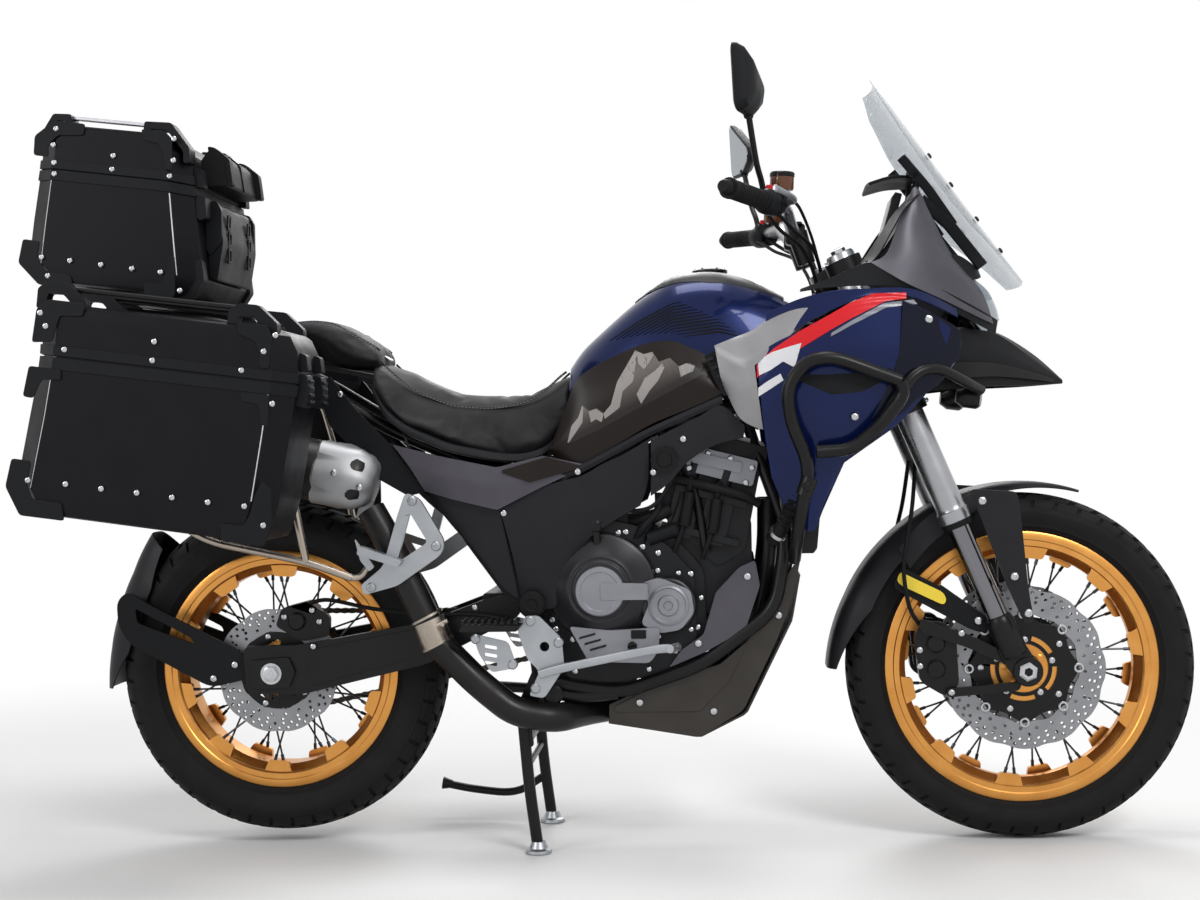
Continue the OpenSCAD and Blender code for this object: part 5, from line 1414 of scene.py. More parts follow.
def make_frame():
    """Frame tubes, swingarm, crash bars, bash plate and the side stand's bracket."""
    spars = [bent([[1060, -24, 905], [960, -60, 850], [740, -108, 800], [560, -112, 690], [500, -112, 560],
                   [498, -112, 470], [512, -112, 330]], 16), bent([[1074, -22, 880], [985, -60, 790],
                                                                   [975, -110, 680], [975, -132, 560],
                                                                   [955, -138, 452], [816, -138, 350],
                                                                   [665, -138, 300], [532, -134, 318]], 13),
             bent([[900, -72, 838], [930, -100, 740], [972, -124, 620]], 10),
             bent([[740, -108, 798], [806, -116, 700], [830, -118, 560]], 9)]
    head = rounded_slab([[1030, 800], [1050, 930], [1090, 925], [1100, 800]], 8, 3, -24, -14)
    lug = rounded_slab([[462, 262], [496, 262], [540, 330], [500, 345]], 8, 3, -121, -114)
    boss = placed(revolve([[16, -8], [20, -4], [20, 6], [14, 10]], n=28), [[505, -142, 470]], (0, -1, 0))
    low = placed(revolve([[17, -6], [19, 0], [19, 10], [15, 13]], n=28), [[540, -150, 300]], (0, -1, 0))
    stay = bent([[540, -142, 300], [585, -140, 292], [660, -139, 298]], 11)
    cross = bent([[505, -112, 470], [505, 112, 470]], 18)
    part("frame_tubes", join(both(join(*spars, head, lug, boss, low, stay)), cross,
                             bent([[498, -112, 560], [498, 112, 560]], 14), bent([[560, -112, 690], [560, 112, 690]],
            12)), "powder_black", "frame", ["main_frame"])
    neck = revolve([[30, 566], [30, 590], [26, 596], [26, 780], [30, 790], [30, 808]], (-44, 0, 0), (0, 0, 1), 40)
    side_bracket = join(placed(revolve([[18, -46], [18, -20]], n=24), [[590, 183, 262]], (0, 0.9613, 0.2756)),
                        rounded_slab([[575, 250], [605, 250], [620, 310], [580, 310]], 6, 3, 128, 140))
    part("steering_neck", neck, "powder_black", to=forked)
    welded("side_stand_bracket", side_bracket, "powder_black")
    tail = [bent([[530, -80, 697], [400, -96, 725], [230, -100, 800], [60, -100, 905], [-60, -96, 950],
                  [-250, -90, 985]], 11), bent([[505, -142, 545], [330, -120, 650], [200, -100, 780]], 10)]
    floor = lofted([[[-340, -70, 1000], [-150, -84, 962], [60, -88, 934], [210, -90, 905]], [[-340, 0, 996],
            [-150, 0, 958], [60, 0, 930], [210, 0, 900]], [[-340, 70, 1000], [-150, 84, 962], [60, 88, 934],
                                                           [210, 90, 905]]], nu=24, nv=6)
    part("subframe_tubes", both(join(*tail)), "powder_black", "frame", ["main_frame"])
    welded("tail_tray", thick(floor, 5, (0, 0, -1)), "moulded_black", bevel=0.001)
    # swingarm: box beams with a raised web, adjuster blocks and axle nut
    beam = rounded([[-56, 392], [56, 394], [300, 436], [420, 480], [470, 486], [478, 446], [300, 356], [56, 300],
                    [-48, 304]], [16, 10, 20, 20, 12, 12, 20, 14, 16], 4)
    inset = rounded([[70, 384], [290, 424], [400, 464], [400, 440], [290, 372], [70, 316]], 8, 3)
    arm = both(join(slab(beam, -124, -103), slab(inset, -127, -102)))
    yoke = join(rounded_slab([[404, 450], [472, 450], [472, 486], [404, 486]], 6, 2, -102, 102))
    welded("swingarm_beams", join(arm, yoke), "powder_black", "frame", ["swingarm"], bevel=0.004, segments=3)
    blocks = both(rounded_slab([[-40, 366], [34, 372], [46, 344], [34, 314], [-36, 312]], 6, 3, -132, -124))
    welded("axle_blocks", blocks, "powder_black", bevel=0.002)
    axle = join(revolve([[12, -126], [12, 126]], (0, 0, 341), (0, 1, 0), 32),
                both(placed(nut(15, 12), [[0, -131, 341]], (0, -1, 0))),
                both(side_screws([[-30, -126, 352], [82, -127, 392], [320, -127, 436], [392, -127, 462]], 6, 5, 14)))
    part("rear_axle", axle, "bare_aluminium")
    coil = np.linspace(0, 1, 260)
    helix = np.stack([441 + 32 * coil, 0 * coil, 495 + 140 * coil], 1) + np.stack(
        [22 * np.cos(coil * 2 * math.pi * 7), 22 * np.sin(coil * 2 * math.pi * 7), 0 * coil], 1)
    part("shock_spring", sweep(helix, 5.5, 10), "spring_red", "frame", ["rear_shock"])
    part("shock_body", join(sweep([[441, 0, 488], [475, 0, 690]], 12, 20), sweep([[468, 0, 640], [475, 0, 695]], 19,
            24)), "powder_black")
    # crash bars
    loops = [bent([[992, -164, 548], [994, -236, 588], [1004, -272, 655], [1018, -274, 720], [985, -282, 800],
                   [980, -284, 860], [1012, -286, 905], [1060, -288, 914], [1180, -276, 868]], 12, 34, 20),
             bent([[1180, -276, 868], [1188, -270, 845], [1140, -268, 785], [1092, -270, 748], [1030, -274, 745]], 12,
                  24, 20), bent([[1150, -262, 800], [1176, -262, 842], [1210, -256, 884], [1250, -240, 892],
                                 [1300, -200, 868], [1338, -150, 852]], 10, 26, 18)]
    part("crash_bar_tubes", both(join(*loops)), "powder_black", "frame", ["crash_bars"])
    clamp = join(sweep([[1006, -274, 668], [1018, -275, 700]], 15, 24), placed(nut(7, 6), [[1012, -290, 684]],
            (0, -1, 0)))
    welded("crash_bar_clamps", both(clamp), "powder_black")
    # bash plate: a bent floor with raised sides
    side = rounded([[642, 240], [811, 214], [893, 262], [958, 394], [988, 468], [1004, 542], [990, 531], [906, 396],
                    [851, 350], [750, 322], [642, 276]], [4, 10, 12, 10, 8, 4, 4, 10, 10, 8, 4], 3)
    P = lofted([[[640, -122, 240], [812, -122, 212], [900, -122, 256], [988, -122, 430], [1004, -122, 515]],
                [[640, 122, 240], [812, 122, 212], [900, 122, 256], [988, 122, 430], [1004, 122, 515]]], nu=50, nv=8,
               curve=False)
    plate = join(both(slab(side, -125, -121)), thick(P, 4, (0, 0, 1)))
    ribs = join(*[rounded_slab([[690, 232 - 3], [815, 208], [893, 250], [889, 256], [812, 214], [692, 236]], 2, 2,
                               y - 3, y + 3) for y in (-70, 0, 70)])
    welded("bash_plate", join(plate, ribs), "skid_grey", "frame", ["skid_plate"], bevel=0.002)
    upper = rounded_slab([[920, 545], [928, 498], [900, 417], [824, 375], [756, 347], [781, 380], [822, 408],
                          [846, 486], [890, 532]], 6, 3, -147, -141)
    facet = rounded_slab([[652, 262], [812, 262], [868, 318], [906, 396], [851, 350], [750, 322], [652, 272]], 5, 2,
                         -128, -124)
    welded("bash_facets", both(facet), "skid_grey", bevel=0.0015)
    # the upper side plates are real, but their grey, lighter than the skid plate's, is painted light falling on the
    # upper facet
    welded("bash_side_guards", both(upper), "grey_satin", bevel=0.0015)
    part("bash_screws", both(side_screws([[700, -128, 280], [838, -125, 262], [812, -147, 392], [905, -147, 515],
                                                              [962, -125, 440]], 7, 5, 16)), "bare_aluminium")


def make_feet():
    """Footpegs, heel plates, brake pedal and gear lever."""
    peg = rounded_slab([[380, 430], [486, 430], [494, 440], [388, 444]], 3, 2, -262, -206)
    teeth = join(*[slab([[384 + 12 * k, 443], [392 + 12 * k, 443], [390 + 12 * k, 451], [386 + 12 * k, 451]],
                        -262 + 8 * j, -256 + 8 * j) for k in range(9) for j in (0, 3, 6)])
    welded("footpeg_pads", both(join(peg, teeth)), "powder_black", "frame", ["footpegs_and_pedals"], bevel=0.001,
           segments=1)
    plate = rounded_slab([[496, 452], [520, 452], [562, 410], [566, 356], [528, 300], [500, 305], [520, 350],
                          [498, 372], [480, 425]], [6, 6, 10, 12, 8, 6, 10, 8, 8], 4, -200, -190,
                         [circle(9, 16, (530, 395))])
    heel = rounded_slab([[396, 420], [462, 404], [478, 356], [430, 348], [408, 382]], 8, 3, -196, -191,
                        [rounded([[418, 400 - 15 * k], [442, 396 - 15 * k], [441, 389 - 15 * k], [418, 393 - 15 * k]],
                                 3, 2) for k in range(3)])
    mount = join(*[placed(revolve([[9, -10], [9, 4], [7, 6]], n=20), [p], (0, -1, 0)) for p in ([505, -198, 442],
            [556, -198, 402], [512, -198, 318], [402, -194, 410], [470, -194, 362])])
    welded("footpeg_hangers", both(join(plate, heel, mount)), "cast_aluminium", bevel=0.002)
    brake = join(ribbon(evenly(smooth([[520, -210, 345], [560, -214, 356], [652, -226, 376], [740, -232, 392],
                                       [776, -233, 392]], 40), 30), rounded([[-4, -8], [4, -8], [4, 8], [-4, 8]], 3,
            2)), sweep([[762, -250, 394], [776, -218, 394]], 8, 14))
    shift = join(bent([[560, 214, 360], [680, 222, 372], [776, 230, 396]], 6),
                 sweep([[776, 218, 396], [778, 250, 398]], 8, 14))
    welded("foot_levers", join(brake, shift), "cast_aluminium", "frame", ["footpegs_and_pedals"], bevel=0.001)
    outline = rounded([[280, 684], [306, 672], [352, 592], [344, 568], [262, 512], [200, 496], [194, 514], [236, 548],
                       [264, 640]], [10, 10, 12, 12, 10, 6, 6, 10, 10], 4)
    hole = rounded([[288, 646], [320, 592], [262, 554]], [6, 8, 6], 3)
    hanger = slab(outline, -218, -206, [hole])
    bolts = side_screws([[293, -218, 668], [336, -218, 584], [214, -218, 510]], 9, 6, 18)
    peg = join(rounded_slab([[192, 572], [268, 548], [276, 560], [196, 588]], 4, 2, -242, -217),
               rounded_slab([[186, 600], [196, 560], [212, 540], [222, 548], [204, 576]], 3, 2, -228, -220))
    welded("pillion_hangers", both(join(hanger, bolts, peg)), "cast_aluminium", "frame", ["footpegs_and_pedals"],
           bevel=0.0025)
    legs = both(join(bent([[478, -135, 278], [490, -135, 120], [503, -135, 16]], 11),
                     placed(revolve([[7, -35], [7, 0]], n=20), [[478, -135, 278]], (0, -1, 0)),
                     rounded_slab([[462, 292], [494, 292], [500, 200], [480, 200]], 6, 3, -140, -130)))
    cross = join(bent([[484, -135, 205], [484, 135, 205]], 9), bent([[486, -135, 160], [486, 135, 160]], 6),
                 bent([[492, 135, 95], [430, 159, 52], [337, 171, 60], [280, 171, 72]], 8),
                 sweep([[296, 171, 70], [276, 171, 73]], [8, 13], 12))
    welded("centre_stand_tubes", join(legs, cross), "powder_black", "centre_stand", ["centre_stand"])
    foot = stamped(revolve([[24, 0], [25, 2], [24, 7], [18, 10], [13, 22]], n=40), [pose([505, s * 135, 0])
            for s in (-1, 1)])
    part("centre_stand_feet", foot, "cast_aluminium", "centre_stand")
    prop = join(bent([[590, 183, 262], [480, 192, 262], [372, 198, 268]], 11), rounded_slab([[340, 262], [384, 262],
            [384, 276], [346, 280]], 4, 2, 186, 212), placed(revolve([[16, -14], [16, 14]], n=28), [[590, 183, 262]],
                                                             (0, 0.9613, 0.2756)))
    welded("side_stand_leg", prop, "powder_black", "side_stand", ["side_stand"], bevel=0.001)


# ---------- cases and their racks ----------


def vessel(levels, y0, y1, r, wall, n=1):
    """Hollow case half: chamfered rectangles from level to level up the outside, over the rim and back down inside.

    A level is (back point, front point, inset) in X and Z; the rim is the last level. Its ends are closed.
    """
    def ring(level, off):
        """Rounded rectangle of one level, moved in by off."""
        (xb, zb), (xf, zf), inset = level
        long = np.hypot(xf - xb, zf - zb)
        a0, a1 = y0 + inset + off, y1 - inset - off
        end = long - 2 * (inset + off)
        o = rounded([[0, a0], [end, a0], [end, a1], [0, a1]], max(r - 0.6 * off, 3), n)
        k = ((inset + off) + o[:, 0]) / long
        return np.stack([xb + (xf - xb) * k, o[:, 1], zb + (zf - zb) * k], 1)
    outer = [ring(level, 0) for level in levels]
    inner = [ring(level, wall) for level in levels[::-1][:-1]]
    floor = ring(levels[0], wall) + [0, 0, wall * np.sign(levels[-1][0][1] - levels[0][0][1])]
    return grid(np.stack([*outer, *inner, floor]), wrap_v=True, cap_u=True)


def cover_cap(points, y, t):
    """Moulded guard on a case's corner: a thin plate with rounded outline."""
    return rounded_slab(points, 5, 2, y - t, y)


def dots(spots, y):
    """Bright rivet heads on a case's outer side, at points given in X and Z."""
    return side_screws([[x, y, z] for x, z in spots], 5.0, 3.0, 14)


# Side cases: inner and outer Y of the right one; corner reach and wall of every case, mm
SIDE_OUT, SIDE_IN = -480, -245
TOP_HALF = 205
CORNER, WALL = 38, 2.5
# Levels of the cases for vessel(), from the floor or the top to the rim, and the spots of the rivets
SIDE_BODY = [([-331, 668], [74, 609], 9), ([-338, 671], [80, 612], 2), ([-344, 683], [84, 624], 0),
             ([-360, 716], [101, 676], 0), ([-334, 836], [121, 784], 0), ([-311, 939], [138, 877], 0)]
SIDE_LID = [([-284, 1029], [112, 974], 10), ([-292, 1026], [120, 970], 3), ([-299, 1018], [128, 962], 0),
            ([-304, 1004], [140, 934], 0), ([-308, 972], [139, 906], 0), ([-311, 940.6], [138, 878.8], 0)]
TOP_BODY = [([-398, 1090], [-134, 1055], 9), ([-403, 1093], [-129, 1056], 2), ([-410, 1100], [-123, 1062], 0),
            ([-440, 1128], [-106, 1090], 0), ([-428, 1210], [-112, 1173], 0), ([-412, 1303], [-118, 1264], 0)]
TOP_LID = [([-362, 1384], [-165, 1360], 10), ([-371, 1382], [-157, 1358], 3), ([-380, 1377], [-149, 1352], 0),
           ([-404, 1360], [-121, 1324], 0), ([-408, 1332], [-119.5, 1295], 0), ([-412, 1304.6], [-118, 1265.6], 0)]
SIDE_RIVETS = [[-324, 724], [-258, 716], [-196, 707], [-134, 699], [-73, 690], [-11, 681], [52, 673], [104, 846],
               [84, 640]]
SIDE_LID_RIVETS = [[-287, 987], [-98, 956], [91, 935], [-255, 946], [-102, 924], [52, 904], [-296, 1010], [112, 962]]
TOP_RIVETS = [[-399, 1135], [-345, 1127], [-286, 1118], [-227, 1109], [-173, 1101], [-388, 1100], [-137, 1066],
              [-371, 1290]]
TOP_LID_RIVETS = [[-372, 1344], [-258, 1320], [-144, 1308], [-371, 1311], [-261, 1295], [-152, 1279], [-366, 1374],
                  [-142, 1348]]


def make_side_cases():
    """Both side cases with their lids, guards, grips, catches and racks."""
    for side, tag in ((RIGHT, "right"), (LEFT, "left")):
        turn = (lambda s: s) if side == RIGHT else mirrored
        lid = tag + "_lid"

        def fit(name, shape, finish, body="frame", replaces=(), **how):
            welded(name + "_" + tag, turn(shape), finish, body, replaces, **how)

        fit("side_case_body", vessel(SIDE_BODY, SIDE_OUT, SIDE_IN, CORNER, WALL), "case_black", "frame",
            ["side_cases"], bevel=0.0014, crease=30)
        fit("side_case_lid", vessel(SIDE_LID, SIDE_OUT, SIDE_IN, CORNER, WALL), "case_black", lid,
            ["side_case_" + tag + "_lid"], bevel=0.0014, crease=30)
        fit("side_case_lip", vessel([([-314, 925], [135.6, 863], 3.6), ([-309.4, 948], [139.6, 886], 3.6)], SIDE_OUT,
                                    SIDE_IN, CORNER - 1, 1.6), "gloss_black")
        # painted highlights: bright metal strips along the two folds stand in for the light on the folded edges; then
        # the bands along the split, and the moulded corner guards
        fit("side_case_edges", join(sweep([[97, -479.4, 866], [83.3, -479.4, 789], [63.3, -479.4, 681]], 1.3, 8),
                                    sweep([[-274, -479.4, 934], [-294, -479.4, 831], [-321, -479.4, 711]], 1.0, 8)),
            "bare_aluminium")
        fit("side_case_band", vessel([([-314.4, 918], [134.2, 857], -2.2), ([-311, 938.6], [138, 876.8], -2.2)],
                                     SIDE_OUT, SIDE_IN, CORNER, 6), "moulded_black", bevel=0.0008)
        fit("side_lid_band", vessel([([-309.5, 959], [139, 897], -2.2), ([-311, 942], [138, 880.2], -2.2)], SIDE_OUT,
                                    SIDE_IN, CORNER, 6), "moulded_black", lid, bevel=0.0008)
        corners = join(cover_cap([[-352, 762], [-364, 714], [-340, 664], [-262, 653], [-266, 684], [-318, 692],
                                  [-326, 716], [-318, 757]], -480, 3.5), cover_cap([[10, 645], [12, 614], [84, 604],
                [98, 640], [98, 700], [84, 716], [70, 690], [62, 660], [50, 640]], -480, 3.5),
                       cover_cap([[-318, 920], [-330, 868], [-312, 864], [-296, 896], [-262, 894], [-262, 912]], -480,
                                 3), cover_cap([[98, 862], [96, 806], [82, 812], [80, 846], [50, 852], [50, 868]],
                                               -480, 3))
        fit("side_case_corners", corners, "moulded_black", bevel=0.0015)
        lid_caps = join(cover_cap([[-312, 960], [-302, 1018], [-282, 1033], [-216, 1024], [-222, 1002], [-262, 1004],
                                   [-276, 960]], -480, 3.5), cover_cap([[100, 906], [106, 958], [98, 979], [46, 986],
                [50, 964], [76, 954], [84, 932], [82, 908]], -480, 3.5))
        fit("side_lid_corners", lid_caps, "moulded_black", lid, bevel=0.0015)
        # angular grips at both ends of the lid with a rail between them, and latches with hooks on the front end
        grips = [rounded_slab([[x0 - 8, z0 - 12], [x0 - 4, z0 + 22], [x0 + 14, z0 + 34], [x0 + 48, z0 + 30],
                               [x0 + 80, z0 - 2], [x0 + 80, z0 - 22], [x0 + 66, z0 - 20], [x0 + 40, z0 + 10],
                               [x0 + 14, z0 + 12], [x0 + 8, z0 - 14]], 4, 2, y, y + 26) for x0, z0 in ((-300, 1032),
                (32, 985)) for y in (-470, -282)]
        fit("side_lid_grips", join(*grips), "moulded_black", lid, bevel=0.002)
        fit("side_lid_rails", join(*[sweep([[-256, y, 1052], [44, y, 1012]], 4.5, 10) for y in (-457, -269)]),
            "powder_black", lid)
        latch = [rounded_slab([[128, 900], [152, 896], [156, 870], [150, 838], [128, 842]], 4, 2, y, y + 40)
                 for y in (-430, -325)]
        ribs = [slab([[151, 888 - 12 * k], [157, 887 - 12 * k], [157, 882 - 12 * k], [151, 883 - 12 * k]], y + 4,
                     y + 36) for y in (-430, -325) for k in range(4)]
        fit("side_case_catches", join(*latch, *ribs), "moulded_black", bevel=0.0015)
        hooks = [rounded_slab([[136, 936], [150, 930], [153, 902], [140, 902]], 4, 3, y + 6, y + 34) for y in (-430,
                -325)]
        fit("side_lid_hooks", join(*hooks), "moulded_black", lid, bevel=0.002)
        fit("side_case_rivets", dots(SIDE_RIVETS, -482.6), "bare_aluminium")
        fit("side_lid_rivets", dots(SIDE_LID_RIVETS, -482.4), "bare_aluminium", lid)
        rack = [bent([[-190, -232, 960], [-150, -232, 640], [-87, -232, 600], [96, -232, 560], [180, -226, 528]], 7,
                     40, 14), bent([[180, -226, 528], [196, -222, 530], [206, -218, 545]], 6, 10, 12),
                bent([[-140, -232, 900], [20, -232, 880], [70, -232, 700], [96, -232, 560]], 7, 40, 14)]
        part("case_rack_" + tag, turn(join(*rack)), "brushed_steel", "frame",
             ["luggage_rack"] if side == RIGHT else ())
        arms = [bent([[x, -100, zz], [x, -170, zz - 10], [x, -232, zz - 20]], 8, 30, 12) for x, zz in ((-180, 966),
                (40, 900))]
        part("rack_arms_" + tag, turn(join(*arms)), "powder_black")


def make_top_case():
    """Top case with its lid, guards, grips, backrests and rack plate."""
    h = TOP_HALF
    welded("top_case_body", vessel(TOP_BODY, -h, h, CORNER, WALL), "case_black", "frame", ["top_case"], bevel=0.0014,
           crease=30)
    welded("top_case_cover", vessel(TOP_LID, -h, h, CORNER, WALL), "case_black", "top_lid", ["top_case_lid"],
           bevel=0.0014, crease=30)
    welded("top_case_lip", vessel([([-415, 1289], [-116, 1250], 3.6), ([-410.6, 1312], [-118.6, 1273], 3.6)], -h, h,
                                  37, 1.6), "gloss_black")
    welded("top_case_band", vessel([([-415.4, 1284], [-116.4, 1245], -2.2), ([-412, 1303.2], [-118, 1264.2], -2.2)],
                                   -h, h, 38, 6), "moulded_black", bevel=0.0008)
    welded("top_lid_band", vessel([([-409.6, 1322], [-119, 1283], -2.2), ([-412, 1305.6], [-118, 1266.6], -2.2)], -h,
                                  h, 38, 6), "moulded_black", "top_lid", bevel=0.0008)
    # painted highlights: bright metal strips along the two folds on each side stand in for the light on the folded
    # edges
    welded("top_case_edges", both(join(sweep([[-154, -h + 0.6, 1248], [-149.5, -h + 0.6, 1178], [-143.7, -h + 0.6,
            1095]], 1.3, 8), sweep([[-378, -h + 0.6, 1280], [-390, -h + 0.6, 1205], [-402, -h + 0.6, 1123]], 1.0,
                                   8))), "bare_aluminium")
    corners = join(cover_cap([[-434, 1170], [-444, 1126], [-406, 1084], [-340, 1075], [-344, 1100], [-392, 1110],
                              [-408, 1134], [-402, 1165]], -h, 3.5), cover_cap([[-206, 1084], [-204, 1060],
            [-150, 1052], [-146, 1064], [-146, 1130], [-158, 1130], [-160, 1100], [-172, 1080]], -h, 3.5),
                   rounded_slab([[-150, 1054], [-126, 1050], [-100, 1088], [-104, 1126], [-128, 1126], [-132, 1094],
                                 [-150, 1066]], 4, 2, -176, -150))
    welded("top_case_corners", both(corners), "moulded_black", bevel=0.0015)
    # corner guards that turn into angular grips, with a bright rail between them
    caps = join(cover_cap([[-410, 1326], [-407, 1362], [-369, 1389], [-310, 1381], [-314, 1360], [-362, 1362],
                           [-382, 1344], [-382, 1322]], -h, 3.5), cover_cap([[-146, 1290], [-146, 1348], [-160, 1364],
            [-204, 1368], [-200, 1348], [-170, 1340], [-162, 1316], [-160, 1292]], -h, 3.5))
    grips = join(rounded_slab([[-404, 1358], [-374, 1404], [-340, 1402], [-336, 1376], [-346, 1374], [-350, 1390],
                               [-368, 1391], [-388, 1352]], 4, 2, -199, -162),
                 rounded_slab([[-204, 1360], [-200, 1384], [-150, 1380], [-116, 1332], [-116, 1304], [-128, 1304],
                               [-128, 1326], [-158, 1366], [-190, 1370], [-192, 1358]], 4, 2, -199, -162))
    welded("top_lid_corners", both(join(caps, grips)), "moulded_black", "top_lid", bevel=0.002)
    welded("top_lid_rails", both(slab([[-344, 1394], [-198, 1376], [-198, 1382], [-344, 1400]], -190, -172)),
           "bare_aluminium", "top_lid", bevel=0.001)
    welded("top_case_rivets", both(dots(TOP_RIVETS, -h - 2.6)), "bare_aluminium")
    welded("top_lid_rivets", both(dots(TOP_LID_RIVETS, -h - 2.2)), "bare_aluminium", "top_lid")
    # backrests: an upper pad on the lid, a lower hexagonal pad on the body with three small frames
    upper = rounded([[-119, 1320], [-100, 1344], [-76, 1326], [-68, 1272], [-115, 1271]], [5, 10, 12, 8, 4], 5)
    ribs = [rounded_slab([[-106, 1348], [-92, 1345], [-64, 1322], [-58, 1272], [-72, 1272], [-78, 1316],
                          [-104, 1336]], 5, 3, y - 10, y + 10) for y in (-106, 106)]
    seam = rounded_slab([[-98, 1347], [-74, 1327], [-66, 1274], [-72, 1274], [-80, 1322], [-100, 1340]], 3, 2, -2, 2)
    welded("backrest_upper", join(slab(upper, -118, 118), *ribs, seam), "soft_rubber", "top_lid", bevel=0.006,
           segments=3)
    lower = rounded([[-111, 1244], [-88, 1238], [-78, 1166], [-92, 1088], [-106, 1100]], [4, 8, 10, 8, 4], 4)
    sides = both(rounded_slab([[-112, 1238], [-90, 1244], [-80, 1226], [-80, 1164], [-104, 1138], [-110, 1150]], 5, 3,
                              -122, -110))
    welded("backrest_lower", join(slab(lower, -118, 118), sides), "moulded_black", bevel=0.005, segments=3)
    frame_ = rounded_slab([[-15, -11], [15, -11], [15, 11], [-15, 11]], 4, 3, 0, 3,
                          [rounded([[-10, -6], [10, -6], [10, 6], [-10, 6]], 3, 2)])
    marks = placed(upright(frame_), [[-80 - 0.04 * abs(zz - 1170), y, zz] for y in (-70, 70) for zz in (1206, 1174,
            1142)], (1, 0, -0.05))
    welded("backrest_frames", marks, "moulded_black", bevel=0.0008)
    catch = [rounded_slab([[-116, 1250], [-98, 1246], [-96, 1206], [-108, 1200], [-115, 1206]], 4, 3, y, y + 34)
             for y in (-166, 132)]
    hooks = [rounded_slab([[-120, 1300], [-103, 1296], [-101, 1262], [-117, 1264]], 4, 3, y + 4, y + 30)
             for y in (-166, 132)]
    welded("top_case_catches", join(*catch), "moulded_black", bevel=0.002)
    welded("top_lid_hooks", join(*hooks), "moulded_black", "top_lid", bevel=0.002)
    # rack plate with its slots, and the tail grab rails
    slots = [rounded([[x, y - 6], [x + 44, y - 6], [x + 44, y + 6], [x, y + 6]], 6, 4) for x in (-330, -262, -194,
            -126) for y in (-110, -66, 66, 110)]
    v, q, t = upright(rounded_slab([[-372, -128], [-330, -150], [-70, -150], [-24, -120], [-24, 120], [-70, 150],
                                    [-330, 150], [-372, 128]], 20, 5, 0, 6, [*slots, rounded([[-320, -34], [-90, -34],
            [-90, 34], [-320, 34]], 16, 5)]))
    lift = np.array([0, 0, 1.0]) * (1066 - 0.142 * (v[:, :1] + 376))
    welded("rack_plate", (v + lift, q, t), "case_black", bevel=0.0015)
    pucks = placed(revolve([[20, 0], [20, 8], [15, 11]], n=28), [[x, s * 120, 1068 - 0.142 * (x + 376)]
                                                                 for x in (-350, -60) for s in (-1, 1)], (0, 0, 1))
    stays = join(*[rounded_slab([[-306, 1056], [-250, 1048], [-196, 996], [-236, 994]], 6, 3, y, y + 6)
                   for y in (-106, 100)], *[rounded_slab([[-66, 1024], [-20, 1016], [-6, 966], [-44, 962]], 6, 3, y,
                                                         y + 6) for y in (-114, 108)])
    rails = both(join(bent([[10, -112, 968], [-60, -150, 1006], [-180, -152, 1022], [-300, -138, 1036]], 10, 50, 16),
                      bent([[-180, -152, 1022], [-190, -120, 1000], [-210, -98, 984]], 8, 20, 12)))
    welded("rack_mounts", join(pucks, stays, rails), "powder_black", bevel=0.001, segments=1)


# ---------- tail: mudguard, lamps, rear brake ----------


def arched(cx, cz, radii, half_w, a0, a1, drop, n=60, m=24):
    """Guard over a wheel: arcs about the axle with their edges turned down by drop, from one end to the other."""
    a = np.radians(np.linspace(a0, a1, n))[:, None]
    s = np.linspace(-1, 1, m)[None]
    along = [np.interp(np.linspace(0, 1, n), np.linspace(0, 1, len(k)), k)[:, None] for k in (radii, half_w, drop)]
    r = along[0] - along[2] * np.abs(s) ** 5
    return np.stack([cx + r * np.cos(a), along[1] * s, cz + r * np.sin(a)], -1)


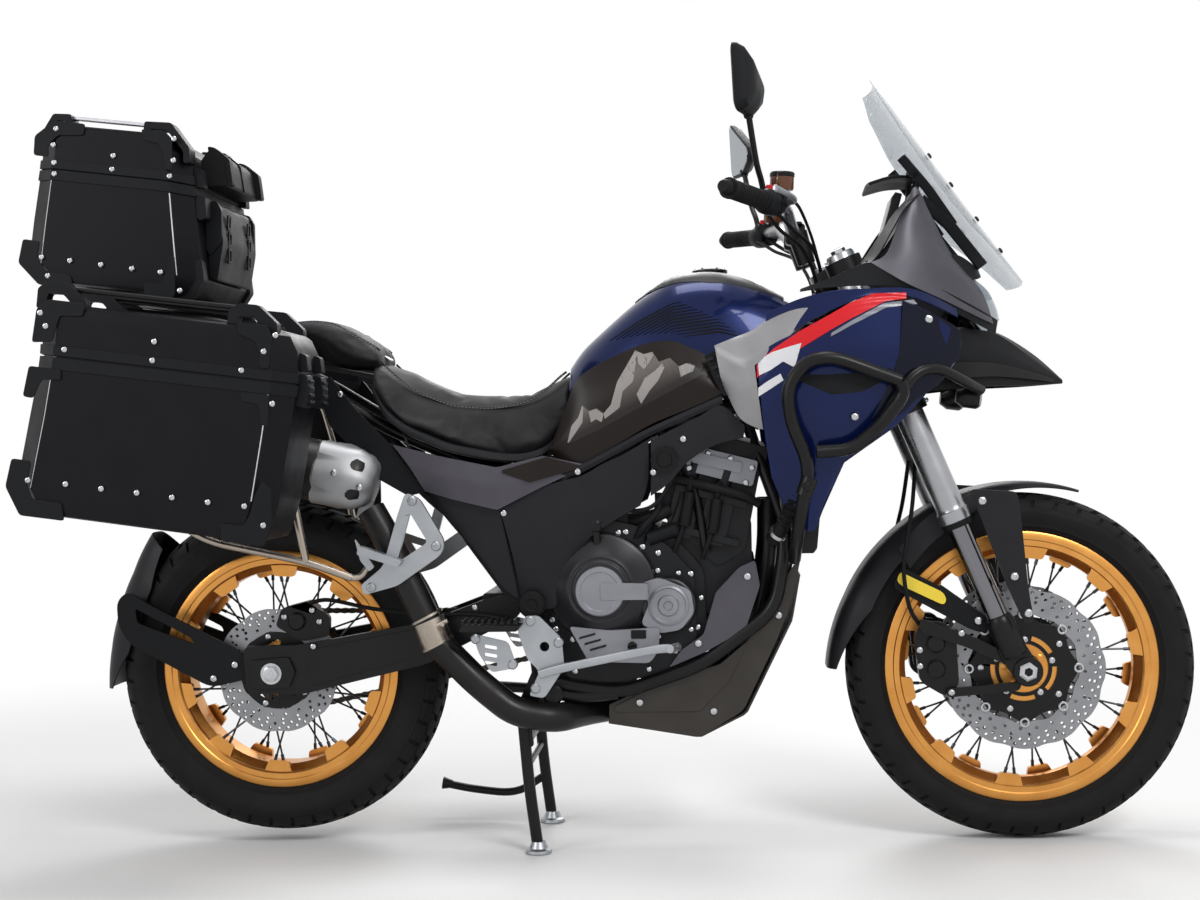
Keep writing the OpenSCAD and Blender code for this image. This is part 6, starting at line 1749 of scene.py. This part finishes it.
def make_tail():
    """Rear mudguard, lamps and rear brake caliper."""
    P = arched(*REAR_HUB, [372, 352, 344, 344, 350], [60, 78, 82, 80, 62], 134, 186, [44, 58, 58, 48, 14])
    welded("rear_guard", thick(P, 3, (1, 0, 0)), "slate_plastic", "frame", ["rear_mudguard"], bevel=0.001)
    hole = rounded([[-270, 466], [-160, 408], [-156, 396], [-266, 438]], 6, 3)
    arm = rounded([[-284, 500], [-244, 474], [-60, 378], [-44, 330], [-124, 312], [-284, 398], [-304, 436],
                   [-306, 480]], [14, 20, 16, 12, 20, 20, 12, 14], 4)
    arms = both(slab(arm, -106, -99, [hole]))
    bridge = rounded_slab([[-302, 486], [-290, 490], [-288, 420], [-298, 424]], 4, 2, -101, 101)
    welded("rear_guard_arms", join(arms, bridge), "moulded_black", bevel=0.0025)
    part("rear_guard_screws", both(side_screws([[-118, -106, 330], [-76, -106, 356]], 7, 5, 16)), "bare_aluminium")
    tail = [[[-312, -60, 946], [-312, 0, 942], [-312, 60, 946]], [[-330, -70, 975], [-334, 0, 975], [-330, 70, 975]],
            [[-300, -60, 1004], [-300, 0, 1008], [-300, 60, 1004]]]
    welded("tail_lamp_lens", thick(lofted(tail, nu=30, nv=6), 10, (1, 0, 0)), "red_lens", "frame", ["tail_light"],
           bevel=0.001)
    arm = both(join(sweep([[-290, -60, 972], [-296, -150, 968]], 6, 12), sweep([[-292, -148, 968], [-300, -190, 966]],
            [14, 17], 20)))
    part("indicator_stems", arm, "soft_rubber")
    lens = both(stamped(revolve([[16, -6], [17, 0], [13, 8]], n=28), [pose([-316, -172, 966], (-1, 0, 0))]))
    part("indicator_lenses", lens, "amber_reflector")
    # brake caliper over the disc, above the swingarm, with its round piston cap and pins
    body = rounded_slab([[2, 428], [14, 462], [64, 474], [108, 446], [106, 408], [52, 398]], 8, 4, -98, -83)
    inner = rounded_slab([[6, 430], [18, 462], [64, 472], [100, 444], [98, 414], [52, 404]], 8, 3, -70, -58)
    bridge = rounded_slab([[20, 464], [64, 475], [84, 462], [76, 449], [32, 464]], 3, 2, -98, -58)
    cap = placed(revolve([[17, 0], [17, 5], [14, 8], [6, 8]], n=32), [[44, -97, 437]], (0, -1, 0))
    welded("rear_caliper", join(body, inner, bridge, cap), "powder_black", "frame", ["rear_brake_caliper"],
           bevel=0.003)
    part("rear_caliper_pins", side_screws([[20, -98, 446], [88, -98, 436], [74, -98, 458]], 6, 6, 14),
         "bare_aluminium")
    line = sweep(smooth([[66, -92, 470], [110, -110, 478], [200, -130, 462], [300, -132, 452], [420, -134, 446],
                         [500, -146, 420]], 60), 4, 8)
    part("rear_brake_line", line, "soft_rubber")


# ---------- fork, bars and controls ----------


def make_fork():
    """Fork legs, clamps, axle, front mudguard, leg guards and calipers."""
    outer = revolve([[24, 304], [27, 306], [30, 308], [30, 328], [28, 331], [27.6, 338], [27, 380], [27, 846],
                     [25, 851]], (-9, -105, 0), (0, 0, 1), 56)
    part("fork_outer_tubes", both(outer), "fork_silver", "fork", ["fork_legs"], to=forked)
    part("fork_inner_tubes", both(sweep([[-9, -105, 60], [-9, -105, 310]], [20.5, 20.5], 40)), "hard_chrome", "fork",
         to=forked)
    seal = revolve([[27.5, 296], [28.6, 300], [28.6, 308], [22, 309], [21, 296]], (-9, -105, 0), (0, 0, 1), 48,
                   closed=False)
    lug = revolve([[22, 34], [26.5, 40], [26.5, 100], [24, 112], [21, 116]], (-9, -105, 0), (0, 0, 1), 48)
    eye = placed(revolve([[26, 0], [28, 3], [28, 30], [26, 33]], n=40), [[0, -88, 0]], (0, -1, 0))
    web = rounded_slab([[-36, 60], [14, 60], [22, 10], [-10, -20], [-30, 10]], 10, 4, -118, -92)
    part("fork_seals", both(seal), "soft_rubber", "fork", to=forked)
    welded("fork_lugs", both(join(lug, eye, web)), "powder_black", "fork", to=forked, bevel=0.002)
    # clamps that hold the legs to the stem
    def clamp(z, t):
        o = np.array([[-70, -26], [-40, -105 + 4], [-9 - 34, -105], [-9, -105 - 34], [-9 + 34, -105], [8, -60],
                      [2, 0]])
        loop = rounded(np.vstack([o, (o * [1, -1])[::-1][1:]]), 16, 5)
        v, q, t3 = upright(slab(loop, z, z + t))
        return v, q, t3
    rings = both(join(revolve([[27.4, 526], [37, 526], [37, 564], [27.4, 564]], (-9, -105, 0), (0, 0, 1), 48,
                              closed=True), revolve([[27.4, 811], [35, 811], [35, 838], [27.4, 838]], (-9, -105, 0),
                                                    (0, 0, 1), 48, closed=True)))
    stem = sweep([[-44, 0, 536], [-44, 0, 836]], 15, 24)
    nutty = stamped(nut(17, 10), [pose([-44, 0, 836])])
    welded("fork_clamp_plates", join(clamp(528, 34), clamp(812, 24), rings, stem), "powder_black", "fork",
           ["fork_clamps"], to=forked, bevel=0.003)
    part("fork_cap_bolts", join(both(placed(nut(14, 9), [[-9, -105, 850]], (0, 0, 1))), nutty,
                                both(placed(screw(5, 6, 12), [[28, -105, 536], [28, -105, 554]], (0.9, -0.4, 0)))),
         "bare_aluminium", "fork", to=forked)
    axle = join(revolve([[8.5, -119], [12, -119], [12, 119], [8.5, 119]], (0, 0, 0), (0, 1, 0), 36, closed=True),
                both(revolve([[8.5, 118], [17, 118], [18, 122], [14, 125], [8.5, 125]], (0, 0, 0), (0, -1, 0), 6,
                             closed=True)))
    welded("front_axle", axle, "bare_aluminium", "fork", to=forked)
    # mudguard, its arms and the leg guards
    P = arched(*FRONT_HUB, [352, 350, 349, 350, 354, 366], [10, 52, 72, 78, 80, 60], 70, 180, [4, 14, 26, 46, 50, 16],
               90)
    welded("front_guard", thick(P, 3, (0, 0, -1)), "slate_plastic", "fork", ["front_mudguard"], bevel=0.001)
    wing = [[[1190, -78, 558], [1236, -80, 610], [1290, -80, 644], [1350, -78, 668]], [[1210, -84, 520],
            [1250, -88, 566], [1300, -88, 604], [1352, -84, 640]]]
    panel("front_guard_skirts", wing, "slate_plastic", body="fork", t=3, nv=5)
    arm = rounded_slab([[1176, 486], [1194, 524], [1286, 476], [1356, 424], [1350, 398], [1322, 404]],
                       [14, 14, 16, 10, 8, 14], 4, -90, -80)
    welded("reflector_arms", both(arm), "moulded_black", "fork", bevel=0.0025)
    amber = rounded_slab([[1184, 499], [1190, 516], [1270, 476], [1276, 462], [1270, 452], [1192, 490]],
                         [9, 9, 9, 9, 9, 9], 5, -97, -89)
    welded("reflector_amber", both(amber), "amber_reflector", "fork", bevel=0.003, segments=3)
    guard = rounded([[1318, 670], [1400, 664], [1406, 640], [1420, 478], [1429, 424], [1412, 420], [1382, 488],
                     [1330, 630]], [8, 8, 20, 20, 8, 6, 20, 16], 4)
    welded("leg_guards", both(slab(guard, -143, -136)), "slate_plastic", "fork", bevel=0.003)
    part("guard_screws", both(side_screws([[1338, -143, 648], [1394, -143, 508], [1418, -143, 440],
                                           [1334, -91, 412 + 10]], 8, 5.5, 18)), "bare_aluminium", "fork")
    stay = both(join(sweep([[1352, -120, 640], [1352, -140, 640]], 8, 12),
                     sweep([[1394, -120, 508], [1394, -140, 508]], 8, 12)))
    part("guard_stays", stay, "powder_black", "fork")
    # calipers
    def o(points):
        """Points given from the front axle, in the scale of bike()."""
        return [[FRONT_HUB[0] + x, FRONT_HUB[1] + z] for x, z in points]

    outer = rounded_slab(o([[-206, 66], [-192, 92], [-150, 92], [-128, 66], [-124, -28], [-150, -48], [-196, -20]]),
                         12, 4, -98, -74)
    bumps = placed(revolve([[17, -2], [17, 6], [14, 9]], n=28), [[x, -98, z] for x, z in o([[-166, 52], [-166, 4]])],
                   (0, -1, 0))
    inner = rounded_slab(o([[-200, 66], [-186, 86], [-150, 84], [-160, 0], [-192, -12]]), 10, 3, -57, -44)
    bar1 = rounded_slab(o([[-196, 100], [-110, 70], [-18, 26], [-4, -2], [-22, 4], [-112, 46], [-196, 74]]), 8, 3,
                        -110, -100)
    bar2 = rounded_slab(o([[-150, -32], [-16, -20], [-4, 6], [-14, -36], [-148, -48]]), 8, 3, -110, -100)
    welded("front_calipers", both(join(outer, bumps, inner, bar1, bar2)), "powder_black", "fork",
           ["front_brake_calipers"], bevel=0.003)
    pins = [[x, -110, z] for x, z in o([[-120, 72], [-140, -38]])] + [[x, -98, z] for x,
                                                                      z in o([[-196, 40], [-196, 10]])]
    part("caliper_bolts", both(side_screws(pins, 6.5, 5, 14)), "bare_aluminium", "fork")
    hose = both(sweep(smooth([[1228, -90, 412], [1206, -104, 450], [1196, -110, 520], [1204, -108, 580],
                              [1216, -90, 640], [1226, -62, 720]], 60), 4, 8))
    part("brake_hoses", hose, "soft_rubber", "fork")


def make_bars():
    """Handlebar, grips, levers, switches, fluid cups and mirrors."""
    centre = [[1012, 0, 1153], [1004, -62, 1156], [985, -190, 1196], [950, -282, 1190], [886, -400, 1199]]
    curve_ = smooth(bends([[1014, 0, 1153], *centre[1:]], 40), 80)
    r = np.interp(np.linspace(0, 1, len(curve_)), [0, 0.2, 0.45, 0.55, 1], [14.2, 14, 11.2, 11, 11])
    part("handlebar_tube", both(sweep(curve_, r, 24)), "fork_silver", "fork", ["handlebar"])
    clamp = both(join(rounded_slab([[990, 1136], [1026, 1136], [1028, 1176], [992, 1176]], 8, 3, -60, -34),
                      sweep([[1012, -46, 1160], [1030, -46, 1100]], [20, 17], 24)))
    bridge = rounded_slab([[996, 1168], [1024, 1168], [1022, 1180], [998, 1180]], 4, 2, -60, 60)
    welded("bar_clamps", join(clamp, bridge), "powder_black", "fork", bevel=0.0025)
    a, b = np.array([942.0, -300, 1191]), np.array([882.0, -412, 1199])
    t = np.linspace(0, 1, 110)
    ribs = 16.2 + 1.1 * np.sign(np.sin(t * 40 * math.pi)) * ((t > 0.1) & (t < 0.88)) + 2.4 * ((t < 0.06) | (t > 0.94))
    ribs[-1] = 13
    grip = sweep(a + (b - a) * t[:, None], ribs, 28)
    end = sweep([b, b + (b - a) * 0.10, b + (b - a) * 0.16], [13, 13, 10], 24)
    part("grips", both(join(grip, end)), "soft_rubber", "fork", ["handlebar"], crease=40)
    m = unit(b - a)
    pods = join(sweep([a - m * 2, a - m * 12, a - m * 34, a - m * 42], [19, 23, 23, 19], 20),
                sweep([a - m * 44, a - m * 58], [20, 20], 14), rounded_slab([[940, 1176], [972, 1172], [980, 1204],
            [962, 1214], [944, 1208]], 6, 3, -268, -244))
    levers = sweep(smooth([[984, -256, 1192], [1000, -292, 1190], [986, -350, 1193], [960, -410, 1197]], 40),
                   np.interp(np.linspace(0, 1, 41), [0, 0.1, 0.8, 0.95, 1], [8, 6.5, 5.5, 7, 4]), 14, flat=0.6)
    perch = sweep([[966, -240, 1194], [988, -262, 1194]], [13, 11], 16)
    welded("switch_pods", both(join(pods, perch)), "moulded_black", "fork", bevel=0.0015)
    part("levers", both(levers), "cast_aluminium", "fork")
    red = join(rounded_slab([[948, 1214], [962, 1214], [962, 1222], [950, 1222]], 2, 2, -270, -254))
    welded("stop_switch", both(red), "red_paint", "fork", bevel=0.001)
    cup = revolve([[20, 0], [21.5, 3], [21.5, 23], [20, 24]], (978, -250, 1214), (0.05, 0, 1), 32)
    lid = revolve([[22.5, 24], [22.5, 30], [21, 32], [16, 32]], (978, -250, 1214), (0.05, 0, 1), 32)
    foot = sweep([[978, -250, 1196], [978, -250, 1214]], [10, 12], 16)
    part("fluid_cups", both(cup), "smoked_cup", "fork")
    part("fluid_caps", both(join(lid, foot)), "gloss_black", "fork")
    line = both(join(sweep(smooth([[990, -256, 1196], [1010, -200, 1190], [1034, -120, 1150], [1052, -60, 1100],
                                   [1072, -44, 1020], [1090, -40, 960]], 60), 3, 8),
                     sweep(smooth([[960, -248, 1184], [1000, -190, 1150], [1040, -110, 1120], [1060, -50, 1060],
                                   [1066, -36, 990]], 60), 3.6, 8),
                     sweep(smooth([[950, -250, 1176], [976, -190, 1150], [1020, -120, 1120], [1046, -70, 1060],
                                   [1050, -50, 980]], 60), 3.5, 8)))
    part("bar_cables", line, "soft_rubber", "fork")
    stems = both(join(sweep(smooth([[946, -268, 1206], [941, -276, 1230], [932, -302, 1262], [919, -350, 1340]], 40),
                            5.5, 14), placed(revolve([[9, 0], [9, 14], [7, 18]], n=16), [[947, -266, 1196]],
                                             (0, -0.3, 1)), placed(revolve([[8, -8], [10, 0], [7, 10]], n=16),
                                                                   [[920, -348, 1336]], (0, -0.5, 0.85))))
    part("mirror_stems", stems, "powder_black", "fork", ["mirrors"])
    # mirror heads: a faceted shell that swells forward from the glass, both on one three-cornered outline
    edge = rounded([[56, -56], [66, -46], [62, 58], [54, 62], [-62, -6], [-68, -20], [-62, -34], [-16, -57]], 6, 3)
    c = np.array([912.0, -357, 1386])
    across_ = unit([-0.30, -1, 0.0])
    upv = unit([-0.05, 0.0, 1])
    ahead = unit(np.cross(upv, across_))
    ahead = ahead * np.sign(ahead[0])

    def outline(s, depth, shift=0.0):
        return c + (edge[:, :1] * s + shift) * across_ + edge[:, 1:] * s * upv + depth * ahead
    shell = grid(np.stack([outline(0.93, -3), outline(1, 0), outline(0.98, 8), outline(0.84, 20, 4), outline(0.5, 30,
            8), outline(0.2, 32, 10)]), wrap_v=True, cap_u=True)
    glass = grid(np.stack([outline(0.88, -4.4), outline(0.9, -3.2)]), wrap_v=True, cap_u=True)
    welded("mirror_heads", both(shell), "moulded_black", "fork", crease=26)
    welded("mirror_glasses", both(glass), "mirror_glass", "fork")


# ---------- stage: floor, lamps and camera ----------


def plain_white_rays(tree):
    """1 for the rays that show the background: camera, glossy and transmission rays."""
    path = add(tree, "ShaderNodeLightPath")
    seen = add(tree, "ShaderNodeMath", {"operation": "MAXIMUM"}, [(0, path, "Is Camera Ray"),
                                                                  (1, path, "Is Glossy Ray")])
    return add(tree, "ShaderNodeMath", {"operation": "MAXIMUM"}, [(0, seen, 0), (1, path, "Is Transmission Ray")])


FLOOR_HALF, FLOOR_DROP = 9.0, 0.0005  # half the floor's side and its depth under Z = 0, m
GLOW_FROM, GLOW_TO = 1.5, 3.2  # distances over which the floor fades to plain white, m
WORLD_STRENGTH = 0.38  # light of the world, for the rays that do not show it
LAMP_AIM = (0, 0, 0.7)
# Lamps: name, place, side of the square in metres, watts
LAMPS = (("key", (2.2, -3.6, 3.6), 1.5, 110.0), ("fill", (-3.2, -3.0, 2.2), 1.4, 42.0),
         ("back", (0.2, 3.6, 3.2), 2.0, 75.0), ("top", (0.0, 0.0, 4.2), 1.6, 60.0))
CAMERA_AT = (0.2142, -3.4411, 0.7809)
CAMERA_TURN = (0.0706, 0.0080, -0.0195)  # yaw, pitch and roll, radians
FOCAL_MM, SENSOR_MM, CLIP_END = 53.16, 36.0, 60.0


def make_stage():
    """Pale floor and world with soft lamps; the camera sees plain white behind."""
    floor_shape = grid(np.stack(np.meshgrid([-FLOOR_HALF, FLOOR_HALF], [-FLOOR_HALF, FLOOR_HALF],
                                            indexing="ij") + [np.zeros((2, 2))], -1))
    mat, tree, bsdf = base("studio_floor", "#f1f1f1", 0.6, Specular_IOR_Level=0.2)
    seen = plain_white_rays(tree)
    place = add(tree, "ShaderNodeTexCoord")
    away = add(tree, "ShaderNodeVectorMath", {"operation": "LENGTH"}, [(0, place, "Object")])
    far = add(tree, "ShaderNodeMapRange", {"interpolation_type": "SMOOTHSTEP", "From Min": GLOW_FROM,
                                           "From Max": GLOW_TO}, [("Value", away, "Value")])
    share = add(tree, "ShaderNodeMath", {"operation": "MULTIPLY"}, [(0, seen, 0), (1, far, "Result")])
    glow = add(tree, "ShaderNodeEmission")
    blend = add(tree, "ShaderNodeMixShader", {}, [(0, share, 0), (1, bsdf, 0), (2, glow, 0)])
    tree.links.new(blend.outputs[0], tree.nodes["Material Output"].inputs["Surface"])
    mesh = bpy.data.meshes.new("floor")
    mesh.from_pydata(floor_shape[0].tolist(), [], floor_shape[1].tolist())
    floor = bpy.data.objects.new("floor", mesh)
    bpy.context.scene.collection.objects.link(floor)
    mesh.materials.append(mat)
    floor.location.z = -FLOOR_DROP
    world = bpy.data.worlds.new("studio")
    bpy.context.scene.world = world
    world.use_nodes = True
    tree = world.node_tree
    tree.nodes.clear()
    seen = plain_white_rays(tree)
    strength = add(tree, "ShaderNodeMapRange", {"To Min": WORLD_STRENGTH, "To Max": 1.0}, [("Value", seen, 0)])
    sky = add(tree, "ShaderNodeBackground", {}, [("Strength", strength, "Result")])
    sky.inputs["Color"].default_value = (1, 1, 1, 1)
    add(tree, "ShaderNodeOutputWorld", {}, [("Surface", sky, 0)])
    for name, at, size, watts in LAMPS:
        light = bpy.data.lights.new(name, "AREA")
        light.size = size
        light.energy = watts
        lamp = bpy.data.objects.new(name, light)
        bpy.context.scene.collection.objects.link(lamp)
        lamp.location = at
        lamp.rotation_euler = (Vector(LAMP_AIM) - Vector(at)).to_track_quat("-Z", "Y").to_euler()
    scene = bpy.context.scene
    scene.view_settings.view_transform = "Standard"
    cam = bpy.data.cameras.new("studio_camera")
    cam.lens = FOCAL_MM
    cam.sensor_width = SENSOR_MM
    cam.clip_end = CLIP_END
    camera = bpy.data.objects.new("studio_camera", cam)
    scene.collection.objects.link(camera)
    yaw, pitch, roll = CAMERA_TURN
    look = np.array([-math.sin(yaw) * math.cos(pitch), math.cos(yaw) * math.cos(pitch), -math.sin(pitch)])
    side = unit(np.cross(look, [0, 0, 1]))
    up = np.cross(side, look)
    right = side * math.cos(roll) + up * math.sin(roll)
    top = up * math.cos(roll) - side * math.sin(roll)
    rows = [(right[k], top[k], -look[k], CAMERA_AT[k]) for k in range(3)]
    camera.matrix_world = Matrix((*rows, (0, 0, 0, 1)))
    scene.camera = camera


# ---------- add-on: settings, operators, panel ----------


class MotorcycleSettings(bpy.types.PropertyGroup):
    """Sizes and settings that a user would change."""

    tread_depth: FloatProperty(name="Tread depth", description="Height of the tread blocks", default=0.006,
                               min=0.002, max=0.008, unit="LENGTH", subtype="DISTANCE")
    tread_pitches: IntProperty(name="Tread pitches", description="Blocks round each tyre", default=44, min=30, max=60)
    panel_thickness: FloatProperty(name="Panel thickness", description="Wall of the moulded panels",
                                   default=0.003, min=0.002, max=0.006, unit="LENGTH", subtype="DISTANCE")
    seat_fill: FloatProperty(name="Seat fill", description="How tightly the seat is stuffed, from 0 to 1",
                             default=0.6, min=0.0, max=1.0)


class StageOperator(bpy.types.Operator):
    """Pale floor, soft lamps and the camera"""

    bl_idname = "motorcycle.stage"
    bl_label = "Stage"

    def execute(self, context):
        make_stage()
        return {"FINISHED"}


class FinishesOperator(bpy.types.Operator):
    """Every material, ready for the pieces"""

    bl_idname = "motorcycle.finishes"
    bl_label = "Finishes"

    def execute(self, context):
        make_finishes()
        return {"FINISHED"}


class WheelsOperator(bpy.types.Operator):
    """Tyres, rims, spokes, hubs, discs and chain"""

    bl_idname = "motorcycle.wheels"
    bl_label = "Wheels"

    def execute(self, context):
        settings = context.scene.motorcycle
        make_front_wheel(settings)
        make_rear_wheel(settings)
        make_chain()
        return {"FINISHED"}


class BodyOperator(bpy.types.Operator):
    """Tank, side panels, fairing, cowl, lamp, beak and screen"""

    bl_idname = "motorcycle.body"
    bl_label = "Body"

    def execute(self, context):
        settings = context.scene.motorcycle
        make_tank()
        make_side_panels(settings)
        make_fairing(settings)
        make_cowl(settings)
        return {"FINISHED"}


class SeatsOperator(bpy.types.Operator):
    """Rider and pillion seats with piping and stitches"""

    bl_idname = "motorcycle.seats"
    bl_label = "Seats"

    def execute(self, context):
        make_seats()
        return {"FINISHED"}


class EngineOperator(bpy.types.Operator):
    """Crankcase, cylinders, covers, pipes and radiator"""

    bl_idname = "motorcycle.engine"
    bl_label = "Engine"

    def execute(self, context):
        make_engine()
        make_exhaust()
        return {"FINISHED"}


class ChassisOperator(bpy.types.Operator):
    """Frame, swingarm, guards, stands, pegs and levers"""

    bl_idname = "motorcycle.chassis"
    bl_label = "Chassis"

    def execute(self, context):
        make_frame()
        make_feet()
        return {"FINISHED"}


class CasesOperator(bpy.types.Operator):
    """Side cases, top case, racks and backrests"""

    bl_idname = "motorcycle.cases"
    bl_label = "Cases"

    def execute(self, context):
        make_side_cases()
        make_top_case()
        return {"FINISHED"}


class TailOperator(bpy.types.Operator):
    """Rear mudguard, lamps and brake"""

    bl_idname = "motorcycle.tail"
    bl_label = "Tail"

    def execute(self, context):
        make_tail()
        return {"FINISHED"}


class ForkOperator(bpy.types.Operator):
    """Fork, clamps, front mudguard and brakes"""

    bl_idname = "motorcycle.fork"
    bl_label = "Fork"

    def execute(self, context):
        make_fork()
        return {"FINISHED"}


class BarsOperator(bpy.types.Operator):
    """Handlebar, controls and mirrors"""

    bl_idname = "motorcycle.bars"
    bl_label = "Bars"

    def execute(self, context):
        make_bars()
        return {"FINISHED"}


OPERATORS = (StageOperator, FinishesOperator, WheelsOperator, BodyOperator, SeatsOperator, EngineOperator,
             ChassisOperator, CasesOperator, TailOperator, ForkOperator, BarsOperator)


class StudioPanel(bpy.types.Panel):
    """Settings and steps in the 3D view's sidebar"""

    bl_idname = "MOTORCYCLE_PT_studio"
    bl_label = "Adventure motorcycle"
    bl_space_type = "VIEW_3D"
    bl_region_type = "UI"
    bl_category = "Motorcycle"

    def draw(self, context):
        settings = context.scene.motorcycle
        for name in settings.bl_rna.properties.keys():
            if name not in ("rna_type", "name"):
                self.layout.prop(settings, name)
        for operator in OPERATORS:
            self.layout.operator(operator.bl_idname)


def register():
    """Adds the settings, operators and panel."""
    for item in (MotorcycleSettings, *OPERATORS, StudioPanel):
        bpy.utils.register_class(item)
    bpy.types.Scene.motorcycle = PointerProperty(type=MotorcycleSettings)


def unregister():
    """Removes them again."""
    del bpy.types.Scene.motorcycle
    for item in (StudioPanel, *reversed(OPERATORS), MotorcycleSettings):
        bpy.utils.unregister_class(item)


def main():
    """Runs every operator in order."""
    register()
    for operator in OPERATORS:
        group, name = operator.bl_idname.split(".")
        getattr(getattr(bpy.ops, group), name)()


if __name__ == "__main__":
    main()
